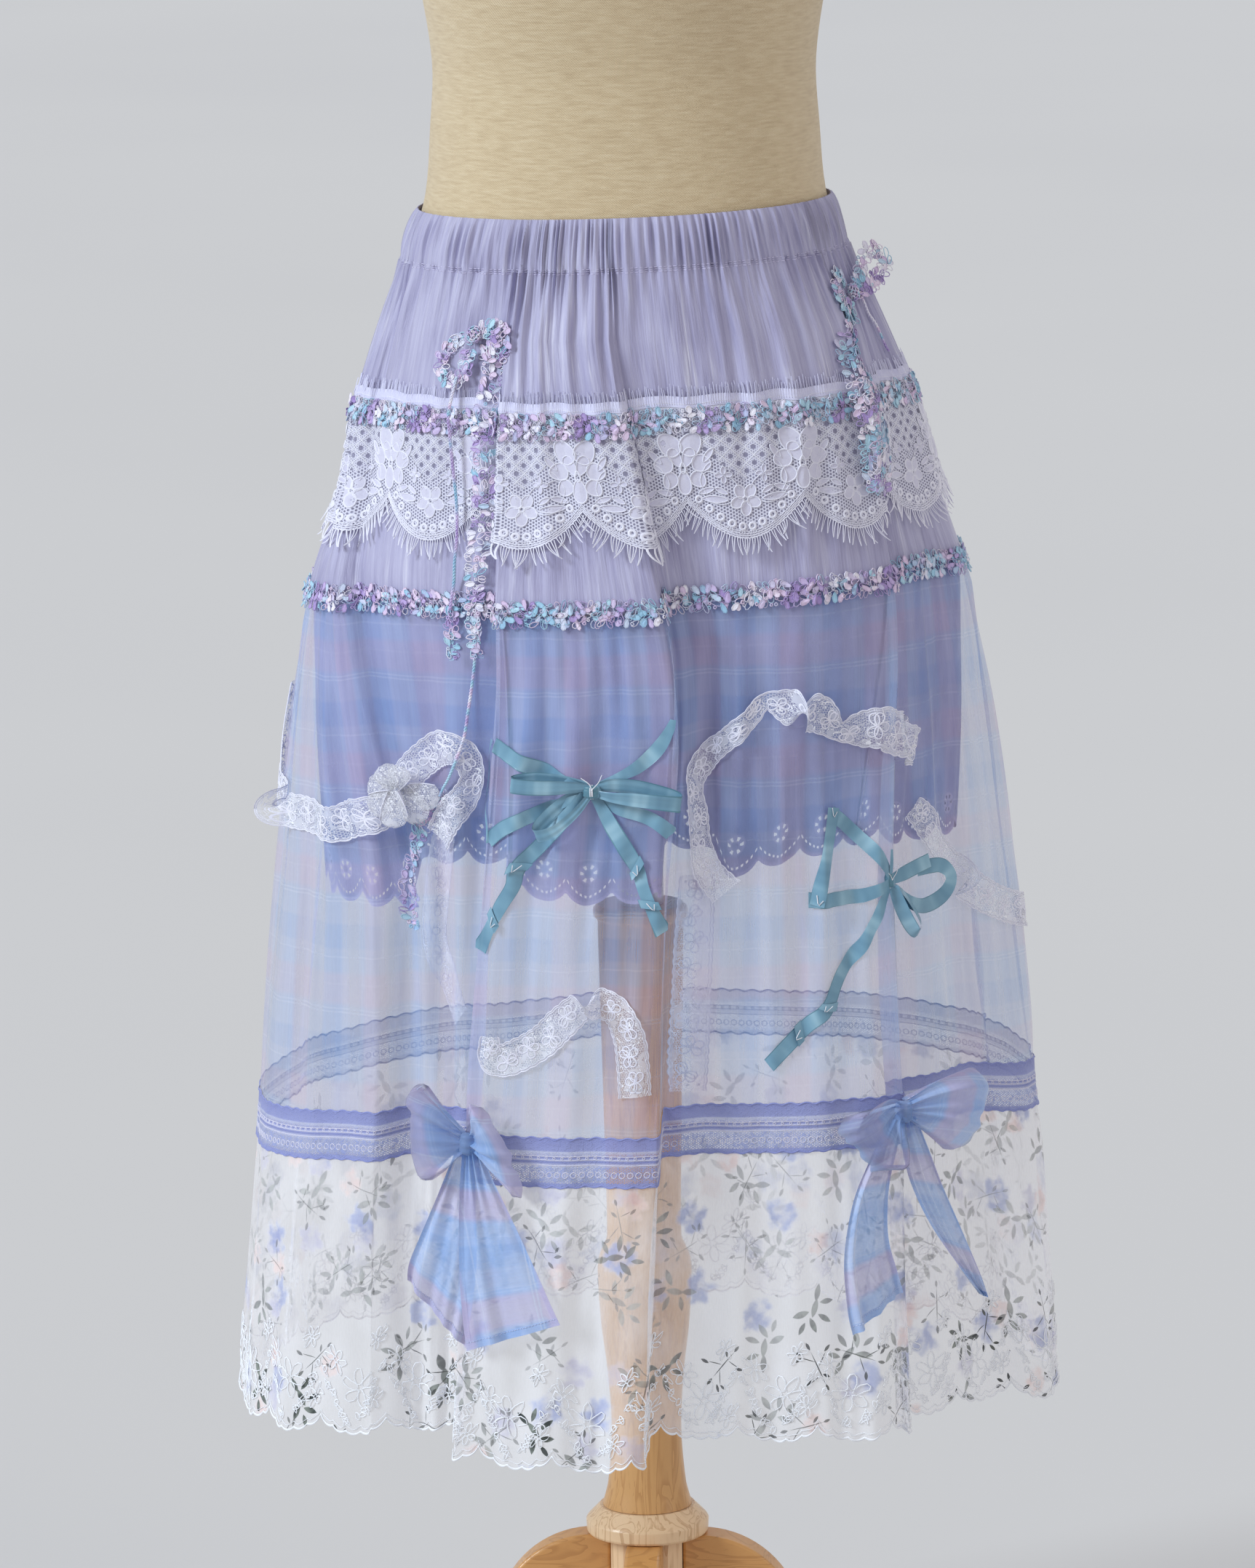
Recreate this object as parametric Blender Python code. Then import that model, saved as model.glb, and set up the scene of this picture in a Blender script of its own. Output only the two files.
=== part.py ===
"""Tiered lace skirt worn on a limbless dress form with a turned wooden stand.

Metres, +Z up, the front of the skirt faces -Y and +X is the viewer's right.
The origin is on the floor, under the pole. Every layer of cloth is a wall between an
outer and an inner face, and both are read from one shared surface: columns run down
the skirt and follow its folds, and lines run round it at its seams.
"""
import math

import bmesh
import bpy

MM = 0.001

# Driving dimensions
WAIST_HEIGHT = 1.031          # waist seam above the floor, at the side
WALL = 1.2 * MM               # cloth with its gathers pressed flat
SEAM_GAP = 0.3 * MM           # between two pieces that are sewn together
WAIST_GATHER = 1.7 * MM       # how far each gather stands out at the elastic
SHEER_GATHER = 1.5 * MM       # how far each gather of the sheer tier dips in
TRIM_WIDTH = 12 * MM
TRIM_THICK = 2.4 * MM
LACE_SCALLOP_PITCH = 75 * MM
LACE_SCALLOP_DEPTH = 26 * MM
LINING_SCALLOP_PITCH = 34 * MM
LINING_SCALLOP_DEPTH = 9 * MM
HEM_SCALLOP_PITCH = 52 * MM
HEM_SCALLOP_DEPTH = 12 * MM
LINING_INSET = 27 * MM        # how far the lining hangs inside the sheer tier at its hem
FLOUNCE_FLARE = 4 * MM
SATIN_WIDTH = 10 * MM
LACE_RIBBON_WIDTH = 22 * MM
RIBBON_THICK = 1.0 * MM
TRIM_LIFT = 0.45 * MM         # room under the first trim, which stands off below
TRIM_TILT = 0.8 * MM
SCALLOP_ROUNDNESS = 0.7       # below 1 the scallops are fuller than a sine's
LINING_FLATTEN = 0.4          # share of the folds' depth that the lining's hem loses
MITRE_LIMIT = 0.45            # least cosine used where the wall turns a fold's corner

# Shape of the hanging cloth.
# Columns: drop below the waist seam, half width, half depth, shift to the right,
# share of the fold depth.
LEVELS = (
    (-0.035, 0.1320, 0.0995, -0.0040, 0.00),
    (0.000, 0.1425, 0.1075, -0.0040, 0.00),
    (0.100, 0.1785, 0.1360, 0.0010, 0.30),
    (0.160, 0.1905, 0.1465, 0.0035, 0.40),
    (0.225, 0.2125, 0.1615, 0.0020, 0.54),
    (0.420, 0.2375, 0.1830, 0.0015, 0.85),
    (0.585, 0.2530, 0.1960, 0.0015, 0.97),
    (0.800, 0.2680, 0.2090, 0.0015, 1.10),
)

# Folds, anticlockwise seen from above, 0 degrees at the front.
# Columns: name, angle in degrees at each of FOLD_DROPS, fold outwards in mm,
# rise of the seams in mm, rise of the lining's hem in mm, cloth columns to the next row.
FOLD_DROPS = (0.05, 0.16, 0.26, 0.42, 0.75)
FOLDS = (
    ("left_side", (-90, -90, -90, -90, -90), 5, -6, -10, 3),
    ("left_ridge", (-84, -82, -76, -68, -64), 15, -4, -17, 3),
    ("left_edge", (-77, -74, -61, -46, -42), 9, 2, -17, 1),
    ("left_hollow", (-73, -70, -57, -42, -38), -14, 5, 12, 4),
    ("panel_left_foot", (-31, -28.6, -25.6, -26.6, -28.6), -15, 5, 14, 1),
    ("panel_left_edge", (-29, -27.2, -24.2, -25.2, -27), 12, -5, -3, 4),
    ("panel_middle", (-19, -14, -10, -11, -14), 16, -6, -10, 4),
    ("panel_right_edge", (-5, 0, 5, 3.3, -1), 22, -6, -10, 1),
    ("panel_right_foot", (-3.6, 1.3, 6.3, 4.6, 0.4), -14, 5, 20, 2),
    ("middle_hollow", (6, 8, 11, 10, 7), -16, 6, 20, 3),
    ("right_slope", (19, 18, 17, 16, 14), -4, 6, 0, 4),
    ("right_ridge", (38, 34, 31, 28, 26), 14, 6, 8, 4),
    ("right_edge", (59, 51, 47, 41, 37.5), 17, 4, 12, 1),
    ("right_foot", (60.5, 52.5, 48.5, 42.6, 39.2), -12, 6, 12, 3),
    ("right_hollow", (72, 69, 66, 62, 60), -12, 4, 2, 3),
    ("right_side_ridge", (82, 80, 78, 77, 76), 12, -4, 0, 3),
    ("right_side", (90, 90, 90, 90, 90), 8, -6, 0, 3),
    ("back_hollow_1", (107, 106, 106, 106, 107), -7, 2, 4, 3),
    ("back_ridge_1", (122, 121, 121, 122, 123), 12, -4, -4, 3),
    ("back_hollow_2", (140, 141, 141, 140, 139), -13, 4, 6, 3),
    ("back_ridge_2", (157, 158, 158, 159, 161), 9, -3, -5, 3),
    ("back_hollow_3", (182, 181, 181, 180, 178), -15, 5, 6, 3),
    ("back_ridge_3", (198, 199, 199, 199, 200), 15, -5, -6, 3),
    ("back_hollow_4", (215, 214, 214, 215, 216), -10, 4, 5, 3),
    ("back_ridge_4", (236, 236, 236, 235, 234), 13, -4, -4, 3),
    ("back_hollow_5", (255, 254, 254, 254, 255), -8, 2, 0, 3),
)

# Lines round the skirt, top to bottom.
# Columns: name, height at the front, tilt in mm for each metre to the right,
# share of the folds' rise.
LINES = (
    ("waist_top", 1.0575, 27, 0.0),
    ("waist", 1.0245, 27, 0.0),
    ("hip", 0.9830, 27, 0.05),
    ("heading", 0.9405, 25, 0.10),
    ("flounce_middle", 0.8970, 30, 0.20),
    ("sheer_seam", 0.8145, 40, 0.30),
    ("sheer_1", 0.7500, 38, 0.50),
    ("sheer_2", 0.6650, 35, 0.70),
    ("sheer_3", 0.5750, 32, 0.90),
    ("band_top", 0.4840, 30, 1.00),
    ("band_bottom", 0.4540, 30, 1.00),
    ("print_1", 0.3940, 20, 1.00),
    ("print_2", 0.3300, 10, 1.00),
    ("hem", 0.2650, 0, 1.00),
)
LINE_NUMBER = {row[0]: number for number, row in enumerate(LINES)}
HEADING_TO_SEAM = 10 * MM     # the first seam lies this far under the heading's edge
TRIM_1_BELOW_HEADING = 11 * MM
LACE_NOTCH_BELOW_HEADING = 74 * MM
LINING_HEM_HEIGHT = 0.631     # lowest points of the lining's scallops, at the front

# Dress form
FORM_LEAN = -0.004            # its waist and bust stand this far to the left of the pole
FORM_LEAN_HEIGHTS = (0.79, 1.02)
FORM_SIDES = 32
# Columns: height, half width, half depth, shift to the back.
FORM_ROWS = (
    (0.7905, 0.1080, 0.0800, 0.000),
    (0.7960, 0.1260, 0.0930, 0.000),
    (0.8150, 0.1460, 0.1060, 0.001),
    (0.8450, 0.1580, 0.1150, 0.002),
    (0.8900, 0.1630, 0.1190, 0.002),
    (0.9300, 0.1600, 0.1180, 0.001),
    (0.9800, 0.1510, 0.1120, 0.000),
    (1.0240, 0.1420, 0.1060, 0.000),
    (1.0620, 0.1309, 0.0989, 0.000),
    (1.1050, 0.1270, 0.0950, 0.000),
    (1.1500, 0.1250, 0.0940, -0.001),
    (1.2100, 0.1340, 0.1020, -0.004),
    (1.2700, 0.1460, 0.1110, -0.006),
    (1.3300, 0.1540, 0.1080, -0.002),
    (1.3800, 0.1600, 0.0950, 0.003),
    (1.4080, 0.1510, 0.0830, 0.005),
    (1.4280, 0.1190, 0.0700, 0.006),
    (1.4420, 0.0780, 0.0590, 0.006),
    (1.4600, 0.0570, 0.0530, 0.005),
    (1.4960, 0.0520, 0.0500, 0.003),
    (1.5000, 0.0490, 0.0470, 0.003),
)

# Stand
ROD_RADIUS = 15.5 * MM
# Columns: height, radius.
COLLAR_ROWS = ((0.1550, 0.0395), (0.1565, 0.0410), (0.1650, 0.0410), (0.1742, 0.0320))
COLUMN_ROWS = (
    (0.1745, 0.0300), (0.1900, 0.0262), (0.2280, 0.0235), (0.2650, 0.0255),
    (0.3000, 0.0296), (0.3330, 0.0315), (0.3450, 0.0308), (0.3540, 0.0272),
    (0.3600, 0.0250), (0.4300, 0.0258), (0.5700, 0.0285), (0.5775, 0.0288),
    (0.5800, 0.0315), (0.5850, 0.0315), (0.5880, 0.0285),
)
TURNED_SIDES = 24
HUB_HALF = 24 * MM
HUB_CHAMFER = 9 * MM
HUB_BOTTOM = 0.052
HUB_TOP = 0.1547
LEG_THICK = 24 * MM
STAND_TURN = -4               # degrees, the front leg points slightly to the left
FOOT_REACH = 0.218


def between(a, b, t):
    """Point or number at share t of the way from a to b."""
    if isinstance(a, tuple):
        return tuple(p + (q - p) * t for p, q in zip(a, b))
    return a + (b - a) * t


def smooth_table(places, values, place):
    """Smooth curve through a table, flat past its ends."""
    if place <= places[0]:
        return values[0]
    if place >= places[-1]:
        return values[-1]
    k = max(i for i in range(len(places) - 1) if places[i] <= place)
    step = places[k + 1] - places[k]
    t = (place - places[k]) / step

    def slope(i):
        if 0 < i < len(places) - 1:
            return (values[i + 1] - values[i - 1]) / (places[i + 1] - places[i - 1])
        j = min(i, len(places) - 2)
        return (values[j + 1] - values[j]) / (places[j + 1] - places[j])

    h00 = (1 + 2 * t) * (1 - t) ** 2
    h10 = t * (1 - t) ** 2
    h01 = t * t * (3 - 2 * t)
    h11 = t * t * (t - 1)
    curve = h00 * values[k] + h10 * step * slope(k) + h01 * values[k + 1]
    return curve + h11 * step * slope(k + 1)


def ease(t):
    """Rounded step from 0 to 1."""
    return 0.5 - 0.5 * math.cos(math.pi * t)


DROPS, WIDTHS, DEPTHS, SHIFTS, SHARES = zip(*LEVELS)


def cloth_columns():
    """List of (fold row, share of the way to the next row) for every column."""
    columns = []
    for row, fold in enumerate(FOLDS):
        for step in range(fold[5]):
            columns.append((row, step / fold[5]))
    return columns


COLUMNS = cloth_columns()
COUNT = len(COLUMNS)


def fold_angle(row, drop):
    """Angle of a fold row at a drop, in degrees; rows past the last go round again."""
    turn, index = divmod(row, len(FOLDS))
    return smooth_table(FOLD_DROPS, FOLDS[index][1], drop) + 360 * turn


def column_value(column, item):
    """A fold table value, eased between its rows, at a whole column."""
    row, share = COLUMNS[column % COUNT]
    following = (row + 1) % len(FOLDS)
    return between(FOLDS[row][item], FOLDS[following][item], ease(share))


def column_angle(column, drop):
    """Angle of a whole column, in radians."""
    turn, index = divmod(column, COUNT)
    row, share = COLUMNS[index]
    degrees = between(fold_angle(row, drop), fold_angle(row + 1, drop), share)
    return math.radians(degrees + 360 * turn)


def plan_point(column, drop, inset=0.0, flatten=0.0):
    """Where a whole column crosses the level of a drop, seen from above."""
    angle = column_angle(column, drop)
    fold = column_value(column, 2) * MM * smooth_table(DROPS, SHARES, drop) * (1 - flatten)
    half_width = smooth_table(DROPS, WIDTHS, drop) - inset + fold
    half_depth = smooth_table(DROPS, DEPTHS, drop) - inset + fold
    shift = smooth_table(DROPS, SHIFTS, drop)
    return shift + half_width * math.sin(angle), -half_depth * math.cos(angle)


def edge_normal(a, b):
    """Unit vector that points out of the skirt, square to the edge from a to b."""
    dx = b[0] - a[0]
    dy = b[1] - a[1]
    length = math.hypot(dx, dy)
    return dy / length, -dx / length


def skin(column, height, out=0.0, inset=0.0, flatten=0.0):
    """Point of the cloth at a column (whole or not) and height, moved out square to it."""
    drop = WAIST_HEIGHT - height
    whole = math.floor(column)
    share = column - whole
    here = plan_point(whole, drop, inset, flatten)
    after = plan_point(whole + 1, drop, inset, flatten)
    n_after = edge_normal(here, after)
    if share < 1e-6:
        before = plan_point(whole - 1, drop, inset, flatten)
        n_before = edge_normal(before, here)
        nx = n_before[0] + n_after[0]
        ny = n_before[1] + n_after[1]
        length = math.hypot(nx, ny)
        nx, ny = nx / length, ny / length
        mitre = out / max(nx * n_after[0] + ny * n_after[1], MITRE_LIMIT)
        return here[0] + nx * mitre, here[1] + ny * mitre, height
    x, y = between(here, after, share)
    return x + n_after[0] * out, y + n_after[1] * out, height


def line_height(name, column, rise_item=3):
    """Height of a named line at a column."""
    _, height, tilt, rise_share = LINES[LINE_NUMBER[name]]
    whole = math.floor(column)
    share = column - whole
    rise = between(column_value(whole, rise_item), column_value(whole + 1, rise_item), share)
    x = skin(column, height)[0]
    return height + tilt * MM * x + rise * MM * rise_share


def on_cloth(column, height, out=0.0):
    """Point on the flat facets between the two lines that a height lies between."""
    names = [row[0] for row in LINES]
    heights = [line_height(name, column) for name in names]
    k = 0
    while k < len(names) - 2 and height < heights[k + 1]:
        k += 1
    upper = skin(column, heights[k], out)
    lower = skin(column, heights[k + 1], out)
    return between(upper, lower, (heights[k] - height) / (heights[k] - heights[k + 1]))


def ring(heights, out=0.0, doubled=False, half_out=0.0, dip=0.0):
    """Points round the cloth.

    heights is a function of the column. Doubled rings have a point between columns,
    moved out by half_out more; dip moves every other column in.
    """
    points = []
    for column in range(COUNT):
        inward = dip if column % 2 else 0.0
        points.append(on_cloth(column, heights(column), out - inward))
        if doubled:
            points.append(on_cloth(column + 0.5, heights(column + 0.5), out + half_out))
    return points


def arc_lengths(height):
    """Running length round the cloth at each half column, and the whole length."""
    lengths = [0.0]
    for column in range(COUNT):
        a = plan_point(column, WAIST_HEIGHT - height)
        b = plan_point(column + 1, WAIST_HEIGHT - height)
        half = math.dist(a, b) / 2
        lengths.append(lengths[-1] + half)
        lengths.append(lengths[-1] + half)
    return lengths


def scallop(column, lengths, pitch):
    """0 in a notch and 1 at a scallop's lowest point."""
    whole = lengths[-1]
    count = round(whole / pitch)
    place = lengths[round(column * 2) % (2 * COUNT)]
    return abs(math.sin(math.pi * count * place / whole)) ** SCALLOP_ROUNDNESS


# Mesh helpers

def stitch(faces, upper, lower):
    """Triangles between two rings of vertex numbers; one may have twice the points."""
    if len(upper) == len(lower):
        count = len(upper)
        for i in range(count):
            j = (i + 1) % count
            faces.append((upper[i], lower[i], lower[j]))
            faces.append((upper[i], lower[j], upper[j]))
        return
    flipped = len(upper) > len(lower)
    few, many = (lower, upper) if flipped else (upper, lower)
    for i in range(len(few)):
        a, b = few[i], few[(i + 1) % len(few)]
        p = many[2 * i]
        q = many[2 * i + 1]
        r = many[(2 * i + 2) % len(many)]
        for face in ((a, p, q), (a, q, b), (b, q, r)):
            faces.append(face[::-1] if flipped else face)


def add_object(name, points, faces, material, smooth_angle=40):
    """One named mesh object with its faces pointing out."""
    mesh = bpy.data.meshes.new(name)
    mesh.from_pydata(points, [], faces)
    bm = bmesh.new()
    bm.from_mesh(mesh)
    bmesh.ops.recalc_face_normals(bm, faces=bm.faces)
    bm.to_mesh(mesh)
    bm.free()
    mesh.materials.append(material)
    mesh.shade_smooth()
    mesh.set_sharp_from_angle(angle=math.radians(smooth_angle))
    obj = bpy.data.objects.new(name, mesh)
    bpy.context.scene.collection.objects.link(obj)
    return obj


def wall_tube(name, outer, inner, material):
    """Closed wall round the skirt from matching outer and inner rings, top first."""
    points = []
    numbers = []
    for points_ring in outer + inner:
        numbers.append(list(range(len(points), len(points) + len(points_ring))))
        points.extend(points_ring)
    rows = len(outer)
    faces = []
    for k in range(rows - 1):
        stitch(faces, numbers[k], numbers[k + 1])
        stitch(faces, numbers[rows + k + 1], numbers[rows + k])
    stitch(faces, numbers[rows], numbers[0])
    stitch(faces, numbers[rows - 1], numbers[2 * rows - 1])
    return add_object(name, points, faces, material)


def loft(name, sections, material, smooth_angle=40):
    """Closed body through sections that have the same number of points."""
    points = [point for section in sections for point in section]
    count = len(sections[0])
    faces = []
    for k in range(len(sections) - 1):
        first = k * count
        second = first + count
        for i in range(count):
            j = (i + 1) % count
            faces.append((first + i, first + j, second + j, second + i))
    faces.append(tuple(reversed(range(count))))
    last = (len(sections) - 1) * count
    faces.append(tuple(range(last, last + count)))
    return add_object(name, points, faces, material, smooth_angle)


def material(name, colour, roughness, metallic=0.0):
    """Principled material."""
    made = bpy.data.materials.new(name)
    made.use_nodes = True
    shader = made.node_tree.nodes["Principled BSDF"]
    shader.inputs["Base Color"].default_value = (*colour, 1.0)
    shader.inputs["Roughness"].default_value = roughness
    shader.inputs["Metallic"].default_value = metallic
    made.diffuse_color = (*colour, 1.0)
    return made


# Cloth of the skirt

def at(line, lift=0.0):
    """Height function of a line, moved up by lift."""
    return lambda column: line_height(line, column) + lift


def build_waistband(cloth):
    """Elastic casing with gathers on its outside and a plain inside."""
    top = at("waist_top")
    bottom = at("waist", SEAM_GAP / 2)
    outer = [ring(h, 0.0, True, WAIST_GATHER) for h in (top, bottom)]
    inner = [ring(h, -WALL) for h in (top, bottom)]
    wall_tube("waistband", outer, inner, cloth)


def build_upper_tiers(cloth):
    """Gathered yoke tier above the flounce, and the tier under the flounce."""
    waist = at("waist", -SEAM_GAP / 2)
    first_seam = at("heading", -HEADING_TO_SEAM)
    below_seam = at("heading", -HEADING_TO_SEAM - SEAM_GAP)
    rows = (waist, at("hip"), at("heading"), first_seam)
    outer = [ring(waist, 0.0, True, WAIST_GATHER)] + [ring(h) for h in rows[1:]]
    inner = [ring(waist, -WALL, True, WAIST_GATHER)] + [ring(h, -WALL) for h in rows[1:]]
    wall_tube("tier_1", outer, inner, cloth)
    rows = (below_seam, at("flounce_middle"), at("sheer_seam", SEAM_GAP / 2))
    outer = [ring(h) for h in rows]
    inner = [ring(h, -WALL) for h in rows]
    wall_tube("tier_2", outer, inner, cloth)


def build_flounce(cloth):
    """Lace flounce over the second tier, with a scalloped edge that reaches the lashes."""
    lengths = arc_lengths(LINES[LINE_NUMBER["flounce_middle"]][1])

    def edge(column):
        deep = scallop(column, lengths, LACE_SCALLOP_PITCH) * LACE_SCALLOP_DEPTH
        return line_height("heading", column) - LACE_NOTCH_BELOW_HEADING - deep

    inner_out = SEAM_GAP
    outer_out = SEAM_GAP + WALL
    flare = (0.0, FLOUNCE_FLARE / 2, FLOUNCE_FLARE)
    rows = (at("heading"), at("flounce_middle"), edge)
    doubled = (False, False, True)
    outer = [ring(h, outer_out + f, d) for h, f, d in zip(rows, flare, doubled)]
    inner = [ring(h, inner_out + f, d) for h, f, d in zip(rows, flare, doubled)]
    wall_tube("lace_flounce", outer, inner, cloth)


def build_trims(cloth):
    """Tatted trim over the flounce's heading and over the sheer tier's seam."""
    half = TRIM_WIDTH / 2
    centre = -TRIM_1_BELOW_HEADING
    rows = (at("heading", centre + half), at("heading", centre - half))
    under_top = 2 * SEAM_GAP + WALL + TRIM_LIFT
    under = (under_top, under_top + TRIM_TILT)
    outer = [ring(h, out + TRIM_THICK) for h, out in zip(rows, under)]
    inner = [ring(h, out) for h, out in zip(rows, under)]
    wall_tube("tatted_trim_1", outer, inner, cloth)
    rows = (at("sheer_seam", half), at("sheer_seam", -half))
    outer = [ring(h, 3 * SEAM_GAP + TRIM_THICK) for h in rows]
    inner = [ring(h, 3 * SEAM_GAP) for h in rows]
    wall_tube("tatted_trim_2", outer, inner, cloth)


def build_sheer_tier(cloth):
    """Sheer checked tier, gathered at its top seam."""
    rows = (at("sheer_seam", -SEAM_GAP / 2), at("sheer_1"), at("sheer_2"), at("sheer_3"),
            at("band_top", SEAM_GAP / 2))
    dips = (SHEER_GATHER, SHEER_GATHER, SHEER_GATHER / 2, 0.0, 0.0)
    outer = [ring(h, 0.0, dip=d) for h, d in zip(rows, dips)]
    inner = [ring(h, -WALL, dip=d) for h, d in zip(rows, dips)]
    wall_tube("sheer_tier", outer, inner, cloth)


def build_lining(cloth):
    """Lining that hangs straighter than the sheer tier from the same seam."""
    lengths = arc_lengths(LINING_HEM_HEIGHT)
    seam_out = -(WALL + SHEER_GATHER + 2 * SEAM_GAP)
    tilt = LINES[LINE_NUMBER["sheer_2"]][2] * MM

    def top(column):
        return line_height("sheer_seam", column) - SEAM_GAP

    def hem(column):
        whole = math.floor(column)
        rise = between(column_value(whole, 4), column_value(whole + 1, 4), column - whole)
        notch = 1 - scallop(column, lengths, LINING_SCALLOP_PITCH)
        x = skin(column, LINING_HEM_HEIGHT)[0]
        return LINING_HEM_HEIGHT + tilt * x + rise * MM + notch * LINING_SCALLOP_DEPTH

    def lining_ring(share, out, doubled):
        points = []
        steps = 2 if doubled else 1
        for k in range(COUNT * steps):
            column = k / steps
            height = between(top(column), hem(column), share)
            inset = LINING_INSET * share
            points.append(skin(column, height, seam_out + out, inset, LINING_FLATTEN * share))
        return points

    rows = ((0.0, False), (0.5, False), (1.0, True))
    outer = [lining_ring(share, 0.0, doubled) for share, doubled in rows]
    inner = [lining_ring(share, -WALL, doubled) for share, doubled in rows]
    wall_tube("lining", outer, inner, cloth)


def build_band(cloth):
    """Lace insertion between the sheer tier and the printed hem."""
    rows = (at("band_top", -SEAM_GAP / 2), at("band_bottom", SEAM_GAP / 2))
    wall_tube("insertion_band", [ring(h) for h in rows], [ring(h, -WALL) for h in rows], cloth)


def build_hem_tier(cloth):
    """Printed organza hem with a scalloped edge."""
    lengths = arc_lengths(LINES[LINE_NUMBER["hem"]][1])

    def edge(column):
        notch = 1 - scallop(column, lengths, HEM_SCALLOP_PITCH)
        return line_height("hem", column) + notch * HEM_SCALLOP_DEPTH

    rows = (at("band_bottom", -SEAM_GAP / 2), at("print_1"), at("print_2"), edge)
    doubled = (False, False, False, True)
    outer = [ring(h, 0.0, d) for h, d in zip(rows, doubled)]
    inner = [ring(h, -WALL, d) for h, d in zip(rows, doubled)]
    wall_tube("hem_tier", outer, inner, cloth)


# Dress form and stand

def build_form(linen):
    """Smooth limbless form, flat underneath and at the neck."""
    sections = []
    low, high = FORM_LEAN_HEIGHTS
    for height, half_width, half_depth, back in FORM_ROWS:
        section = []
        lean = FORM_LEAN * min(max((height - low) / (high - low), 0.0), 1.0)
        for k in range(FORM_SIDES):
            angle = 2 * math.pi * k / FORM_SIDES
            x = lean + half_width * math.sin(angle)
            section.append((x, back - half_depth * math.cos(angle), height))
        sections.append(section)
    loft("dress_form", sections, linen, 50)


def turned(name, rows, wood, sides=TURNED_SIDES):
    """Solid of revolution through (height, radius) rows."""
    sections = []
    for height, radius in rows:
        angles = [2 * math.pi * k / sides for k in range(sides)]
        sections.append([(radius * math.cos(a), radius * math.sin(a), height) for a in angles])
    loft(name, sections, wood, 30)


def build_hub(wood):
    """Square post with cut corners that the legs are fixed to."""
    near = HUB_HALF - HUB_CHAMFER
    outline = []
    for sx, sy in ((1, 1), (-1, 1), (-1, -1), (1, -1)):
        first = (sx * HUB_HALF, sy * near)
        second = (sx * near, sy * HUB_HALF)
        outline.extend((first, second) if sx == sy else (second, first))
    turn = math.radians(STAND_TURN)
    cos, sin = math.cos(turn), math.sin(turn)
    outline = [(x * cos - y * sin, x * sin + y * cos) for x, y in outline]
    sections = [[(x, y, z) for x, y in outline] for z in (HUB_BOTTOM, HUB_TOP)]
    loft("stand_hub", sections, wood, 30)


def leg_outline():
    """Side view of a leg as (distance from the pole, height), foot to the right."""
    inner = HUB_HALF + SEAM_GAP
    top = HUB_TOP
    arc_radius = 68 * MM
    arc_centre = (0.036, top - arc_radius)
    outline = [(inner, top)]
    for degrees in range(90, 19, -14):
        a = math.radians(degrees)
        outline.append((arc_centre[0] + arc_radius * math.cos(a),
                        arc_centre[1] + arc_radius * math.sin(a)))
    outline += [(0.1150, 0.0830), (0.1310, 0.0610), (0.1500, 0.0440), (0.1750, 0.0320),
                (FOOT_REACH - 0.012, 0.0250), (FOOT_REACH - 0.002, 0.0200),
                (FOOT_REACH, 0.0120), (FOOT_REACH - 0.004, 0.0)]
    outline += [(0.1720, 0.0), (0.1500, 0.0060), (0.1240, 0.0200), (0.1010, 0.0400),
                (0.0780, 0.0560), (0.0520, 0.0630), (inner, 0.0640)]
    return outline


def build_legs(wood):
    """Four curved legs round the hub."""
    for side, degrees in (("left", 180), ("back", 90), ("right", 0), ("front", -90)):
        a = math.radians(degrees + STAND_TURN)
        sections = []
        for across in (-LEG_THICK / 2, LEG_THICK / 2):
            sections.append([(r * math.cos(a) - across * math.sin(a),
                              r * math.sin(a) + across * math.cos(a), z)
                             for r, z in leg_outline()])
        loft("leg_" + side, sections, wood, 30)


# Ribbons and bows

def ring_speed(angle, height):
    """Metres round the cloth for each radian of angle."""
    drop = WAIST_HEIGHT - height
    along_x = smooth_table(DROPS, WIDTHS, drop) * math.cos(angle)
    along_y = smooth_table(DROPS, DEPTHS, drop) * math.sin(angle)
    return math.hypot(along_x, along_y)


def column_at(angle, height):
    """Column, not always whole, that lies at an angle in radians."""
    drop = WAIST_HEIGHT - height
    while angle < column_angle(0, drop):
        angle += 2 * math.pi
    low = 0
    high = COUNT
    while high - low > 1:
        middle = (low + high) // 2
        if column_angle(middle, drop) <= angle:
            low = middle
        else:
            high = middle
    first = column_angle(low, drop)
    last = column_angle(low + 1, drop)
    return low + (angle - first) / (last - first)


def cloth_at(angle, height, out):
    """Point at an angle in radians and a height, out from the cloth."""
    return on_cloth(column_at(angle, height), height, out)


def spline(rows, step):
    """Smooth curve through rows of numbers, about step metres between points."""
    result = []
    last = len(rows) - 1
    for k in range(last):
        p0 = rows[max(k - 1, 0)]
        p1 = rows[k]
        p2 = rows[k + 1]
        p3 = rows[min(k + 2, last)]
        metres = math.hypot((p2[0] - p1[0]) * ring_speed(p1[0], p1[1]), p2[1] - p1[1])
        count = max(1, round(metres / step))
        for i in range(count):
            t = i / count
            values = []
            for a, b, c, d in zip(p0, p1, p2, p3):
                cubic = 2 * b + (c - a) * t + (2 * a - 5 * b + 4 * c - d) * t * t
                values.append(0.5 * (cubic + (3 * b - a - 3 * c + d) * t ** 3))
            result.append(tuple(values))
    result.append(tuple(rows[last]))
    return result


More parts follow.
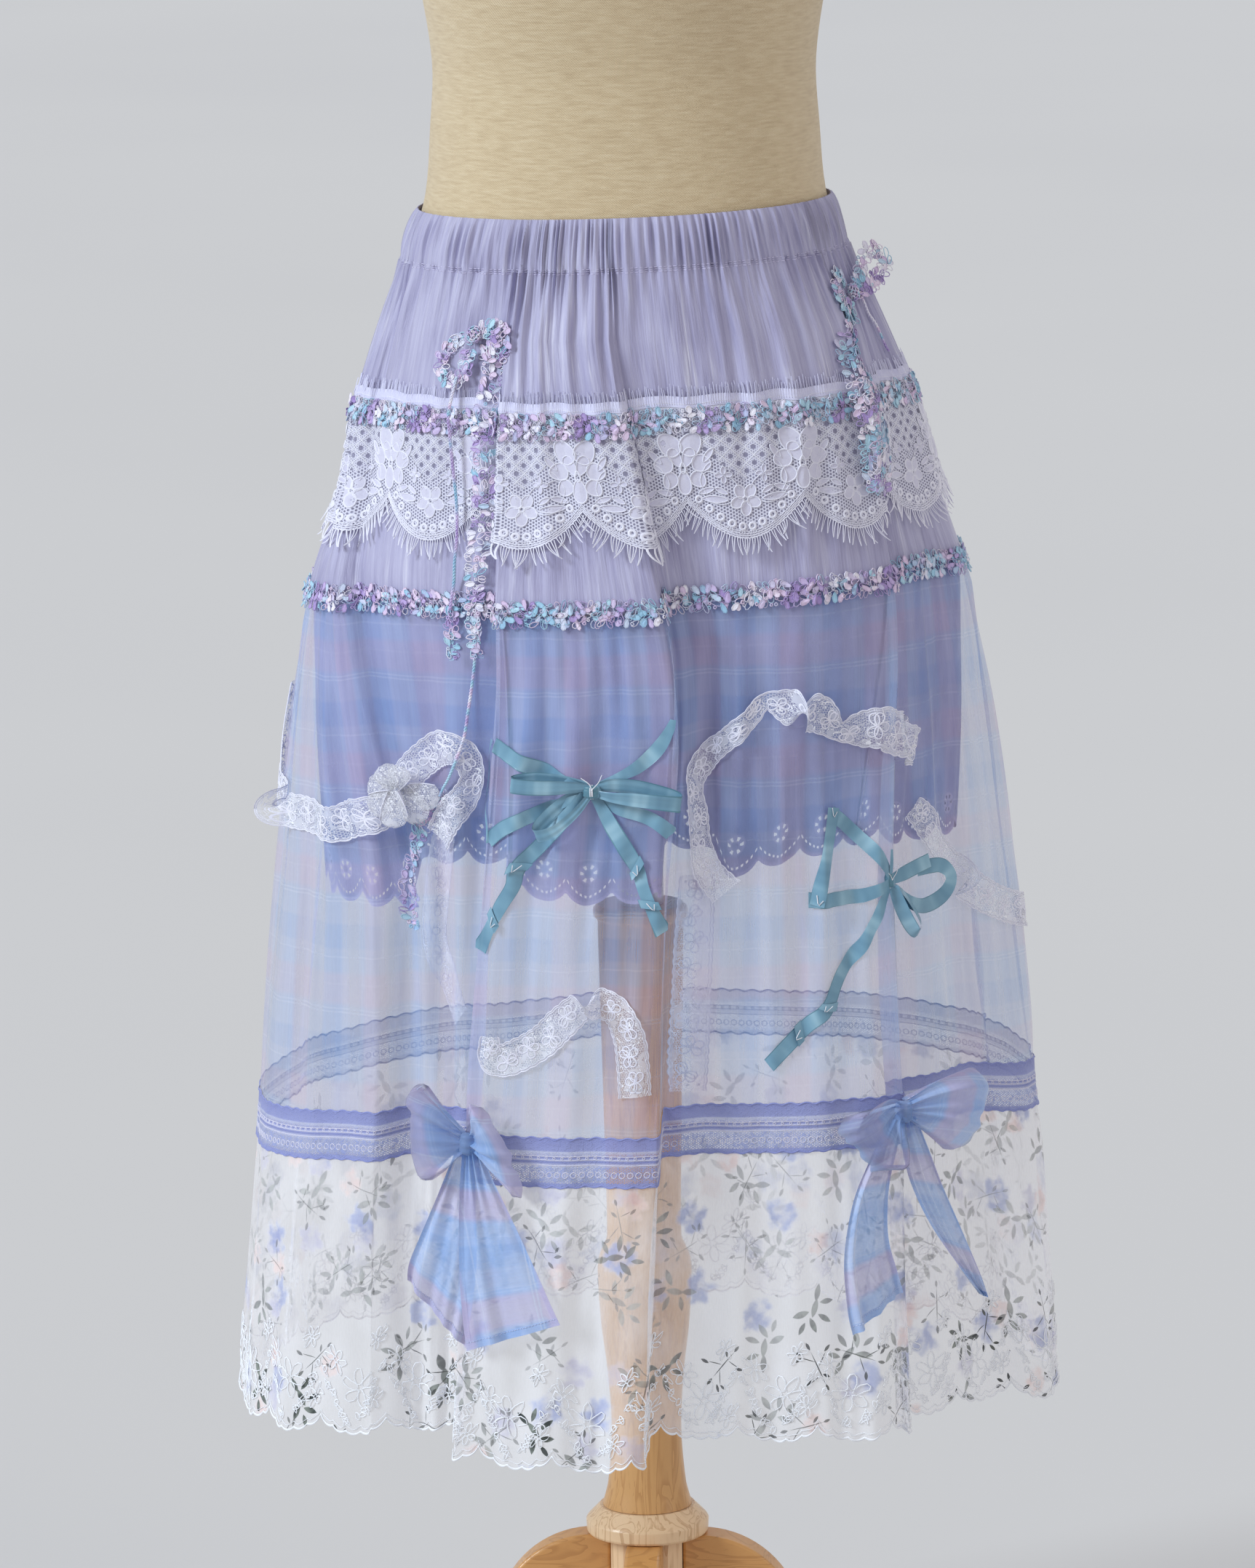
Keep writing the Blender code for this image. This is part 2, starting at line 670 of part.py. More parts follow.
def laid_ribbon(name, route, width, cloth, thick=RIBBON_THICK, step=11 * MM):
    """Flat strip on the cloth. Route rows: degrees, height, lift in mm, share of width."""
    rows = [(math.radians(a), z, lift * MM, share) for a, z, lift, share in route]
    path = spline(rows, step)
    sections = []
    for k, (angle, height, lift, share) in enumerate(path):
        before = path[max(k - 1, 0)]
        after = path[min(k + 1, len(path) - 1)]
        speed = ring_speed(angle, height)
        du = (after[0] - before[0]) * speed
        dz = after[1] - before[1]
        length = math.hypot(du, dz)
        half = width * share / 2
        side_angle = -dz / length * half / speed
        side_height = du / length * half
        corners = []
        for sign, out in ((1, lift), (1, lift + thick), (-1, lift + thick), (-1, lift)):
            corners.append(cloth_at(angle + sign * side_angle, height + sign * side_height, out))
        sections.append(corners)
    return loft(name, sections, cloth, 30)


def local_frame(degrees, height, out):
    """Origin on the cloth with its right, up and outward directions."""
    angle = math.radians(degrees)
    speed = ring_speed(angle, height)
    drop = WAIST_HEIGHT - height
    right = (smooth_table(DROPS, WIDTHS, drop) * math.cos(angle) / speed,
             smooth_table(DROPS, DEPTHS, drop) * math.sin(angle) / speed, 0.0)
    above = cloth_at(angle, height + 10 * MM, out)
    below = cloth_at(angle, height - 20 * MM, out)
    length = math.dist(above, below)
    outward_slope = ((above[0] - below[0]) * right[1] - (above[1] - below[1]) * right[0]) / length
    rise = math.sqrt(1 - outward_slope ** 2)
    up = (right[1] * outward_slope, -right[0] * outward_slope, rise)
    outward = (right[1] * rise, -right[0] * rise, -outward_slope)
    return cloth_at(angle, height, out), right, up, outward


def place(frame, x, y, w):
    """Point at x right, y up and w out of a local frame, in mm."""
    origin, right, up, outward = frame
    return tuple(o + (x * r + y * u + w * n) * MM
                 for o, r, u, n in zip(origin, right, up, outward))


def faced(frame, degrees):
    """Local frame turned about its upward direction, its right side outwards."""
    origin, right, up, outward = frame
    c = math.cos(math.radians(degrees))
    s = math.sin(math.radians(degrees))
    return (origin, tuple(c * r + s * n for r, n in zip(right, outward)), up,
            tuple(c * n - s * r for r, n in zip(right, outward)))


def cross(a, b):
    """Vector product."""
    return (a[1] * b[2] - a[2] * b[1], a[2] * b[0] - a[0] * b[2], a[0] * b[1] - a[1] * b[0])


def free_strip(name, frame, rows, cloth, thick=RIBBON_THICK, pleat=0.0):
    """Strip in a local frame, mm. Rows: x, y, out, half width, lean of the width.

    The lean is in degrees from straight up towards the right. Two soft pleats run
    along the strip and are deepest at its two ends.
    """
    sections = []
    last = len(rows) - 1
    # Columns: share of the half width, share of the pleat's depth
    profile = ((-1.0, 0.0), (-0.5, 1.0), (0.0, 0.0), (0.5, 1.0), (1.0, 0.0)) if pleat else (
        (-1.0, 0.0), (1.0, 0.0))
    for k, (x, y, out, half, lean) in enumerate(rows):
        before = rows[max(k - 1, 0)]
        after = rows[min(k + 1, last)]
        tangent = tuple(after[i] - before[i] for i in range(3))
        width = (math.sin(math.radians(lean)), math.cos(math.radians(lean)), 0.0)
        normal = cross(tangent, width)
        size = math.hypot(*normal)
        depth = pleat * (1 - 0.7 * math.sin(math.pi * k / last))
        faces = ([], [])
        for side in (0, 1):
            shift = (side - 0.5) * thick / MM
            for across, lift in profile:
                move = (shift + lift * depth) / size
                faces[side].append(place(frame, *(v + across * half * w + move * n for v, w, n
                                                  in zip((x, y, out), width, normal))))
        sections.append(faces[0] + faces[1][::-1])
    return loft(name, sections, cloth, 30)


def flat_loop(name, frame, rows, width, cloth, thick):
    """Strip bent round in its own plane, mm. Rows: x, y, out, share of the width."""
    sections = []
    last = len(rows) - 1
    for k, (x, y, out, share) in enumerate(rows):
        before = rows[max(k - 1, 0)]
        after = rows[min(k + 1, last)]
        dx = after[0] - before[0]
        dy = after[1] - before[1]
        half = width * share / 2 / math.hypot(dx, dy)
        sections.append([place(frame, x - sign * dy * half, y + sign * dx * half, out + up)
                         for sign, up in ((1, 0), (1, thick), (-1, thick), (-1, 0))])
    return loft(name, sections, cloth, 30)


def knot(name, frame, centre, size, cloth):
    """Small rounded knot, centre and size in mm in a local frame."""
    sections = []
    # Columns: share of the height, share of the width
    for up, wide in ((-1.0, 0.45), (-0.75, 0.85), (0.0, 1.0), (0.75, 0.85), (1.0, 0.45)):
        section = []
        for k in range(8):
            a = 2 * math.pi * (k + 0.5) / 8
            section.append(place(frame, centre[0] + size[0] / 2 * wide * math.cos(a),
                                 centre[1] + size[1] / 2 * up,
                                 centre[2] + size[2] / 2 * wide * math.sin(a)))
        sections.append(section)
    return loft(name, sections, cloth, 60)


# Lifts of a ribbon's underside, in mm: narrow and wide ribbon on the cloth, and over the
# layers that a tail crosses
ON_CLOTH = 0.8
WIDE_ON_CLOTH = 1.8
CLOSE_ON_CLOTH = 1.4
OVER_FLOUNCE = 7.8
OVER_TRIM = 4.8


def build_tatted_bows(tatting):
    """Bow of tatted trim on each hip, with long tails."""
    left = local_frame(-38.5, 0.982, 0.5 * MM)
    knot("tatted_bow_left_knot", left, (0, 0, 3.3), (12.2, 13.2, 6), tatting)
    flat_loop("tatted_bow_left_loop_1", left, ((-6.2, -3, 1, 0.7), (-14, -4, 1.5, 1), (-21, -11, 2, 1),
              (-23.5, -20, 3, 1), (-20, -28, 4.8, 1), (-12, -31.5, 6, 1), (-5, -27, 5.8, 1),
              (-3, -18, 5.2, 1), (-3.2, -9, 4.4, 0.7)), 8, tatting, 2.4)
    flat_loop("tatted_bow_left_loop_2", left, ((7.2, 1, 1.5, 0.4), (11.5, 4, 3, 0.9), (17, 7, 4.5, 1),
              (22, 3, 5.5, 1), (23, -6, 5.0, 1), (19.5, -16, 3.2, 1)), 10, tatting, 2.4)
    laid_ribbon("tatted_bow_left_tail", (
        (-32.4, 0.971, 0.8, 0.8), (-32.7, 0.958, 2.6, 1), (-32.6, 0.946, 5.4, 1),
        (-32.4, 0.930, 7.4, 1), (-32.2, 0.912, OVER_FLOUNCE, 1), (-31.9, 0.893, OVER_FLOUNCE, 1),
        (-31.6, 0.868, OVER_FLOUNCE, 1), (-31.5, 0.842, OVER_FLOUNCE, 1),
        (-31.4, 0.826, OVER_TRIM, 1), (-31.1, 0.811, OVER_TRIM, 0.9),
        (-30.8, 0.797, 2.6, 0.8), (-30.5, 0.782, ON_CLOTH, 0.6),
        (-30.6, 0.770, ON_CLOTH, 0.18), (-31.0, 0.745, 3.3, 0.16), (-31.6, 0.724, 3.8, 0.16),
        (-33.6, 0.702, 3.6, 0.16), (-37.6, 0.683, 2.4, 0.16), (-40.5, 0.665, ON_CLOTH, 0.16),
        (-42.0, 0.650, ON_CLOTH, 0.5), (-42.5, 0.632, ON_CLOTH, 1.1),
        (-41.8, 0.614, ON_CLOTH, 1.1), (-40.8, 0.597, ON_CLOTH, 0.7)),
        10 * MM, tatting, 2.0 * MM)
    laid_ribbon("tatted_bow_left_cord", (
        (-42.6, 0.9450, 6.2, 0.16), (-41.6, 0.932, 7.4, 0.16), (-40.6, 0.920, OVER_FLOUNCE, 0.16),
        (-39.6, 0.898, OVER_FLOUNCE, 0.16), (-38.4, 0.878, OVER_FLOUNCE, 0.16),
        (-37.0, 0.857, OVER_FLOUNCE, 0.16), (-36.0, 0.840, OVER_FLOUNCE, 0.16),
        (-35.4, 0.826, OVER_TRIM, 0.16), (-34.9, 0.812, OVER_TRIM, 0.3),
        (-34.4, 0.799, 4.2, 0.8), (-34.0, 0.786, 1.6, 0.8), (-33.8, 0.776, 1.0, 0.7)),
        8 * MM, tatting, 1.6 * MM)
    right = local_frame(68, 1.000, 2.4 * MM)
    knot("tatted_bow_right_knot", right, (0, 0, 2.0), (10.6, 13.4, 7), tatting)
    flat_loop("tatted_bow_right_loop_1", right, ((-3, 7.2, 1, 0.5), (-8, 13, 2, 0.9), (-15, 13, 2, 1),
              (-18, 4, 2, 1), (-15, -6, 2, 1), (-10, -8, 2.4, 1), (-7.4, -3, 2.6, 0.6)),
              8, tatting, 2.4)
    flat_loop("tatted_bow_right_loop_2", faced(right, 24), ((7.4, 3, 1, 0.5), (11, 10, 2, 0.9), (17, 18, 2, 1),
              (26, 24, 2, 1), (34, 19, 2, 1), (34, 10, 2, 1), (25, 5, 2, 1), (15, 0, 1.6, 0.8),
              (8, -3, 1, 0.4)), 9, tatting, 2.4)
    laid_ribbon("tatted_bow_right_tail", (
        (64.8, 0.990, 2.4, 0.7), (63.0, 0.981, 2.2, 0.9), (61.8, 0.969, 2.4, 1), (60.6, 0.957, 3.4, 1),
        (59.6, 0.946, 5.6, 1), (58.6, 0.931, 8.6, 1), (58.0, 0.917, 8.6, 1),
        (57.4, 0.903, OVER_FLOUNCE, 0.8)), 13 * MM, tatting, 2.0 * MM)


def build_satin_bows(satin):
    """Two flat bows of narrow satin ribbon, tacked to the sheer tier."""
    centre = local_frame(-8, 0.7035, 0.0)
    knot("satin_bow_centre_knot", centre, (0, 0, 4.4), (11.6, 9, 6), satin)
    arms = (
        ("upper_left", ((-23.3, 0.7290, ON_CLOTH, 1), (-19.5, 0.7180, ON_CLOTH, 1),
                        (-14.5, 0.7115, ON_CLOTH, 0.9), (-9.9, 0.7050, 1.0, 0.4))),
        ("upper_right", ((3.0, 0.7420, ON_CLOTH, 1), (1.6, 0.7280, ON_CLOTH, 1),
                         (-1.2, 0.7160, ON_CLOTH, 0.9), (-5.9, 0.7065, 1.0, 0.4))),
        ("lower_left", ((-22.4, 0.6710, ON_CLOTH, 1), (-20.0, 0.6810, ON_CLOTH, 1),
                        (-15.5, 0.6895, ON_CLOTH, 0.9), (-10.0, 0.7005, 1.0, 0.4))),
        ("lower_right", ((3.5, 0.6730, ON_CLOTH, 1), (0.5, 0.6840, ON_CLOTH, 1),
                         (-3.0, 0.6920, ON_CLOTH, 0.9), (-6.2, 0.6990, 1.0, 0.4))),
    )
    for side, route in arms:
        laid_ribbon("satin_bow_centre_" + side, route, SATIN_WIDTH, satin)
    free_strip("satin_bow_centre_loop_left", centre, (
        (-6, 0, 6.0, 2.2, 0), (-18, 0, 9, 4.4, 0), (-34, -1, 10, 5, 0), (-47, -1, 8, 5, 0),
        (-51, -1, 6, 5, 0), (-47, -1, 4.4, 5, 0), (-34, -1, 3.8, 5, 0), (-18, 0, 3.6, 4, 0),
        (-6, 0, 3.4, 2.2, 0)), satin)
    free_strip("satin_bow_centre_loop_right", centre, (
        (6, -1, 6.0, 2.2, 0), (18, -4, 9, 4.4, 0), (34, -7, 10, 5, 0), (47, -9, 8, 5, 0),
        (51, -9, 6, 5, 0), (47, -9, 4.4, 5, 0), (34, -7, 3.8, 5, 0), (18, -4, 3.6, 4, 0),
        (6, -1, 3.4, 2.2, 0)), satin)
    laid_ribbon("satin_bow_centre_tail_left", (
        (-9.2, 0.6965, 2.8, 0.45), (-12.5, 0.6830, 2.8, 0.9), (-16.5, 0.6660, 2.4, 1),
        (-19.3, 0.6500, ON_CLOTH, 1), (-20.0, 0.6350, ON_CLOTH, 1),
        (-21.8, 0.6180, ON_CLOTH, 1), (-24.0, 0.5960, ON_CLOTH, 1)), SATIN_WIDTH, satin)
    laid_ribbon("satin_bow_centre_tail_right", (
        (-7.2, 0.6960, 2.8, 0.45), (-4.6, 0.6810, 2.8, 0.9), (-2.2, 0.6630, 2.4, 1),
        (-0.6, 0.6500, ON_CLOTH, 1), (0.1, 0.6380, ON_CLOTH, 1),
        (1.2, 0.6250, ON_CLOTH, 1), (1.8, 0.6120, ON_CLOTH, 1)), SATIN_WIDTH, satin)
    right = local_frame(39.0, 0.632, 0.0)
    knot("satin_bow_right_knot", right, (0, 0, 3.4), (8, 9, 5.0), satin)
    flat_loop("satin_bow_right_loop_left", right, (
        (-4.8, 3, 1.2, 0.4), (-13, 14, 1.2, 0.9), (-24, 27, 1.4, 1), (-35, 36, 1.6, 0.9),
        (-41.5, 36, 1.8, 0.7), (-44, 29, 1.8, 0.8), (-46, 10, 1.8, 1), (-48, -6, 1.8, 0.8),
        (-45, -13, 1.8, 0.7), (-38, -14, 1.6, 0.8), (-24, -10, 1.4, 1), (-12, -5, 1.2, 0.8),
        (-5, -2.5, 1.2, 0.4)), 10, satin, 1.0)
    flat_loop("satin_bow_right_loop_right", right, (
        (4.8, 2, 1.2, 0.4), (16, 9, 2, 0.8), (32, 10, 2.4, 1), (44, 4, 2.4, 0.9),
        (48, -5, 2.4, 0.7), (42, -11, 2.4, 0.9), (30, -15, 2.2, 1), (16, -10, 2, 0.8),
        (5, -2.5, 1.2, 0.4)), 9, satin, 1.0)
    flat_loop("satin_bow_right_loop_lower", right, (
        (3.6, -5.6, 1.2, 0.3), (11, -17, 3.8, 0.8), (19, -27, 4.2, 1), (19, -35, 4.2, 0.8),
        (12, -33, 4.2, 0.9), (6, -20, 3.8, 0.7), (1, -6, 1.4, 0.3)), 8, satin, 1.0)
    laid_ribbon("satin_bow_right_tail", (
        (38.0, 0.6250, 1.0, 0.45), (36.4, 0.6110, ON_CLOTH, 1), (34.4, 0.5970, ON_CLOTH, 1),
        (31.6, 0.5810, ON_CLOTH, 1), (29.6, 0.5680, ON_CLOTH, 1), (27.4, 0.5540, ON_CLOTH, 1),
        (24.0, 0.5430, ON_CLOTH, 1), (19.0, 0.5190, ON_CLOTH, 1)), SATIN_WIDTH, satin)


def build_lace_ribbons(lace):
    """Loose lengths of lace ribbon tacked in curves over, and inside, the sheer tier."""
    left = ((-88.0, 0.742, WIDE_ON_CLOTH, 0.8), (-87.5, 0.710, WIDE_ON_CLOTH, 0.9),
            (-84.0, 0.680, WIDE_ON_CLOTH, 0.9), (-73.0, 0.669, WIDE_ON_CLOTH, 1),
            (-63.0, 0.667, WIDE_ON_CLOTH, 1), (-56.0, 0.665, 2.2, 1), (-52.5, 0.669, 2.8, 1),
            (-49.0, 0.676, 11.0, 1), (-46.0, 0.686, 7.0, 1), (-43.0, 0.702, 2.6, 1),
            (-41.0, 0.711, WIDE_ON_CLOTH, 1), (-36.0, 0.721, WIDE_ON_CLOTH, 1),
            (-31.6, 0.718, WIDE_ON_CLOTH, 0.8))
    lower = ((-22.6, 0.541, CLOSE_ON_CLOTH, 0.6), (-22.4, 0.527, CLOSE_ON_CLOTH, 0.8),
             (-19.6, 0.527, CLOSE_ON_CLOTH, 1), (-15.0, 0.538, CLOSE_ON_CLOTH, 1),
             (-11.5, 0.553, CLOSE_ON_CLOTH, 1), (-8.0, 0.565, CLOSE_ON_CLOTH, 0.9),
             (-4.2, 0.561, CLOSE_ON_CLOTH, 0.9), (-2.2, 0.545, CLOSE_ON_CLOTH, 1),
             (-1.6, 0.525, CLOSE_ON_CLOTH, 1), (-1.4, 0.506, CLOSE_ON_CLOTH, 1))
    right = ((50.5, 0.712, 13.0, 0.8), (48.0, 0.713, 19.5, 0.9), (43.3, 0.719, 3.0, 0.9),
             (40.8, 0.727, 2.4, 1), (37.0, 0.731, WIDE_ON_CLOTH, 1),
             (32.5, 0.734, WIDE_ON_CLOTH, 1),
             (28.0, 0.744, WIDE_ON_CLOTH, 1), (23.0, 0.751, WIDE_ON_CLOTH, 0.9),
             (19.0, 0.745, WIDE_ON_CLOTH, 0.9), (16.0, 0.731, WIDE_ON_CLOTH, 1),
             (12.4, 0.716, WIDE_ON_CLOTH, 0.9), (10.2, 0.700, WIDE_ON_CLOTH, 0.9),
             (9.6, 0.682, WIDE_ON_CLOTH, 1), (9.8, 0.664, WIDE_ON_CLOTH, 1),
             (11.0, 0.646, WIDE_ON_CLOTH, 1), (13.4, 0.631, WIDE_ON_CLOTH, 0.8))
    far_right = ((51.5, 0.672, 2.0, 0.7), (55.0, 0.660, WIDE_ON_CLOTH, 1),
                 (59.0, 0.641, WIDE_ON_CLOTH, 1), (64.0, 0.622, WIDE_ON_CLOTH, 1),
                 (69.0, 0.605, 2.6, 1),
                 (77.0, 0.591, WIDE_ON_CLOTH, 1), (86.0, 0.583, WIDE_ON_CLOTH, 0.9))
    outside = (("left", left), ("lower", lower), ("right", right), ("far_right", far_right))
    for side, route in outside:
        laid_ribbon("lace_ribbon_" + side, route, LACE_RIBBON_WIDTH, lace, step=13 * MM)
    rosette = faced(local_frame(-45.5, 0.689, 0.0), -25)
    knot("lace_rosette", rosette, (0, 0, 16.5), (34, 40, 9), lace)
    behind = -(WALL + RIBBON_THICK) / MM - WIDE_ON_CLOTH
    close = behind + WIDE_ON_CLOTH - CLOSE_ON_CLOTH
    inner_left = ((-33.0, 0.690, close, 0.9), (-33.6, 0.655, close, 1), (-34.0, 0.620, close, 1),
                  (-34.4, 0.590, close, 1), (-33.0, 0.565, close, 1),
                  (-31.0, 0.540, close, 0.9))
    inner_middle = ((9.0, 0.640, behind - 1, 0.9), (8.2, 0.600, behind, 1), (7.6, 0.560, behind, 1),
                    (7.0, 0.520, behind, 1), (6.8, 0.500, behind, 0.9))
    for side, route in (("inner_left", inner_left), ("inner_middle", inner_middle)):
        laid_ribbon("lace_ribbon_" + side, route, LACE_RIBBON_WIDTH, lace, step=20 * MM)


def build_organza_bows(organza):
    """Two big bows of the checked organza over the insertion band."""
    # Columns: x, y, out, half width, lean of the width
    bows = (
        ("left", (-25.0, 0.4715),
         ((-7.8, 3, 8, 8, -10), (-17, 8, 14, 20, -10), (-28, 14, 17, 31, -12),
          (-37, 17, 14, 36, -12), (-38.5, 17, 9, 36, -12), (-30, 13, 5, 30, -12),
          (-17, 7, 4.4, 16, -10), (-9.0, 3, 4.0, 7, -10)),
         ((8.6, 2, 8, 8, 10), (17, 4, 14, 20, 12), (27, 6, 17, 29, 14), (35, 6, 14, 33, 16),
          (36.5, 6, 9, 33, 16), (28, 5, 5, 27, 14), (17, 3, 4.4, 15, 12), (9.0, 2, 4.0, 7, 10)),
         ((-3, -9, 8, 6, 90), (-6, -30, 7.5, 11, 90), (-12, -60, 7.5, 16, 84),
          (-19, -90, 8, 19, 78), (-24, -112, 8, 21, 72)),
         ((4, -9, 3.0, 6, 90), (10, -35, 2, 14, 94), (20, -70, 2, 22, 98),
          (30, -100, 2.4, 30, 102), (34, -118, 2.6, 33, 104))),
        ("right", (37.5, 0.4840),
         ((-7.2, -1, 8, 8, -5), (-18, -3, 14, 20, -5), (-34, -6, 18, 28, -5),
          (-47, -9, 14, 31, -8), (-49, -9, 9, 31, -8), (-34, -7, 5.6, 26, -5),
          (-18, -3, 5.2, 15, -5), (-9.0, -1, 4.6, 7, -5)),
         ((8.0, 2, 8, 8, 8), (20, 5, 13, 18, 10), (42, 8, 16, 27, 12), (64, 8, 13, 33, 10),
          (67, 8, 9, 33, 10), (44, 7, 5, 26, 12), (20, 4, 4.4, 14, 10), (9.0, 2, 4.0, 7, 8)),
         ((-4, -9.4, 2.6, 6, 90), (-12, -40, 1.2, 13, 88), (-22, -80, 1.8, 19, 82),
          (-25, -115, 2.4, 21, 76), (-26, -128, 2.6, 21, 74)),
         ((4, -9, 8, 6, 90), (16, -40, 7.5, 12, 100), (30, -75, 7.5, 14, 110),
          (45, -105, 8, 11, 118), (57, -124, 8, 4, 122))),
    )
    for side, (degrees, height), loop_left, loop_right, tail_left, tail_right in bows:
        frame = local_frame(degrees, height, 0.0)
        name = "organza_bow_" + side
        knot(name + "_knot", frame, (0, 0, 8.0), (14, 17, 12), organza)
        free_strip(name + "_loop_left", frame, loop_left, organza, pleat=1.6)
        free_strip(name + "_loop_right", frame, loop_right, organza, pleat=1.6)
        free_strip(name + "_tail_left", frame, tail_left, organza, pleat=1.2)
        free_strip(name + "_tail_right", frame, tail_right, organza, pleat=1.2)


def clear_scene():
    """Remove what the file holds."""
    for obj in list(bpy.data.objects):
        bpy.data.objects.remove(obj, do_unlink=True)


def build():
    """The whole skirt, form and stand."""
    clear_scene()
    chiffon = material("crinkle_chiffon", (0.46, 0.44, 0.66), 0.55)
    lace = material("pale_lace", (0.72, 0.70, 0.86), 0.75)
    tatting = material("tatted_trim", (0.42, 0.44, 0.72), 0.8)
    organza = material("checked_organza", (0.50, 0.56, 0.84), 0.5)
    lilac = material("lining_cotton", (0.30, 0.27, 0.52), 0.85)
    insertion = material("insertion_lace", (0.25, 0.28, 0.62), 0.75)
    printed = material("printed_organza", (0.80, 0.82, 0.88), 0.55)
    satin = material("teal_satin", (0.10, 0.32, 0.36), 0.3)
    linen = material("form_linen", (0.58, 0.46, 0.28), 0.9)
    wood = material("honey_pine", (0.60, 0.36, 0.16), 0.45)
    steel = material("rod_steel", (0.42, 0.46, 0.52), 0.35, 0.6)
    build_waistband(chiffon)
    build_upper_tiers(chiffon)
    build_flounce(lace)
    build_trims(tatting)
    build_sheer_tier(organza)
    build_lining(lilac)
    build_band(insertion)
    build_hem_tier(printed)
    build_form(linen)
    turned("stand_rod", ((0.5883, ROD_RADIUS), (0.7902, ROD_RADIUS)), steel)
    turned("stand_column", COLUMN_ROWS, wood)
    turned("stand_collar", COLLAR_ROWS, wood)
    build_hub(wood)
    build_legs(wood)
    build_tatted_bows(tatting)
    build_satin_bows(satin)
    build_lace_ribbons(lace)
    build_organza_bows(organza)


build()
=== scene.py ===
import math
from functools import partial, reduce

import bpy
import numpy as np
from mathutils import Matrix, Vector


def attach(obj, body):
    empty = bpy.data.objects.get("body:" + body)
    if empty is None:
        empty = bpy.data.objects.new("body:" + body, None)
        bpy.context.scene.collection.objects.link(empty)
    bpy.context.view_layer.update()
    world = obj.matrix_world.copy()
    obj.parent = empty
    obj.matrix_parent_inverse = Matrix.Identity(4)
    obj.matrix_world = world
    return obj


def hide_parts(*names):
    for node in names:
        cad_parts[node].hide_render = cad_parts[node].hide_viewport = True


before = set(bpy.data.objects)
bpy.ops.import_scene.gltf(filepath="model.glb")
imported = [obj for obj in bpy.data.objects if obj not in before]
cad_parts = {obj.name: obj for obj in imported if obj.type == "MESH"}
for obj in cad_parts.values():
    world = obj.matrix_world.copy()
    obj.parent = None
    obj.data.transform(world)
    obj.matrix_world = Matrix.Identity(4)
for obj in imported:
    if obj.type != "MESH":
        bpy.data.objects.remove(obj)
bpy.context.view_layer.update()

# The skirt faces -Y, +X is the viewer's right, metres. The tables of the hanging cloth
# are those of the part: one shared surface that every layer is read from.
MM = 0.001
WAIST_HEIGHT = 1.031
WALL = 1.2 * MM
SEAM_GAP = 0.3 * MM

# Columns: drop below the waist seam, half width, half depth, shift to the right,
# share of the fold depth.
LEVELS = np.array((
    (-0.035, 0.1320, 0.0995, -0.0040, 0.00),
    (0.000, 0.1425, 0.1075, -0.0040, 0.00),
    (0.100, 0.1785, 0.1360, 0.0010, 0.30),
    (0.160, 0.1905, 0.1465, 0.0035, 0.40),
    (0.225, 0.2125, 0.1615, 0.0020, 0.54),
    (0.420, 0.2375, 0.1830, 0.0015, 0.85),
    (0.585, 0.2530, 0.1960, 0.0015, 0.97),
    (0.800, 0.2680, 0.2090, 0.0015, 1.10),
))
DROPS, WIDTHS, DEPTHS, SHIFTS, SHARES = LEVELS.T

# Folds, anticlockwise seen from above, 0 degrees at the front.
# Columns: angle in degrees at each of FOLD_DROPS, fold outwards in mm, rise of the
# seams in mm, rise of the lining's hem in mm.
FOLD_DROPS = np.array((0.05, 0.16, 0.26, 0.42, 0.75))
FOLDS = np.array((
    (-90, -90, -90, -90, -90, 5, -6, -10),
    (-84, -82, -76, -68, -64, 15, -4, -17),
    (-77, -74, -61, -46, -42, 9, 2, -17),
    (-73, -70, -57, -42, -38, -14, 5, 12),
    (-31, -28.6, -25.6, -26.6, -28.6, -15, 5, 14),
    (-29, -27.2, -24.2, -25.2, -27, 12, -5, -3),
    (-19, -14, -10, -11, -14, 16, -6, -10),
    (-5, 0, 5, 3.3, -1, 22, -6, -10),
    (-3.6, 1.3, 6.3, 4.6, 0.4, -14, 5, 20),
    (6, 8, 11, 10, 7, -16, 6, 20),
    (19, 18, 17, 16, 14, -4, 6, 0),
    (38, 34, 31, 28, 26, 14, 6, 8),
    (59, 51, 47, 41, 37.5, 17, 4, 12),
    (60.5, 52.5, 48.5, 42.6, 39.2, -12, 6, 12),
    (72, 69, 66, 62, 60, -12, 4, 2),
    (82, 80, 78, 77, 76, 12, -4, 0),
    (90, 90, 90, 90, 90, 8, -6, 0),
    (107, 106, 106, 106, 107, -7, 2, 4),
    (122, 121, 121, 122, 123, 12, -4, -4),
    (140, 141, 141, 140, 139, -13, 4, 6),
    (157, 158, 158, 159, 161, 9, -3, -5),
    (182, 181, 181, 180, 178, -15, 5, 6),
    (198, 199, 199, 199, 200, 15, -5, -6),
    (215, 214, 214, 215, 216, -10, 4, 5),
    (236, 236, 236, 235, 234, 13, -4, -4),
    (255, 254, 254, 254, 255, -8, 2, 0),
), dtype=float)
FOLD_ANGLES = FOLDS[:, :5]
FOLD_OUT, FOLD_RISE, LINING_RISE = FOLDS[:, 5:].T * MM
ROWS = len(FOLDS)

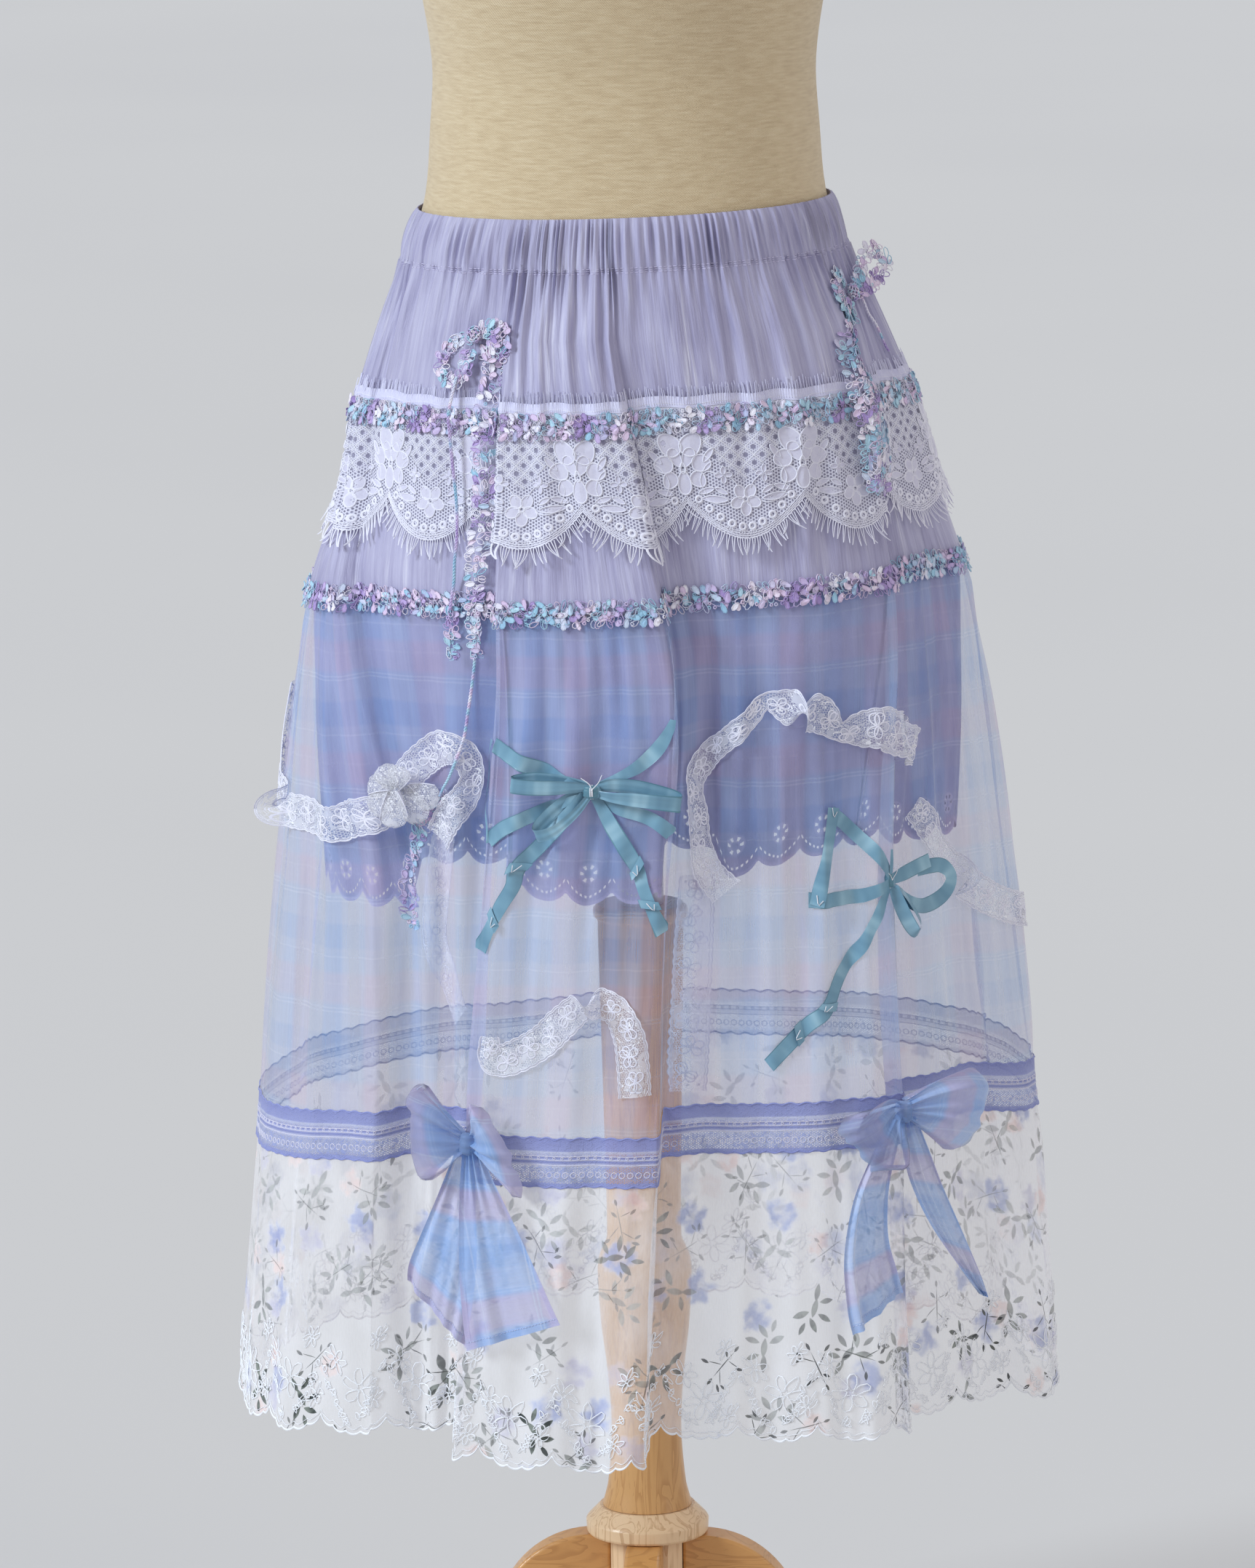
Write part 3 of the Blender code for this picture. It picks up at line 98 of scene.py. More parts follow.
# Lines round the skirt: height at the front, tilt in mm for each metre to the right,
# share of the folds' rise.
LINES = {
    "waist_top": (1.0575, 27, 0.0),
    "waist": (1.0245, 27, 0.0),
    "heading": (0.9405, 25, 0.10),
    "sheer_seam": (0.8145, 40, 0.30),
    "band_top": (0.4840, 30, 1.00),
    "band_bottom": (0.4540, 30, 1.00),
    "hem": (0.2650, 0, 1.00),
}
FIRST_SEAM_DROP = 10 * MM     # under the heading's edge
LINING_HEM_HEIGHT = 0.631
LINING_INSET = 27 * MM
LINING_FLATTEN = 0.4
LACE_PITCH = 75 * MM
LACE_SCALLOP = 24 * MM
LACE_NOTCH = 63 * MM          # from the heading down to the border between two scallops
HEM_PITCH = 52 * MM
HEM_SCALLOP = 12 * MM
LINING_PITCH = 34 * MM
LINING_SCALLOP = 9 * MM


def slopes(places, values):
    """Slope of a smooth curve at each place of a table."""
    inner = (values[..., 2:] - values[..., :-2]) / (places[2:] - places[:-2])
    first = (values[..., 1:2] - values[..., :1]) / (places[1] - places[0])
    last = (values[..., -1:] - values[..., -2:-1]) / (places[-1] - places[-2])
    return np.concatenate([first, inner, last], -1)


def smooth(places, values, x, row=None):
    """Smooth curve through a table at x; row picks a line of a table with several."""
    k = np.clip(np.searchsorted(places, x, side="right") - 1, 0, len(places) - 2)
    step = places[k + 1] - places[k]
    t = np.clip((x - places[k]) / step, 0, 1)
    tilt = slopes(places, values)
    if row is None:
        a, b, sa, sb = values[k], values[k + 1], tilt[k], tilt[k + 1]
    else:
        a, b, sa, sb = values[row, k], values[row, k + 1], tilt[row, k], tilt[row, k + 1]
    curve = (1 + 2 * t) * (1 - t) ** 2 * a + t * (1 - t) ** 2 * step * sa
    return curve + t * t * (3 - 2 * t) * b + t * t * (t - 1) * step * sb


def fold_value(values, u):
    """A fold table's value, eased between its rows, at fold place u."""
    row = np.floor(u).astype(int)
    eased = 0.5 - 0.5 * np.cos(np.pi * (u - row))
    here = values[row % ROWS]
    return here + (values[(row + 1) % ROWS] - here) * eased


def cloth_angle(u, z):
    """Angle round the skirt, in radians, at fold place u and height z."""
    u, drop = np.broadcast_arrays(u, WAIST_HEIGHT - z)
    row = np.floor(u).astype(int)
    turn, here = np.divmod(row, ROWS)
    after_turn, after = np.divmod(row + 1, ROWS)
    a = smooth(FOLD_DROPS, FOLD_ANGLES, drop, here) + 360 * turn
    b = smooth(FOLD_DROPS, FOLD_ANGLES, drop, after) + 360 * after_turn
    return np.radians(a + (b - a) * (u - row))


def plan(u, z, inset=0.0, flatten=0.0):
    """x and y of the cloth at fold place u and height z."""
    angle = cloth_angle(u, z)
    drop = WAIST_HEIGHT - z
    fold = fold_value(FOLD_OUT, u) * smooth(DROPS, SHARES, drop) * (1 - flatten) - inset
    x = smooth(DROPS, SHIFTS, drop) + (smooth(DROPS, WIDTHS, drop) + fold) * np.sin(angle)
    return x, -(smooth(DROPS, DEPTHS, drop) + fold) * np.cos(angle)


def line(name, u, lift=0.0):
    """Height of a named line at fold place u."""
    height, tilt, share = LINES[name]
    x = plan(u, height)[0]
    return height + tilt * MM * x + fold_value(FOLD_RISE, u) * share + lift


class Arc:
    """Running length round the cloth at one height, and the fold place it stands for."""

    def __init__(self, z):
        self.u = np.linspace(0, ROWS, ROWS * 60 + 1)
        x, y = plan(self.u, z)
        steps = np.hypot(np.diff(x), np.diff(y))
        self.s = np.concatenate([[0.0], np.cumsum(steps)])
        self.length = self.s[-1]

    def place(self, s):
        turn, rest = np.divmod(s, self.length)
        return np.interp(rest, self.s, self.u) + ROWS * turn

    def run(self, u):
        turn, rest = np.divmod(u, ROWS)
        return np.interp(rest, self.u, self.s) + self.length * turn


MAIN = Arc(0.70)
NORMAL_REACH = 1.8 * MM


def step(x, low, high):
    """Soft step from 0 at low to 1 at high."""
    t = np.clip((x - low) / (high - low), 0, 1)
    return t * t * (3 - 2 * t)


RIPPLE_TERMS = 22


def ripple(s, z, low, high, seed, drift):
    """Uneven waves, about -1 to 1, of low to high turns round the skirt, that drift with height."""
    rng = np.random.default_rng(seed)
    total = 0.0
    for _ in range(RIPPLE_TERMS):
        turns = int(rng.integers(low, high))
        phase = rng.uniform(0, 2 * np.pi)
        total = total + np.cos(2 * np.pi * turns * s / MAIN.length + phase + rng.normal(0, drift) * z)
    return total / math.sqrt(RIPPLE_TERMS) / 1.15


# Ripples of the cloth, from the waist down: fewest and most turns, seed, drift with height
GATHERS = (170, 330, 3, 30)
TUCKS = (60, 130, 4, 20)
YOKE_FOLDS = (24, 64, 5, 12)
FLOUNCE_WAVES = (18, 48, 21, 1.0)
SEAM_TUCKS = (55, 120, 7, 16)
SOFT_FOLDS = (16, 44, 11, 9)
CRINKLES = (50, 110, 13, 22)
BAND_PUFF = 0.033             # height over which the waistband puffs out between its seams


def crease(u, z):
    """How far gathers and creases stand out from the plain cloth, in metres."""
    s = MAIN.run(u)
    waist, seam, band = (line(name, u) for name in ("waist", "sheer_seam", "band_top"))
    fine, middle = ripple(s, z, *GATHERS), ripple(s, z, *TUCKS)
    puff = np.sin(np.pi * np.clip((z - waist) / BAND_PUFF, 0, 1)) ** 0.6
    waistband = (0.5 + 0.9 * fine + 0.8 * middle) * (0.5 + puff) + 1.4 * puff
    below = (0.35 + 1.0 * fine) * np.exp(-(waist - z) / 0.020)
    below = below + 2.1 * middle * np.exp(-(waist - z) / 0.070)
    out = np.where(z > waist, waistband, below)
    yoke = step(z, waist, waist - 0.03) * step(z, seam + 0.005, seam + 0.04)
    out = out + 1.7 * ripple(s, z, *YOKE_FOLDS) * yoke
    near = step(z, seam - 0.002, seam - 0.022) * np.exp(-np.clip(seam - z, 0, 1) / 0.075)
    out = out + 1.5 * (0.3 + ripple(s, z, *SEAM_TUCKS)) * near
    fall = step(z, seam - 0.01, seam - 0.10)
    tied = 1 - 0.72 * np.exp(-((z - band + 0.015) / 0.035) ** 2)
    out = out + 3.2 * ripple(s, z, *SOFT_FOLDS) * fall * tied
    out = out + 0.7 * ripple(s, z, *CRINKLES) * fall * tied
    return out * MM


def skin(arc, s, z, out=0.0, inset=0.0, flatten=0.0, creased=1.0):
    """Points of a layer at running length s and height z, and their outward directions."""
    s, z = np.broadcast_arrays(np.asarray(s, float), np.asarray(z, float))
    u = arc.place(s)
    x, y = plan(u, z, inset, flatten)
    xa, ya = plan(arc.place(s + NORMAL_REACH), z, inset, flatten)
    xb, yb = plan(arc.place(s - NORMAL_REACH), z, inset, flatten)
    length = np.hypot(xa - xb, ya - yb)
    nx, ny = (ya - yb) / length, -(xa - xb) / length
    out = out + crease(u, z) * creased
    points = np.stack([x + nx * out, y + ny * out, z], -1)
    return points, np.stack([nx, ny, np.zeros_like(nx)], -1)


# Meshes

def added(name, data):
    """Object in the scene for a mesh, a light or a camera."""
    obj = bpy.data.objects.new(name, data)
    bpy.context.scene.collection.objects.link(obj)
    return obj


def mesh_object(name, points, quads, material, uv=None, tones=None):
    """Mesh object from arrays of points and quads."""
    mesh = bpy.data.meshes.new(name)
    mesh.vertices.add(len(points))
    mesh.vertices.foreach_set("co", points.astype(np.float32).ravel())
    mesh.loops.add(quads.size)
    mesh.loops.foreach_set("vertex_index", quads.astype(np.int32).ravel())
    mesh.polygons.add(len(quads))
    mesh.polygons.foreach_set("loop_start", np.arange(0, quads.size, 4, dtype=np.int32))
    mesh.update(calc_edges=True)
    if uv is not None:
        mesh.uv_layers.new(name="cloth").data.foreach_set("uv", uv.astype(np.float32).ravel())
    if tones is not None:
        attribute = mesh.attributes.new("tone", "FLOAT", "POINT")
        attribute.data.foreach_set("value", tones.astype(np.float32))
    mesh.materials.append(material)
    mesh.shade_smooth()
    return added(name, mesh)


def corners(index):
    """Quads of a grid of numbers, rows down and columns to the right."""
    return np.stack([index[..., :-1, :-1], index[..., 1:, :-1], index[..., 1:, 1:],
                     index[..., :-1, 1:]], -1).reshape(-1, 4)


def grid_object(name, points, uv, material, wrap=False):
    """One sheet of cloth from a grid of points, rows down; uv is in metres."""
    rows, columns = points.shape[:2]
    index = np.arange(rows * columns).reshape(rows, columns)
    if wrap:
        index = np.concatenate([index, index[:, :1]], 1)
    uv_index = np.arange(uv.shape[0] * uv.shape[1]).reshape(uv.shape[:2])
    return mesh_object(name, points.reshape(-1, 3), corners(index), material,
                       uv.reshape(-1, 2)[corners(uv_index)])


def paired(a, b):
    """Two values side by side, spread over each other's shape."""
    return np.stack(np.broadcast_arrays(a, b), -1)


def joined_sheets(name, sheets, material):
    """Several sheets of one cloth as one mesh, each a grid of points and a grid of uv."""
    quads, count = [], 0
    for points, _ in sheets:
        rows, columns = points.shape[:2]
        quads.append(corners(np.arange(rows * columns).reshape(rows, columns)) + count)
        count += rows * columns
    quads = np.concatenate(quads)
    points = np.concatenate([points.reshape(-1, 3) for points, _ in sheets])
    uv = np.concatenate([uv.reshape(-1, 2) for _, uv in sheets])
    return mesh_object(name, points, quads, material, uv[quads])


def tangents(paths, closed):
    """Direction of each path (count, m, ...) at its points."""
    return np.roll(paths, -1, 1) - np.roll(paths, 1, 1) if closed else np.gradient(paths, axis=1)


class Bundle:
    """Many small strands and patches that become one mesh."""

    def __init__(self):
        self.points, self.quads, self.tones, self.count = [], [], [], 0

    def grids(self, points, along=False, across=False, tone=0.5):
        """Grids (count, m, n, 3), closed along or across where asked."""
        count, m, n, _ = points.shape
        index = np.arange(count * m * n).reshape(count, m, n) + self.count
        if along:
            index = np.concatenate([index, index[:, :1]], 1)
        if across:
            index = np.concatenate([index, index[:, :, :1]], 2)
        self.quads.append(corners(index))
        self.points.append(points.reshape(-1, 3))
        tone = np.asarray(tone, float)
        tone = tone[..., None] if tone.ndim == 2 else tone.reshape(-1, 1, 1)
        self.tones.append(np.broadcast_to(tone, (count, m, n)).ravel())
        self.count += count * m * n

    def tubes(self, paths, normals, radius, sides=3, closed=False, tone=0.5):
        """Round strands along paths (count, m, 3)."""
        tangent = tangents(paths, closed)
        side = unit(np.cross(tangent, normals))
        up = unit(np.cross(side, tangent))
        turn = (2 * np.pi * np.arange(sides) / sides + np.pi / 2)[None, None, :, None]
        radius = np.asarray(radius)
        radius = radius.reshape(radius.shape + (1,) * (4 - radius.ndim)) if radius.ndim else radius
        ring = side[:, :, None] * np.cos(turn) + up[:, :, None] * np.sin(turn)
        self.grids(paths[:, :, None] + ring * radius, closed, True, tone)

    def cords(self, surface, paths, width, height, lift, closed=False):
        """Low rounded cords along paths (count, m, 2) of a surface."""
        tangent = unit(tangents(paths, closed))
        side = np.stack([-tangent[..., 1], tangent[..., 0]], -1)
        half = np.asarray(width) / 2
        half = half[..., None] if half.ndim else half
        rows = []
        for sign, up in ((1, 0.0), (0, height), (-1, 0.0)):
            place = paths + side * half * sign
            rows.append(surface(place[..., 0], place[..., 1], lift + up))
        self.grids(np.stack(rows, 2), closed)

    def make(self, name, material, slot, *nodes):
        """The finished piece."""
        points, quads, tones = (np.concatenate(lot) for lot in (self.points, self.quads, self.tones))
        return dress(mesh_object(name, points, quads, material, tones=tones), slot, *nodes)


def unit(v):
    """Vectors scaled to length 1."""
    return v / np.maximum(np.linalg.norm(v, axis=-1, keepdims=True), 1e-9)


def dress(obj, slot, node=None):
    """Places a finished piece on the part, over the CAD node that it stands for."""
    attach(obj, "root")
    if node:
        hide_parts(node)
    return obj


# Materials

def linear(colour):
    """Node colour of an 8-bit display colour, or of one plain level."""
    if not isinstance(colour, tuple):
        return colour, colour, colour, 1.0
    shares = [channel / 255 for channel in colour]
    return (*(s / 12.92 if s <= 0.04045 else ((s + 0.055) / 1.055) ** 2.4 for s in shares), 1.0)


class Value:
    """A value that the nodes of a look work out, for plain arithmetic with others."""

    def __init__(self, look, socket):
        self.look, self.socket = look, socket

    def __add__(self, other):
        return self.look.math("ADD", self, other)

    def __sub__(self, other):
        return self.look.math("SUBTRACT", self, other)

    def __rsub__(self, other):
        return self.look.math("SUBTRACT", other, self)

    def __mul__(self, other):
        return self.look.math("MULTIPLY", self, other)

    def __truediv__(self, other):
        return self.look.math("DIVIDE", self, other)

    def __mod__(self, other):
        return self.look.math("FLOORED_MODULO", self, other)

    def __abs__(self):
        return self.look.math("ABSOLUTE", self)

    def larger(self, other):
        return self.look.math("MAXIMUM", self, other)

    def smaller(self, other):
        return self.look.math("MINIMUM", self, other)

    def sine(self):
        return self.look.math("SINE", self)

    def cosine(self):
        return self.look.math("COSINE", self)

    def root(self):
        return self.look.math("SQRT", self)

    def angle(self, run):
        """Angle of a slope that rises by this value over the run."""
        return self.look.math("ARCTAN2", self, run)

    def clamped(self):
        return self.look.math("ADD", self, 0.0, clamp=True)

    def step(self, low, high, to_low=0.0, to_high=1.0):
        """Soft step between two values."""
        inputs = {0: self, 1: low, 2: high, 3: to_low, 4: to_high}
        return self.look.value("MapRange", inputs, interpolation_type="SMOOTHSTEP")

    def output(self, key):
        """Another output of the same node."""
        return Value(self.look, self.socket.node.outputs[key])


class Look:
    """A Principled material with short ways to add nodes."""

    def __init__(self, name, roughness=0.7, sheen=0.0, specular=0.3, metallic=0.0):
        self.material = bpy.data.materials.new(name)
        self.material.use_nodes = True
        self.tree = self.material.node_tree
        self.shader = self.tree.nodes["Principled BSDF"]
        self.set("Roughness", roughness)
        self.set("Sheen Weight", sheen)
        self.set("Specular IOR Level", specular)
        self.set("Metallic", metallic)

    def feed(self, socket, value):
        if isinstance(value, Value):
            self.tree.links.new(value.socket, socket)
        else:
            socket.default_value = value

    def set(self, key, value):
        """Sets or links one input of the shader."""
        self.feed(self.shader.inputs[key], value)

    def value(self, kind, inputs=None, output=0, **settings):
        """One output of a new node."""
        made = self.tree.nodes.new("ShaderNode" + kind)
        for key, setting in settings.items():
            setattr(made, key, setting)
        for key, given in (inputs or {}).items():
            self.feed(made.inputs[key], given)
        return Value(self, made.outputs[output])

    def math(self, operation, *values, clamp=False):
        return self.value("Math", dict(enumerate(values)), operation=operation, use_clamp=clamp)

    def tint(self, colour):
        return colour if isinstance(colour, Value) else linear(colour)

    def mix(self, share, a, b):
        """Colour a turned into b by a share."""
        inputs = {0: share, 6: self.tint(a), 7: self.tint(b)}
        return self.value("Mix", inputs, 2, data_type="RGBA")

    def ramp(self, value, stops):
        """Colours, or plain levels, between stops."""
        made = self.value("ValToRGB", {0: value})
        elements = made.socket.node.color_ramp.elements
        while len(elements) < len(stops):
            elements.new(0.5)
        for element, (place, colour) in zip(elements, stops):
            element.position = place
            element.color = linear(colour)
        return made

    def split(self, kind, vector):
        """The three parts of a vector or a colour."""
        first = self.value(kind, {0: vector})
        return [first.output(k) for k in range(3)]

    def coordinates(self):
        """Place on the cloth, and its u and v, in metres."""
        uv = self.value("UVMap")
        u, v, _ = self.split("SeparateXYZ", uv)
        return uv, u, v

    def place(self):
        """Place in the object's own space, in metres."""
        return self.value("TexCoord", output="Object")

    def scaled(self, vector, x, y, z=1.0):
        return self.value("Mapping", {0: vector, 3: (x, y, z)})

    def noise(self, vector, scale, detail=2.0, roughness=0.5, distortion=0.0):
        inputs = {"Vector": vector, "Scale": scale, "Detail": detail, "Roughness": roughness,
                  "Distortion": distortion}
        return self.value("TexNoise", inputs)

    def bump(self, height, strength, distance):
        inputs = {"Height": height, "Strength": strength, "Distance": distance}
        self.set("Normal", self.value("Bump", inputs))

    def colour(self, value):
        self.set("Base Color", self.tint(value))

    def alpha(self, value):
        self.set("Alpha", value)

    def inside(self, share):
        """1 on the outer face of a cloth, and the given share on its inner face."""
        return self.value("NewGeometry", output="Backfacing") * (share - 1) + 1.0


def net(u, v, pitch):
    """High in round holes set as in a honeycomb, low on the threads between."""
    k = 4 * math.pi / (math.sqrt(3) * pitch)
    x, y = u * k, v * (k * math.sqrt(3) / 2)
    half = x * -0.5
    return x.cosine() + (half + y).cosine() + (half - y).cosine()


def chiffon_look():
    """Lavender-grey crinkle chiffon with a pearly shimmer painted into its colour as highlight, and painted
    shade in its crinkles.
    """
    look = Look("crinkle_chiffon", roughness=0.42, sheen=0.35, specular=0.4)
    uv = look.coordinates()[0]
    fine = look.noise(look.scaled(uv, 1.0, 0.035), 620, 3, 0.6)
    crinkle = look.noise(look.scaled(uv, 1.0, 0.06), 260, 4, 0.65, 0.3)
    streak = look.noise(look.scaled(uv, 1.0, 0.10), 95, 3, 0.6)
    # Painted shade: the tone runs from a shaded lilac-grey to a lit pale lilac with the crinkle noise that
    # also raises the bump, so crinkle hollows are painted darker; the cloud noise adds random tone.
    tint = look.ramp(look.noise(uv, 14, 2) * 0.4 + crinkle * 0.6, (
        (0.30, (136, 132, 166)), (0.46, (163, 159, 191)), (0.60, (180, 177, 206)), (0.80, (197, 195, 217))))
    # Shimmer streaks: the lower roughness there is real gloss; lightening the colour towards pale lilac-white
    # is a painted highlight.
    gloss_and_painted_shine = streak.step(0.52, 0.72) * fine.step(0.35, 0.7)
    look.colour(look.mix(gloss_and_painted_shine * 0.7, tint, (222, 220, 234)))
    look.set("Roughness", gloss_and_painted_shine * -0.16 + 0.5)
    look.bump(fine * 0.45 + crinkle, 0.55, 0.0016)
    return look.material


PLAID_PERIOD = 70.5 * MM
# Fine lines of the check: place in the period and half width in mm, strength
PLAID_LINES = ((20.6, 0.4, 0.9), (22.9, 0.4, 0.9), (56.0, 0.45, 0.6), (38.5, 0.6, 0.25))


def plaid(axis):
    """Fine white lines, and the share of pink and of blue, of one direction of the check."""
    place = axis % PLAID_PERIOD
    lines = [abs(place - centre * MM).step((half + 0.55) * MM, (half - 0.3) * MM, 0.0, strength)
             for centre, half, strength in PLAID_LINES]
    pink = place.step(23 * MM, 28 * MM) * place.step(48 * MM, 43 * MM)
    blue = place.step(8 * MM, 5 * MM) + place.step(60 * MM, 63 * MM)
    return reduce(Value.__add__, lines), pink, blue


def plaid_colour(look, uv, u, v, contrast):
    """Soft blue, lilac and pink check, and its white lines."""
    wander = look.noise(uv, 9, 1) * (9 * MM) - 4.5 * MM
    lines_v, pink_v, blue_v = plaid(v + wander)
    lines_u, pink_u, blue_u = plaid(u + wander)
    pink = ((pink_v + pink_u) * (0.36 * contrast) + 0.02).clamped()
    blue = ((blue_v + blue_u) * 0.45 + 0.08).clamped()
    base = look.mix(blue, (178, 196, 234), (136, 174, 230))
    base = look.mix(pink, base, (208, 184, 212))
    lines = (lines_u * 0.35 + lines_v).clamped()
    return look.mix(lines * (0.24 * contrast), base, (222, 226, 240)), lines


def organza_look(name, least, most, bluer=0.0, contrast=1.0):
    """Sheer checked organza; least and most are how much of the view it covers."""
    look = Look(name, roughness=0.5, sheen=0.5, specular=0.35)
    uv, u, v = look.coordinates()
    colour, lines = plaid_colour(look, uv, u, v, contrast)
    look.colour(look.mix(bluer, colour, (122, 164, 216)))
    thread = look.noise(look.scaled(uv, 1.0, 0.05), 700, 2)
    streak = look.noise(look.scaled(uv, 1.0, 0.08), 60, 3)
    cover = streak.step(0.35, 0.7) * (most - least) + least + lines * 0.05 + thread * 0.10
    look.alpha(cover.clamped() * look.inside(0.6))
    look.bump(streak * 2.0 + thread, 0.25, 0.0008)
    return look.material


EYELET_HEIGHT = 21 * MM       # over the lining's hem


def lining_look():
    """Matt purple cotton with eyelets over its scalloped hem; v counts up from the hem."""
    look = Look("lining_cotton", roughness=0.9, sheen=0.3, specular=0.15)
    uv, u, v = look.coordinates()
    cell = u % LINING_PITCH - LINING_PITCH / 2
    high = v - EYELET_HEIGHT
    petal = (high.angle(cell) * 6).cosine()
    ring = abs((cell * cell + high * high).root() - 4.6 * MM)
    hole = ring.step(1.5 * MM, 1.1 * MM) * petal.step(0.15, 0.4)
    arch = abs(v - (abs(cell) * 0.22 + 5.5 * MM))
    dot = abs(u % (3.4 * MM) - 1.7 * MM).step(1.0 * MM, 0.6 * MM) * arch.step(1.0 * MM, 0.6 * MM)
    look.alpha(1.0 - hole.larger(dot))
    rim = ring.step(3.2 * MM, 1.6 * MM) * v.step(46 * MM, 34 * MM)
    stitched = rim.larger(v.step(3.4 * MM, 1.2 * MM))
    tint = look.ramp(look.noise(uv, 30, 3), ((0.3, (128, 127, 170)), (0.7, (147, 147, 189))))
    look.colour(look.mix(stitched * 0.6, tint, (178, 171, 208)))
    look.bump(look.noise(uv, 900, 2) + stitched, 0.3, 0.0006)
    return look.material


BAND_HEIGHT = 30 * MM


def band_look():
    """Periwinkle insertion lace: dense scalloped head, ladder lines and a net border."""
    look = Look("insertion_lace", roughness=0.75, sheen=0.2, specular=0.2)
    uv, u, v = look.coordinates()
    wave = abs((u * (math.pi / (8 * MM))).sine())
    place = v * -1.0 / BAND_HEIGHT
    holes = net(u, v, 1.5 * MM).step(0.1, 0.9)
    motif = look.noise(look.scaled(uv, 1.0, 1.4), 260, 2, 0.6, 1.0)
    solid = motif.step(0.5, 0.58)
    dense = place.step(0.30, 0.25) * (place + wave * 0.05).step(0.03, 0.06)
    colour = look.ramp(place, (
        (0.0, (130, 136, 192)), (0.27, (146, 152, 204)), (0.30, (196, 200, 226)), (0.36, (164, 170, 214)),
        (0.42, (116, 124, 186)), (0.46, (186, 190, 222)), (0.52, (116, 124, 186)), (0.58, (200, 203, 228)),
        (0.64, (150, 162, 212)), (0.90, (148, 160, 210)), (0.95, (140, 148, 200))))
    colour = look.mix(motif * 0.35, colour, (150, 156, 206))
    # Painted light: the inner face, seen across the shaded back half of the skirt, is painted paler than the
    # outer face.
    look.colour(look.mix(look.inside(0.45), (190, 196, 222), colour))
    rails = look.ramp(place, ((0.0, 1), (0.28, 1), (0.33, 0.75), (0.37, 0.2), (0.42, 1), (0.53, 1),
                              (0.58, 0.9), (0.62, 0), (0.955, 0), (0.97, 1)))
    filled = (holes * -0.66 + 0.80).larger(solid * 0.85).larger(rails * 0.94).larger(dense * 0.60)
    look.alpha(filled * look.inside(0.65))
    look.bump(solid * 0.8 + (1.0 - holes), 0.5, 0.0007)
    return look.material


def turned_cell(look, uv, pitch, seed, spread=0.75):
    """x and y in metres about scattered centres, each turned its own way, and a random share."""
    shifted = look.value("VectorMath", {0: uv, 1: (seed, seed * 0.7, 0.0)}, operation="ADD")
    inputs = {"Vector": shifted, "Scale": 1 / pitch, "Randomness": spread}
    centre = look.value("TexVoronoi", inputs, "Position", voronoi_dimensions="2D")
    offset = look.value("VectorMath", {0: shifted, 1: centre}, operation="SUBTRACT")
    turn, chance, _ = look.split("SeparateColor", centre.output("Color"))
    inputs = {"Vector": offset, "Angle": turn * (2 * math.pi)}
    x, y, _ = look.split("SeparateXYZ", look.value("VectorRotate", inputs, rotation_type="Z_AXIS"))
    return x, y, chance


def leaf(x, y, centre, degrees, length, width, soft=0.25):
    """1 inside a leaf shape, from its centre, lean and size in mm."""
    c, s = math.cos(math.radians(degrees)), math.sin(math.radians(degrees))
    long, wide = length * MM / 2, width * MM / 2
    x, y = x - centre[0] * MM, y - centre[1] * MM
    along = abs(x * (c / long) + y * (s / long))
    across = abs(x * (-s / wide) + y * (c / wide))
    return (along * along + across).step(1.0, 1.0 - soft)


# Printed leaves, and a twig with buds: centre, lean in degrees, length and width in mm
LEAF_CLUSTER = (
    ((0.0, 0.0), 20, 14.0, 5.0), ((9.6, 5.6), 62, 12.0, 4.6), ((9.0, -5.4), -36, 13.0, 5.2),
    ((-8.6, 4.6), 132, 11.0, 4.2), ((-9.4, -4.4), 205, 13.0, 4.8), ((1.2, 9.8), 96, 12.0, 4.4),
    ((16.0, 0.6), 8, 10.0, 3.8),
)
TWIG = (
    ((0.0, 0.0), 12, 27.0, 0.9), ((7.4, 5.4), 58, 12.0, 0.8), ((5.2, -4.2), -42, 12.0, 0.8),
    ((-6.4, 3.6), 112, 9.0, 0.8), ((13.2, 10.6), 72, 6.4, 2.6), ((9.0, 12.0), 116, 5.6, 2.2),
    ((11.0, -9.4), -60, 6.6, 2.6), ((16.0, 3.6), 16, 6.4, 2.5), ((-7.6, 8.8), 128, 5.6, 2.3),
    ((-6.2, -4.4), -128, 6.0, 2.4), ((-14.0, -3.2), 196, 5.4, 2.2),
)
BLOSSOM_PETALS = 6
# Layers of sprigs: seed, pitch, shapes, dark and light tint
SPRIGS = (
    (0.31, 56 * MM, LEAF_CLUSTER, (46, 54, 52), (140, 147, 138)),
    (0.83, 54 * MM, TWIG, (40, 44, 52), (96, 98, 90)),
)
# Layers of blossoms: seed, pitch, size, inner and outer tint, strength
BLOSSOMS = (
    (2.77, 58 * MM, 17.0 * MM, (142, 138, 188), (196, 192, 220), 0.55),
    (2.11, 60 * MM, 15.0 * MM, (230, 172, 158), (244, 216, 208), 0.55),
    (1.37, 52 * MM, 19.0 * MM, (96, 116, 186), (172, 184, 222), 0.72),
)


def sprigs(look, uv, wash, lower, seed, pitch, shapes, dark, light):
    """Share and tint of one layer of printed sprigs."""
    x, y, chance = turned_cell(look, uv, pitch, seed)
    sprig = reduce(Value.larger, [leaf(x, y, *shape) for shape in shapes])
    tone = chance * 0.3 + wash.step(0.38, 0.62, 0.0, 0.75)
    return sprig * (lower * (chance * -0.35 + 1.0)), look.mix(tone, dark, light)


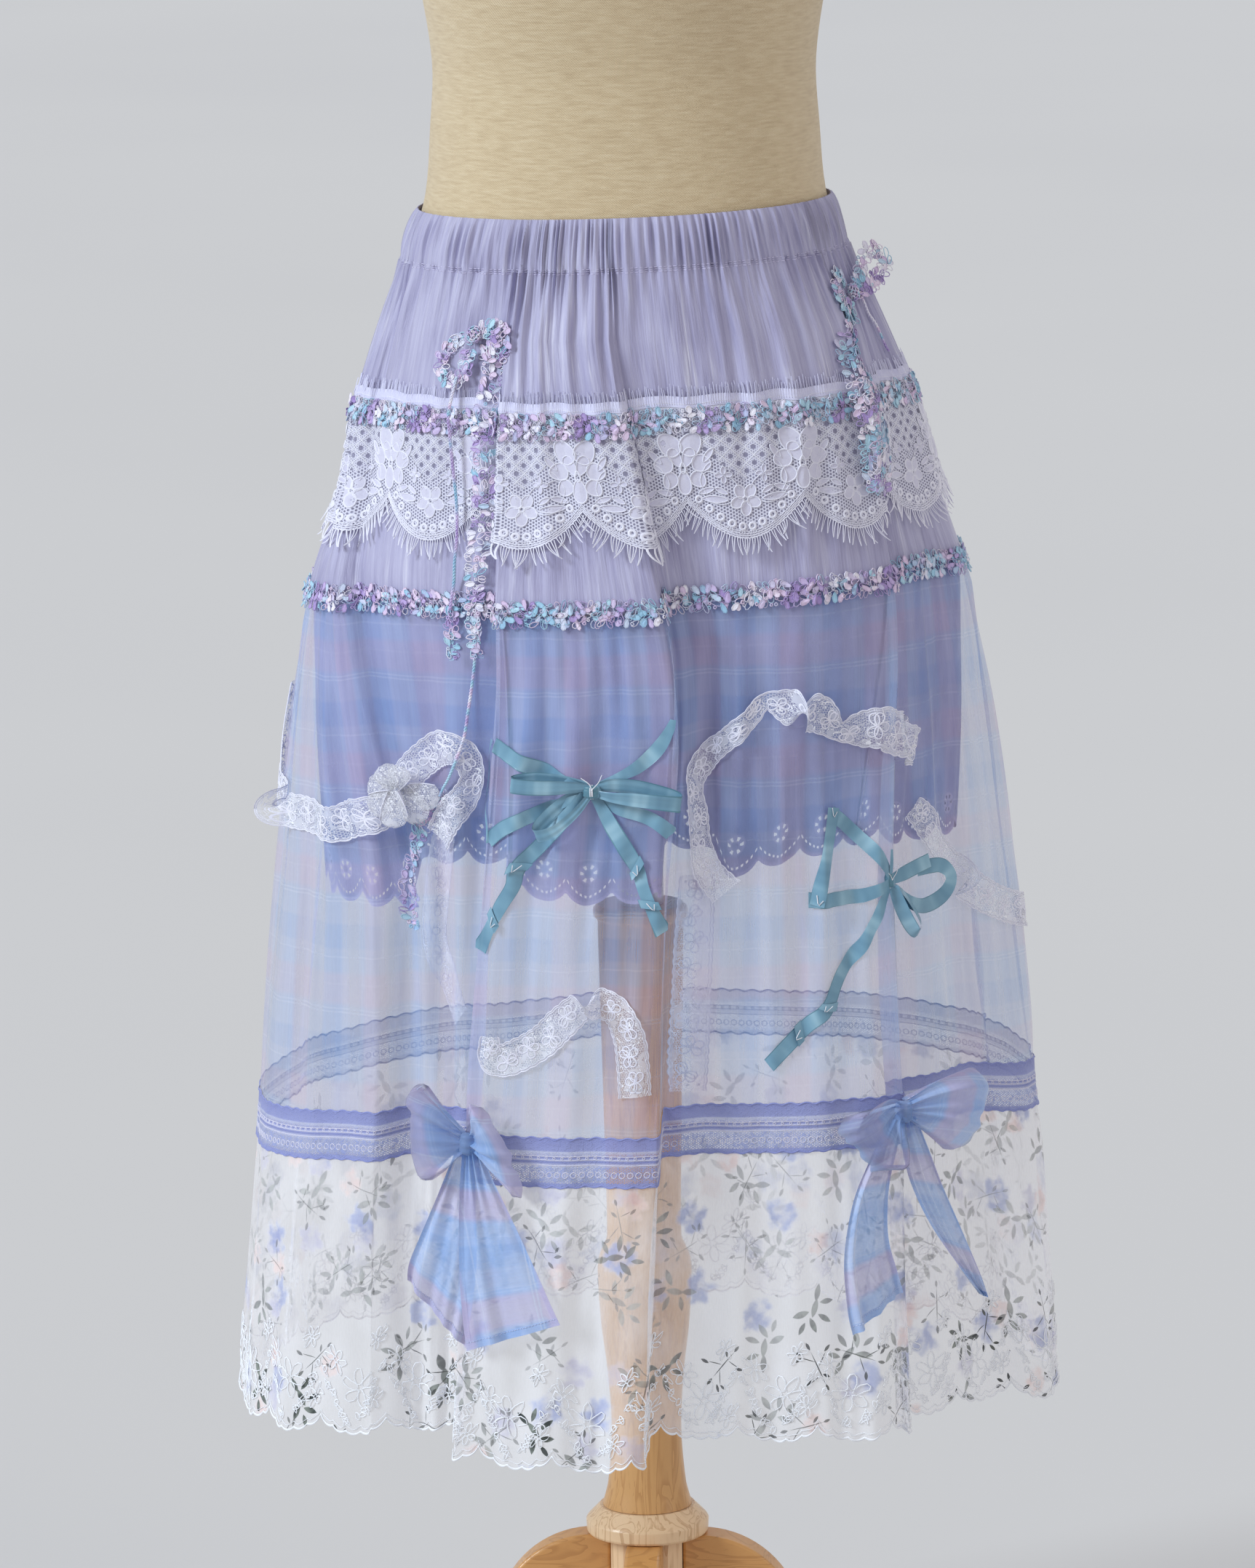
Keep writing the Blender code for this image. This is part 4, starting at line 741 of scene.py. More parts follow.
def blossoms(look, uv, wash, smear, seed, pitch, size, inner, outer, strength):
    """Share and tint of one layer of washed-out printed blossoms."""
    x, y, chance = turned_cell(look, uv, pitch, seed)
    lobes = abs((y.angle(x) * (BLOSSOM_PETALS / 2)).sine())
    rim = (wash - 0.5) * (size * 0.9) + (lobes * (size * 0.16) + size * 0.6)
    share = (x * x + y * y).root() / rim
    kept = chance.step(0.35, 0.45) * strength
    bloom = share.step(1.0, 0.55) * kept * wash.step(0.28, 0.62, 0.4, 1.0)
    return bloom, look.mix(smear * 0.6 + share * 0.5, inner, outer)


def print_look():
    """Sheer white organza with grey-green sprigs and blue and peach blossoms."""
    look = Look("printed_organza", roughness=0.6, sheen=0.3, specular=0.25)
    uv, _, v = look.coordinates()
    smear = look.noise(uv, 420, 2)
    wash = look.noise(uv, 110, 2)
    lower = v.step(-90 * MM, -150 * MM, 0.72, 1.0)
    marks = [blossoms(look, uv, wash, smear, *layer) for layer in BLOSSOMS]
    marks += [sprigs(look, uv, wash, lower, *layer) for layer in SPRIGS]
    colour = (244, 242, 246)
    for mark, tint in marks:
        colour = look.mix(mark, colour, tint)
    look.colour(colour)
    printed = reduce(Value.larger, [mark for mark, tint in marks])
    thread = look.noise(look.scaled(uv, 1.0, 0.2), 800, 1)
    veil = look.noise(uv, 24, 2).step(0.35, 0.7, 0.30, 0.44)
    cover = printed * 0.60 + (thread * 0.12 + veil)
    look.alpha(cover.clamped() * look.inside(0.65))
    return look.material


def thread_look(name, light, dark, roughness=0.7, opacity=1.0):
    """Matt cotton thread with slight unevenness."""
    look = Look(name, roughness=roughness, sheen=0.3, specular=0.25)
    place = look.place()
    look.colour(look.mix(look.noise(place, 300, 2), light, dark))
    look.bump(look.noise(place, 2500, 1), 0.3, 0.0003)
    look.alpha(opacity)
    return look.material


def tatting_look():
    """Variegated cotton: lilac, turquoise, pink and near white, by the strand's own tone."""
    look = Look("tatted_cotton", roughness=0.7, sheen=0.3, specular=0.25)
    colours = look.ramp(look.value("Attribute", output="Fac", attribute_name="tone"), (
        (0.00, (156, 128, 196)), (0.10, (180, 154, 212)), (0.22, (206, 188, 228)), (0.32, (134, 190, 220)),
        (0.44, (176, 218, 234)), (0.54, (212, 188, 224)), (0.66, (230, 208, 232)), (0.74, (242, 239, 248)),
        (0.88, (228, 224, 243)), (1.00, (146, 200, 226))))
    place = look.place()
    look.colour(look.mix(look.noise(place, 700, 2) * 0.3, colours, (236, 230, 246)))
    look.bump(look.noise(place, 2600, 1), 0.4, 0.0004)
    return look.material


DIAMOND_PITCH = 10 * MM


def lace_net_look():
    """Flounce ground: open diamond net above, fine tulle below; v counts down from the heading."""
    look = Look("lace_ground", roughness=0.75, sheen=0.2, specular=0.2)
    _, u, v = look.coordinates()
    a, b = (abs((way * (math.pi / DIAMOND_PITCH)).sine()) for way in (u + v, u - v))
    limit = abs(u % LACE_PITCH - LACE_PITCH / 2) * 0.9 - 52 * MM
    upper = (v - limit).step(0.0, 1.5 * MM)
    thread = a.smaller(b).step(0.20, 0.10)
    round_hole = (a * b).step(0.72, 0.86)
    small = net(u, v, 1.55 * MM).step(0.0, 1.3)
    tulle = net(u, v, 2.1 * MM).step(-0.2, 1.2)
    hole = (small * 0.62).larger(round_hole) * (1.0 - thread)
    tape = v.step(-4.2 * MM, -3.8 * MM)
    hole = (tulle + (hole - tulle) * upper) * (1.0 - tape)
    look.alpha(hole * -0.66 + 0.90)
    raised = thread * upper
    ground = look.mix(hole, (222, 221, 238), (206, 203, 228))
    look.colour(look.mix(raised, ground, (238, 237, 248)))
    look.bump(raised + (1.0 - hole), 0.7, 0.0008)
    return look.material


def ribbon_lace_look():
    """White lace ribbon: net ground, wandering filled sprays and corded edges."""
    look = Look("ribbon_lace", roughness=0.7, sheen=0.3, specular=0.25)
    uv, u, v = look.coordinates()
    hole = net(u, v, 1.6 * MM).step(-1.0, 0.2)
    spray = look.noise(look.scaled(uv, 1.0, 1.3), 70, 3, 0.55, 1.6)
    filled = spray.step(0.56, 0.585)
    edge = abs(v).step(9.6 * MM, 10.2 * MM)
    veins = reduce(Value.larger, [abs(spray - level).step(0.016, 0.008) for level in (0.44, 0.555)])
    look.alpha((hole * -0.38 + 0.46).larger(filled.larger(edge) * 0.52).larger(veins * 0.90))
    look.colour((243, 243, 251))
    look.bump(veins + filled * 0.5, 0.5, 0.0006)
    return look.material


def satin_look():
    """Teal satin ribbon with a soft lengthwise gleam painted into its colour; u runs along the ribbon."""
    look = Look("teal_satin", roughness=0.3, sheen=0.15, specular=0.6)
    uv, _, v = look.coordinates()
    warp = look.noise(look.scaled(uv, 0.05, 1.0), 2400, 2)
    painted_sheen = look.noise(look.scaled(uv, 1.0, 0.3), 55, 2)
    edge = abs(v).step(4.3 * MM, 4.6 * MM)
    # Painted sheen: the noise lightens the teal into pale highlight streaks.
    tint = look.ramp(painted_sheen, ((0.30, (92, 134, 160)), (0.52, (118, 160, 182)), (0.72, (162, 198, 214))))
    look.colour(look.mix(edge * 0.7, tint, (70, 118, 134)))
    look.bump(warp + edge * 1.5, 0.25, 0.0004)
    look.set("Anisotropic", 0.5)
    return look.material


def linen_look():
    """Beige linen stretched over padding."""
    look = Look("form_linen", roughness=0.9, sheen=0.4, specular=0.15)
    place = look.place()
    x, y, z = look.split("SeparateXYZ", place)
    turns = 2 * math.pi / (1.5 * MM)
    weave = (x.angle(y) * 0.14 * turns).sine() * (z * turns).sine() * 0.5 + 0.5
    slub = look.noise(look.scaled(place, 1.0, 1.0, 7.0), 90, 3)
    look.colour(look.ramp(weave * 0.3 + slub * 0.7, (
        (0.2, (192, 168, 134)), (0.5, (214, 192, 156)), (0.8, (228, 210, 178)))))
    look.bump(weave + slub, 0.5, 0.0008)
    return look.material


# How a grain is stretched along x, y and z
UPRIGHT_GRAIN = (1.0, 1.0, 0.06)
LEVEL_GRAIN = (0.16, 0.16, 1.0)


def pine_look(name, light, dark, grain=UPRIGHT_GRAIN):
    """Clear-varnished pine."""
    look = Look(name, roughness=0.38, sheen=0.0, specular=0.45)
    stretched = look.scaled(look.place(), *grain)
    late = (look.noise(stretched, 55, 3, 0.55, 0.8) * 9.0 % 1.0).step(0.55, 0.95)
    pores = look.noise(stretched, 900, 2)
    body = look.mix(look.noise(stretched, 12, 2), light, dark)
    grained = look.mix(late * 0.42, body, (168, 112, 58))
    look.colour(look.mix(pores.step(0.62, 0.75) * 0.2, grained, (150, 98, 52)))
    look.set("Roughness", pores * 0.2 + 0.3)
    look.bump(late * 0.4 + pores, 0.12, 0.0004)
    look.set("Coat Weight", 0.25)
    return look.material


def steel_look():
    """Satin steel of the height rod."""
    look = Look("rod_steel", roughness=0.34, specular=0.5, metallic=0.85)
    brushed = look.noise(look.scaled(look.place(), 0.05, 0.05, 1.0), 900, 2)
    look.colour(look.mix(brushed, (150, 160, 172), (178, 186, 196)))
    look.set("Roughness", brushed * 0.2 + 0.28)
    return look.material


CHIFFON = chiffon_look()
ORGANZA = organza_look("checked_organza", 0.27, 0.43)
BOW_ORGANZA = organza_look("bow_organza", 0.60, 0.80, 0.3, 2.2)
LINING = lining_look()
BAND = band_look()
PRINT = print_look()
LACE_NET = lace_net_look()
LACE_THREAD = thread_look("lace_thread", (242, 241, 250), (224, 222, 240))
LACE_FILL = thread_look("lace_fill", (230, 228, 243), (212, 209, 232), 0.8, 0.85)
HEADING_THREAD = thread_look("heading_thread", (222, 221, 241), (200, 198, 228))
TATTING = tatting_look()
RIBBON_LACE = ribbon_lace_look()
SATIN = satin_look()
WHITE_THREAD = thread_look("white_thread", (244, 244, 248), (226, 226, 236))
EMBROIDERY = thread_look("embroidery_thread", (250, 250, 253), (232, 234, 242), 0.5)
PERIWINKLE_THREAD = thread_look("periwinkle_thread", (150, 156, 208), (128, 135, 194))
BOW_THREAD = thread_look("bow_thread", (206, 214, 238), (176, 188, 226))
LINEN = linen_look()
PINE = pine_look("honey_pine", (222, 174, 114), (206, 152, 92))
PINE_PALE = pine_look("pale_pine", (240, 210, 172), (230, 192, 148))
PINE_FLAT = pine_look("leg_pine", (218, 164, 100), (200, 142, 80), LEVEL_GRAIN)
STEEL = steel_look()


# Main cloth

def ring_sheet(name, arc, wide, top, bottom, counts, material, out, inset=None, from_hem=False):
    """A tier of cloth between two lines, wide metres of cloth round; counts is (rows, columns)."""
    rows, columns = counts
    s = np.linspace(0, arc.length, columns, endpoint=False)[None]
    u = arc.place(s)
    t = np.linspace(0, 1, rows)[:, None]
    high, low = top(u), bottom(u)
    z = high + (low - high) * t
    if inset is None:
        points, _ = skin(arc, s, z, out)
    else:
        points, _ = skin(arc, s, z, out, inset * t, LINING_FLATTEN * t, 0.5)
    ends = np.append(s[0], arc.length) * wide / arc.length
    low_ends = np.append(low[0], low[0, 0])
    high_ends = np.append(high[0], high[0, 0])
    heights = high_ends + (low_ends - high_ends) * t
    uv = paired(ends, heights - (low_ends if from_hem else high_ends))
    return grid_object(name, points, uv, material, wrap=True)


def scallop(arc, u, pitch):
    """0 in a notch and 1 at a scallop's lowest point."""
    count = round(arc.length / pitch)
    return np.abs(np.sin(np.pi * count * arc.run(u) / arc.length)) ** 0.7


WAIST_ARC = Arc(1.04)
YOKE_ARC = Arc(0.95)
LACE_ARC = Arc(0.897)
SEAM_ARC = Arc(0.8145)
SHEER_ARC = Arc(0.66)
BAND_ARC = Arc(0.47)
HEM_ARC = Arc(0.265)
LINING_ARC = Arc(LINING_HEM_HEIGHT)


def lining_hem(u):
    """Height of the lining's scalloped hem."""
    tilt = 35 * MM
    notch = 1 - scallop(LINING_ARC, u, LINING_PITCH)
    x = plan(u, LINING_HEM_HEIGHT)[0]
    return LINING_HEM_HEIGHT + tilt * x + fold_value(LINING_RISE, u) + notch * LINING_SCALLOP


def hem_edge(u):
    """Height of the printed tier's edge: big scallops cut into small lobes."""
    notch = 1 - scallop(HEM_ARC, u, HEM_PITCH)
    small = 1 - scallop(HEM_ARC, u, HEM_PITCH / 5)
    return line("hem", u) + notch * (HEM_SCALLOP - 2 * MM) + small * 2.2 * MM


def tier(name, node, arc, cut, top, bottom, counts, look, out=0.0):
    """A ring of cloth, as wide round as the first number of its cut; look is a slot name and its material."""
    slot, material = look
    piece = dress(ring_sheet(name, arc, cut[0], top, bottom, counts, material, out), slot, node)


def build_lining():
    """Lining under the sheer tier, drawn in and flatter towards its hem."""
    wide = round(LINING_ARC.length / LINING_PITCH) * LINING_PITCH
    under_seam = partial(line, "sheer_seam", lift=-2 * MM)
    piece = ring_sheet("cotton_lining", LINING_ARC, wide, under_seam, lining_hem, (20, 800), LINING,
                       -4.4 * MM, LINING_INSET, from_hem=True)
    dress(piece, "lining", "lining")


def build_main_cloth():
    """Waistband, tiers, lining and insertion band, from the waist down."""
    chiffon = ("chiffon", CHIFFON)
    waist = partial(line, "waist")
    first_seam = partial(line, "heading", lift=-FIRST_SEAM_DROP)
    sheer_seam = partial(line, "sheer_seam")
    tier("waistband_cloth", "waistband", WAIST_ARC, (1.10, 0.035), partial(line, "waist_top"), waist,
         (14, 1100), chiffon)
    tier("yoke_tier", "tier_1", YOKE_ARC, (1.12, 0.11), waist, first_seam,
         (21, 1100), chiffon)
    tier("second_tier", "tier_2", LACE_ARC, (1.25, 0.13), first_seam, sheer_seam,
         (18, 800), chiffon)
    tier("sheer_checked_tier", "sheer_tier", SHEER_ARC, (1.75, 0.34), sheer_seam, partial(line, "band_top"),
         (50, 850), ("organza", ORGANZA), -0.5 * MM)
    build_lining()
    tier("insertion_lace", "insertion_band", BAND_ARC, (1.75, BAND_HEIGHT),
         partial(line, "band_top", lift=1 * MM), partial(line, "band_bottom", lift=-1 * MM),
         (8, 900), ("insertion", BAND), 0.2 * MM)
    tier("printed_tier", "hem_tier", HEM_ARC, (1.75, 0.20), partial(line, "band_bottom"), hem_edge,
         (22, 1300), ("print", PRINT), -0.5 * MM)


# Lace flounce

LACE_COUNT = round(LACE_ARC.length / LACE_PITCH)
LACE_UNIT = LACE_ARC.length / LACE_COUNT
LASH = 12.5 * MM


def flounce(s, d, lift=0.0):
    """Point of the flounce at running length s and d below its heading."""
    s, d = np.broadcast_arrays(s, d)
    u = LACE_ARC.place(s)
    share = np.clip(d / 0.09, 0, 1.3)
    wave = 1.9 * MM * ripple(MAIN.run(u), 0.0, *FLOUNCE_WAVES)
    out = SEAM_GAP + WALL / 2 + 4 * MM * share + wave * np.minimum(share, 1) + lift
    return skin(LACE_ARC, s, line("heading", u) - d, out, creased=1 - 0.7 * np.clip(share, 0, 1))[0]


def border(x):
    """Depth of the lace's border below the heading, x from the middle of a scallop."""
    return LACE_NOTCH + LACE_SCALLOP * np.abs(np.cos(np.pi * x / LACE_UNIT)) ** 0.95


def even_places(count, spread=1.0):
    """x of places spaced evenly along the border of one scallop."""
    x = np.linspace(-LACE_UNIT / 2, LACE_UNIT / 2, 401) * spread
    run = np.concatenate([[0.0], np.cumsum(np.hypot(np.diff(x), np.diff(border(x))))])
    return np.interp((np.arange(count) + 0.5) / count * run[-1], run, x)


def border_outward(place):
    """Direction out of the lace's border, x from the middle of a scallop."""
    slope = (border(place + MM) - border(place - MM)) / (2 * MM)
    return np.array((-slope, 1.0)) / math.hypot(slope, 1)


def moved(x, y, a, b, lean):
    """Outline a, b turned by lean degrees about its middle and moved to x, y, all in mm."""
    c, s = math.cos(math.radians(lean)), math.sin(math.radians(lean))
    return np.stack([x + a * c - b * s, y + a * s + b * c], -1) * MM


def oval(x, y, half_long, half_wide, lean, count=18, lobes=0.0, taper=0.0):
    """Closed outline round x, y in mm; lean in degrees turns its long axis from the right."""
    t = np.linspace(0, 2 * np.pi, count, endpoint=False)
    swell = 1 + lobes * np.cos(3 * t)
    wide = half_wide * np.sin(t) * swell * (1 + taper * np.cos(t))
    return moved(x, y, half_long * np.cos(t) * swell, wide, lean)


def leaf_outline(x, y, half_long, half_wide, lean, count=16):
    """Pointed leaf outline, mm and degrees."""
    t = np.linspace(0, 2 * np.pi, count, endpoint=False)
    return moved(x, y, half_long * np.cos(t), half_wide * np.sin(t) * np.abs(np.sin(t)) ** 0.5, lean)


def curve(*points, count=14):
    """Smooth open path through points in mm."""
    points = np.array(points, float) * MM
    k = np.arange(len(points), dtype=float)
    t = np.linspace(0, len(points) - 1, count)
    return np.stack([smooth(k, points[:, 0], t), smooth(k, points[:, 1], t)], -1)


def mirrored(path):
    """The path and its mirror image in x."""
    return path, path * np.array((-1.0, 1.0))


# Petals of the big flower: half length, half width, x, y, lean
BIG_PETALS = ((8.0, 6.4, 6.6, 26.5, -52), (6.0, 5.4, 12.0, 38.5, 8), (5.4, 4.8, 9.2, 48.5, 50))
# Leaves of the spray: x, y, half length, half width, lean
SPRAY_LEAVES = ((19.5, 61.5, 8.2, 2.2, -6), (24.5, 56.0, 5.4, 1.7, 16), (15.0, 56.5, 4.2, 1.5, -30),
                (21.5, 33.5, 5.4, 1.8, 52))


def flower_parts():
    """Outlines of one repeat: (outline, filled, cord width in mm), big flower at x = 0."""
    parts = []
    for long, wide, x, y, lean in BIG_PETALS:
        parts += [(side, True, 0.95) for side in mirrored(oval(x, y, long, wide, lean, 20, 0.05))]
    parts += [(side, True, 0.7) for side in mirrored(oval(4.0, 34.6, 6.6, 3.7, -62, 18, 0.0, 0.3))]
    parts.append((oval(0, 50.5, 7.4, 4.4, 90, 18, 0.0, 0.2), True, 1.0))
    parts.append((oval(0, 41.0, 3.4, 1.7, 90, 12, 0.0, 0.4), False, 1.2))
    return parts


def spray_parts():
    """Outlines of one repeat, with x = 0 at the middle of a scallop."""
    parts = []
    for degrees in (-126, -54, 18, 90, 162):
        a = math.radians(degrees)
        petal = oval(5.6 * math.cos(a), 62.5 + 5.6 * math.sin(a), 4.6, 3.5, degrees, 16, 0.06, 0.2)
        parts.append((petal, True, 0.9))
    parts.append((oval(0, 62.5, 1.7, 1.7, 0, 10), False, 1.3))
    for x, y, long, wide, lean in SPRAY_LEAVES:
        parts += [(side, True, 0.75) for side in mirrored(leaf_outline(x, y, long, wide, lean))]
    for degrees in (0, 90, 180, 270):
        a = math.radians(degrees)
        x, y = 13.2 + 2.9 * math.cos(a), 46.5 + 2.9 * math.sin(a)
        parts += [(side, True, 0.6) for side in mirrored(leaf_outline(x, y, 2.6, 1.6, degrees, 10))]
    return parts


STEMS = (
    ((8.6, 63.5), (15.0, 65.0), (23.0, 62.5), (29.5, 55.0)),
    ((24.5, 58.5), (28.0, 50.0), (24.0, 41.0), (19.5, 37.5)),
    ((3.5, 55.5), (7.0, 50.5), (12.0, 46.5)),
    ((17.0, 46.0), (22.0, 44.0), (26.0, 45.5)),
)


def scallop_centres(shift=0.0):
    """Places of the middles of all scallops, as (running length, 0)."""
    return paired((np.arange(LACE_COUNT) + 0.5 + shift) * LACE_UNIT, 0.0)[:, None]


def repeats(path, shift=0.0):
    """One path of the pattern at every repeat round the skirt."""
    return path[None] + scallop_centres(shift)


def lace_ground():
    """Net ground, scalloped along its border."""
    columns, rows = 1050, 27
    s = np.linspace(0, LACE_ARC.length, columns, endpoint=False)[None]
    edge = border(np.mod(s, LACE_UNIT) - LACE_UNIT / 2)
    t = np.linspace(0, 1, rows)[:, None]
    ends = np.append(s[0], LACE_ARC.length)[None] * LACE_PITCH / LACE_UNIT
    uv = paired(ends, -np.append(edge[0], edge[0, 0])[None] * t)
    ground = grid_object("lace_ground", flounce(s, edge * t), uv, LACE_NET, wrap=True)
    return dress(ground, "lace", "lace_flounce")


CORD_LIFT = 0.25 * MM         # of the raised cords over the net


def lace_motifs(cords, fills):
    """Corded flowers and sprays with thin fillings, and stems between them."""
    for parts, shift in ((flower_parts(), 0.5), (spray_parts(), 0.0)):
        for outline, filled, width in parts:
            cords.cords(flounce, repeats(outline, shift), width * MM, 0.75 * MM, CORD_LIFT, closed=True)
            if filled:
                centre = outline.mean(0)
                rings = [repeats(centre + (outline - centre) * share, shift) for share in (0.02, 0.98)]
                rims = [flounce(ring[..., 0], ring[..., 1], CORD_LIFT) for ring in rings]
                fills.grids(np.stack(rims, 2), along=True)
    for stem in STEMS:
        for side in mirrored(curve(*stem)):
            cords.cords(flounce, repeats(side), 0.7 * MM, 0.6 * MM, CORD_LIFT)


def lace_border(cords):
    """Toothed cords along the scalloped edge, and rings with three spokes above them."""
    x = np.linspace(-LACE_UNIT / 2, LACE_UNIT / 2, 91)
    for up, width, toothed in ((0.3, 0.9, 0.35), (1.7, 0.7, 0.0), (3.0, 0.7, -0.3), (4.4, 0.6, 0.25)):
        teeth = toothed * MM * np.sin(x * 2 * np.pi / (2.5 * MM))
        path = np.stack([x, border(x) - up * MM + teeth], -1)
        cords.cords(flounce, repeats(path), width * MM, 0.5 * MM, 0.2 * MM)
    for place in even_places(10):
        inward = -border_outward(place)
        sideways = np.array((-inward[1], inward[0]))
        edge = np.array((place, border(place)))
        centre = edge + inward * 7.4 * MM
        cords.cords(flounce, repeats(centre + oval(0, 0, 2.0, 2.0, 0, 12)), 1.7 * MM, 0.9 * MM, CORD_LIFT,
                    closed=True)
        for lean in (-2.1, 0.0, 2.1):
            foot = edge + inward * 3.0 * MM + sideways * lean * MM
            spoke = np.linspace(foot, foot + (centre - foot) * 0.45, 3)
            cords.cords(flounce, repeats(spoke), 0.6 * MM, 0.5 * MM, CORD_LIFT)


def build_flounce():
    """Net ground, corded motifs, border with rings, and lashes at the edge and the heading."""
    ground = lace_ground()
    cords, fills = Bundle(), Bundle()
    lace_motifs(cords, fills)
    lace_border(cords)
    x = np.linspace(0, LACE_ARC.length, 900)
    waved = 0.7 * MM + 0.7 * MM * np.sin(x * 4 * np.pi / LACE_UNIT)
    cords.cords(flounce, np.stack([x, waved], -1)[None], 0.7 * MM, 0.5 * MM, 0.3 * MM)
    motifs = cords.make("lace_cords", LACE_THREAD, "lace")
    filling = fills.make("lace_fillings", LACE_FILL, "lace")
    build_lashes()
    build_heading_lashes()


def build_lashes():
    """Curved eyelash threads in pairs along the scalloped border."""
    rng = np.random.default_rng(31)
    bundle = Bundle()
    t = np.linspace(0, 1, 8)[None, :, None]
    thinning = t[..., 0]
    for place in even_places(27, 0.985):
        down = border_outward(place) * 0.55 + np.array((0.0, 0.45))
        length = LASH * rng.uniform(0.78, 1.0, (LACE_COUNT, 1, 1))
        bend = rng.normal(0, 2.6 * MM, (LACE_COUNT, 1, 1))
        rise = rng.uniform(0, 1.6 * MM, (LACE_COUNT, 1))
        for foot in (-0.95 * MM, 0.95 * MM):
            start = np.array((place + foot, border(place) - 0.2 * MM))
            sideways = (bend * t ** 2 - foot * 0.9 * t) * np.array((1.0, 0.0))
            path = start + down * length * t + sideways + scallop_centres()
            bundle.cords(flounce, path, 0.62 * MM * (1 - 0.35 * thinning), 0.42 * MM,
                         0.7 * MM + rise * thinning ** 2)
    return bundle.make("edge_lashes", LACE_THREAD, "lace")


def build_heading_lashes():
    """Lilac tape of the heading and the short upright threads above it."""
    rng = np.random.default_rng(37)
    bundle = Bundle()
    x = np.linspace(0, LACE_ARC.length, 900)
    tape = np.stack([x, -0.5 * MM + 0.6 * MM * np.sin(x * 4 * np.pi / LACE_UNIT)], -1)
    bundle.cords(flounce, tape[None], 7.0 * MM, 0.3 * MM, 0.35 * MM)
    count = int(LACE_ARC.length / (1.5 * MM))
    s = np.linspace(0, LACE_ARC.length, count, endpoint=False)[:, None]
    t = np.linspace(0, 1, 4)[None]
    foot = 1.5 * MM
    top = -rng.uniform(8.0, 12.0, (count, 1)) * MM
    path = paired(s + rng.normal(0, 0.8 * MM, (count, 1)) * t, foot + (top - foot) * t)
    bundle.cords(flounce, path, 0.62 * MM * (1 - 0.3 * t), 0.45 * MM, 0.4 * MM)
    return bundle.make("heading_lashes", HEADING_THREAD, "lace")


# Tatted trim

TATTING_RUN = 7 * MM          # how far the dyed thread goes before its colour turns
TRIM_SPREAD = 8.2 * MM        # how far the leaves reach to each side of a trim's middle
TINT_STEPS = 400              # runs of colour before they begin again


def tatting(bundle, surface, start, end, half, seed, cell=3.5 * MM):
    """Small leaves and knots of thread crowded over a strip of the surface."""
    rng = np.random.default_rng(seed)
    across = max(2, round(2 * half / cell))
    along = int((end - start) / cell)
    s = start + (np.arange(along)[:, None] + 0.5 + rng.uniform(-0.45, 0.45, (along, across))) * cell
    rows = ((np.arange(across) + 0.5) / across * 2 - 1)[None] * half * 0.9
    d = rows + rng.uniform(-0.6, 0.6, (along, across)) * MM
    s, d = s.ravel(), d.ravel()
    count = len(s)
    here, right, down, outward = frames(surface, s, d)
    colours = np.sort(rng.uniform(0, 1, TINT_STEPS))
    rng.shuffle(colours)
    run = np.abs(s / TATTING_RUN + 0.35 * d / MM / 3).astype(int) % TINT_STEPS
    tone = np.clip(colours[run] + rng.normal(0, 0.09, count), 0, 1)
    knots = rng.uniform(0, 1, count) < 0.24
    outwards = rng.uniform(-1, 1, count) * 1.5 + np.sign(d) * 0.5
    at_edge = outwards * 0.6 + np.sign(d) * np.pi / 2
    lean = np.where(np.abs(d) > half * 0.55, at_edge, rng.uniform(0, np.pi, count))
    long = np.where(knots, rng.uniform(0.8, 1.2, count), rng.uniform(2.6, 4.0, count)) * MM
    wide = np.where(knots, rng.uniform(0.8, 1.1, count), rng.uniform(1.3, 2.0, count)) * MM
    t = np.linspace(0, 2 * np.pi, 8, endpoint=False)[None]
    x = long[:, None] * np.cos(t)
    y = wide[:, None] * np.sin(t) * np.abs(np.sin(t)) ** 0.35 * (1 + 0.3 * np.cos(t))
    c, k = np.cos(lean)[:, None, None], np.sin(lean)[:, None, None]
    lift = (0.5 * MM + rng.uniform(0, 0.9 * MM, count))[:, None]
    tilt = rng.normal(0, 0.22, count)[:, None]
    path = here + (right * c + down * k) * x[..., None] + (down * c - right * k) * y[..., None]
    path = path + outward * (lift + np.abs(x * tilt))[..., None]
    radius = np.where(knots, 0.52 * MM, 0.38 * MM)
    bundle.tubes(path, np.broadcast_to(outward, path.shape), radius, 3, True, tone)
    leaves = path[~knots][::2]
    middle = leaves.mean(1, keepdims=True)
    rings = np.stack([middle + (leaves - middle) * 0.04, middle + (leaves - middle) * 0.9], 2)
    bundle.grids(rings, along=True, tone=tone[~knots][::2])


def trim_1(s, d, lift):
    """Surface of the first trim, d below its centre line."""
    return flounce(s, 11 * MM + d, 0.7 * MM + lift)


def frames(surface, s, d, reach=0.8 * MM):
    """Points of a surface with its directions right, down and outward, each (count, 1, 3)."""
    right = unit(surface(s + reach, d, 0.0) - surface(s - reach, d, 0.0))
    down = unit(surface(s, d + reach, 0.0) - surface(s, d - reach, 0.0))
    outward = unit(np.cross(down, right))
    return [rows[:, None] for rows in (surface(s, d, 0.0), right, down, outward)]


def beside(arc, edge, side, s, d, lift=0.0):
    """Point at distance d above an edge round the skirt, or below it where side is -1."""
    return skin(arc, s, edge(arc.place(s)) + side * d, lift)[0]


def trim_2(s, d, lift):
    """Surface of the second trim, over the sheer tier's seam."""
    return beside(SEAM_ARC, partial(line, "sheer_seam"), -1, s, d, 0.6 * MM + lift)


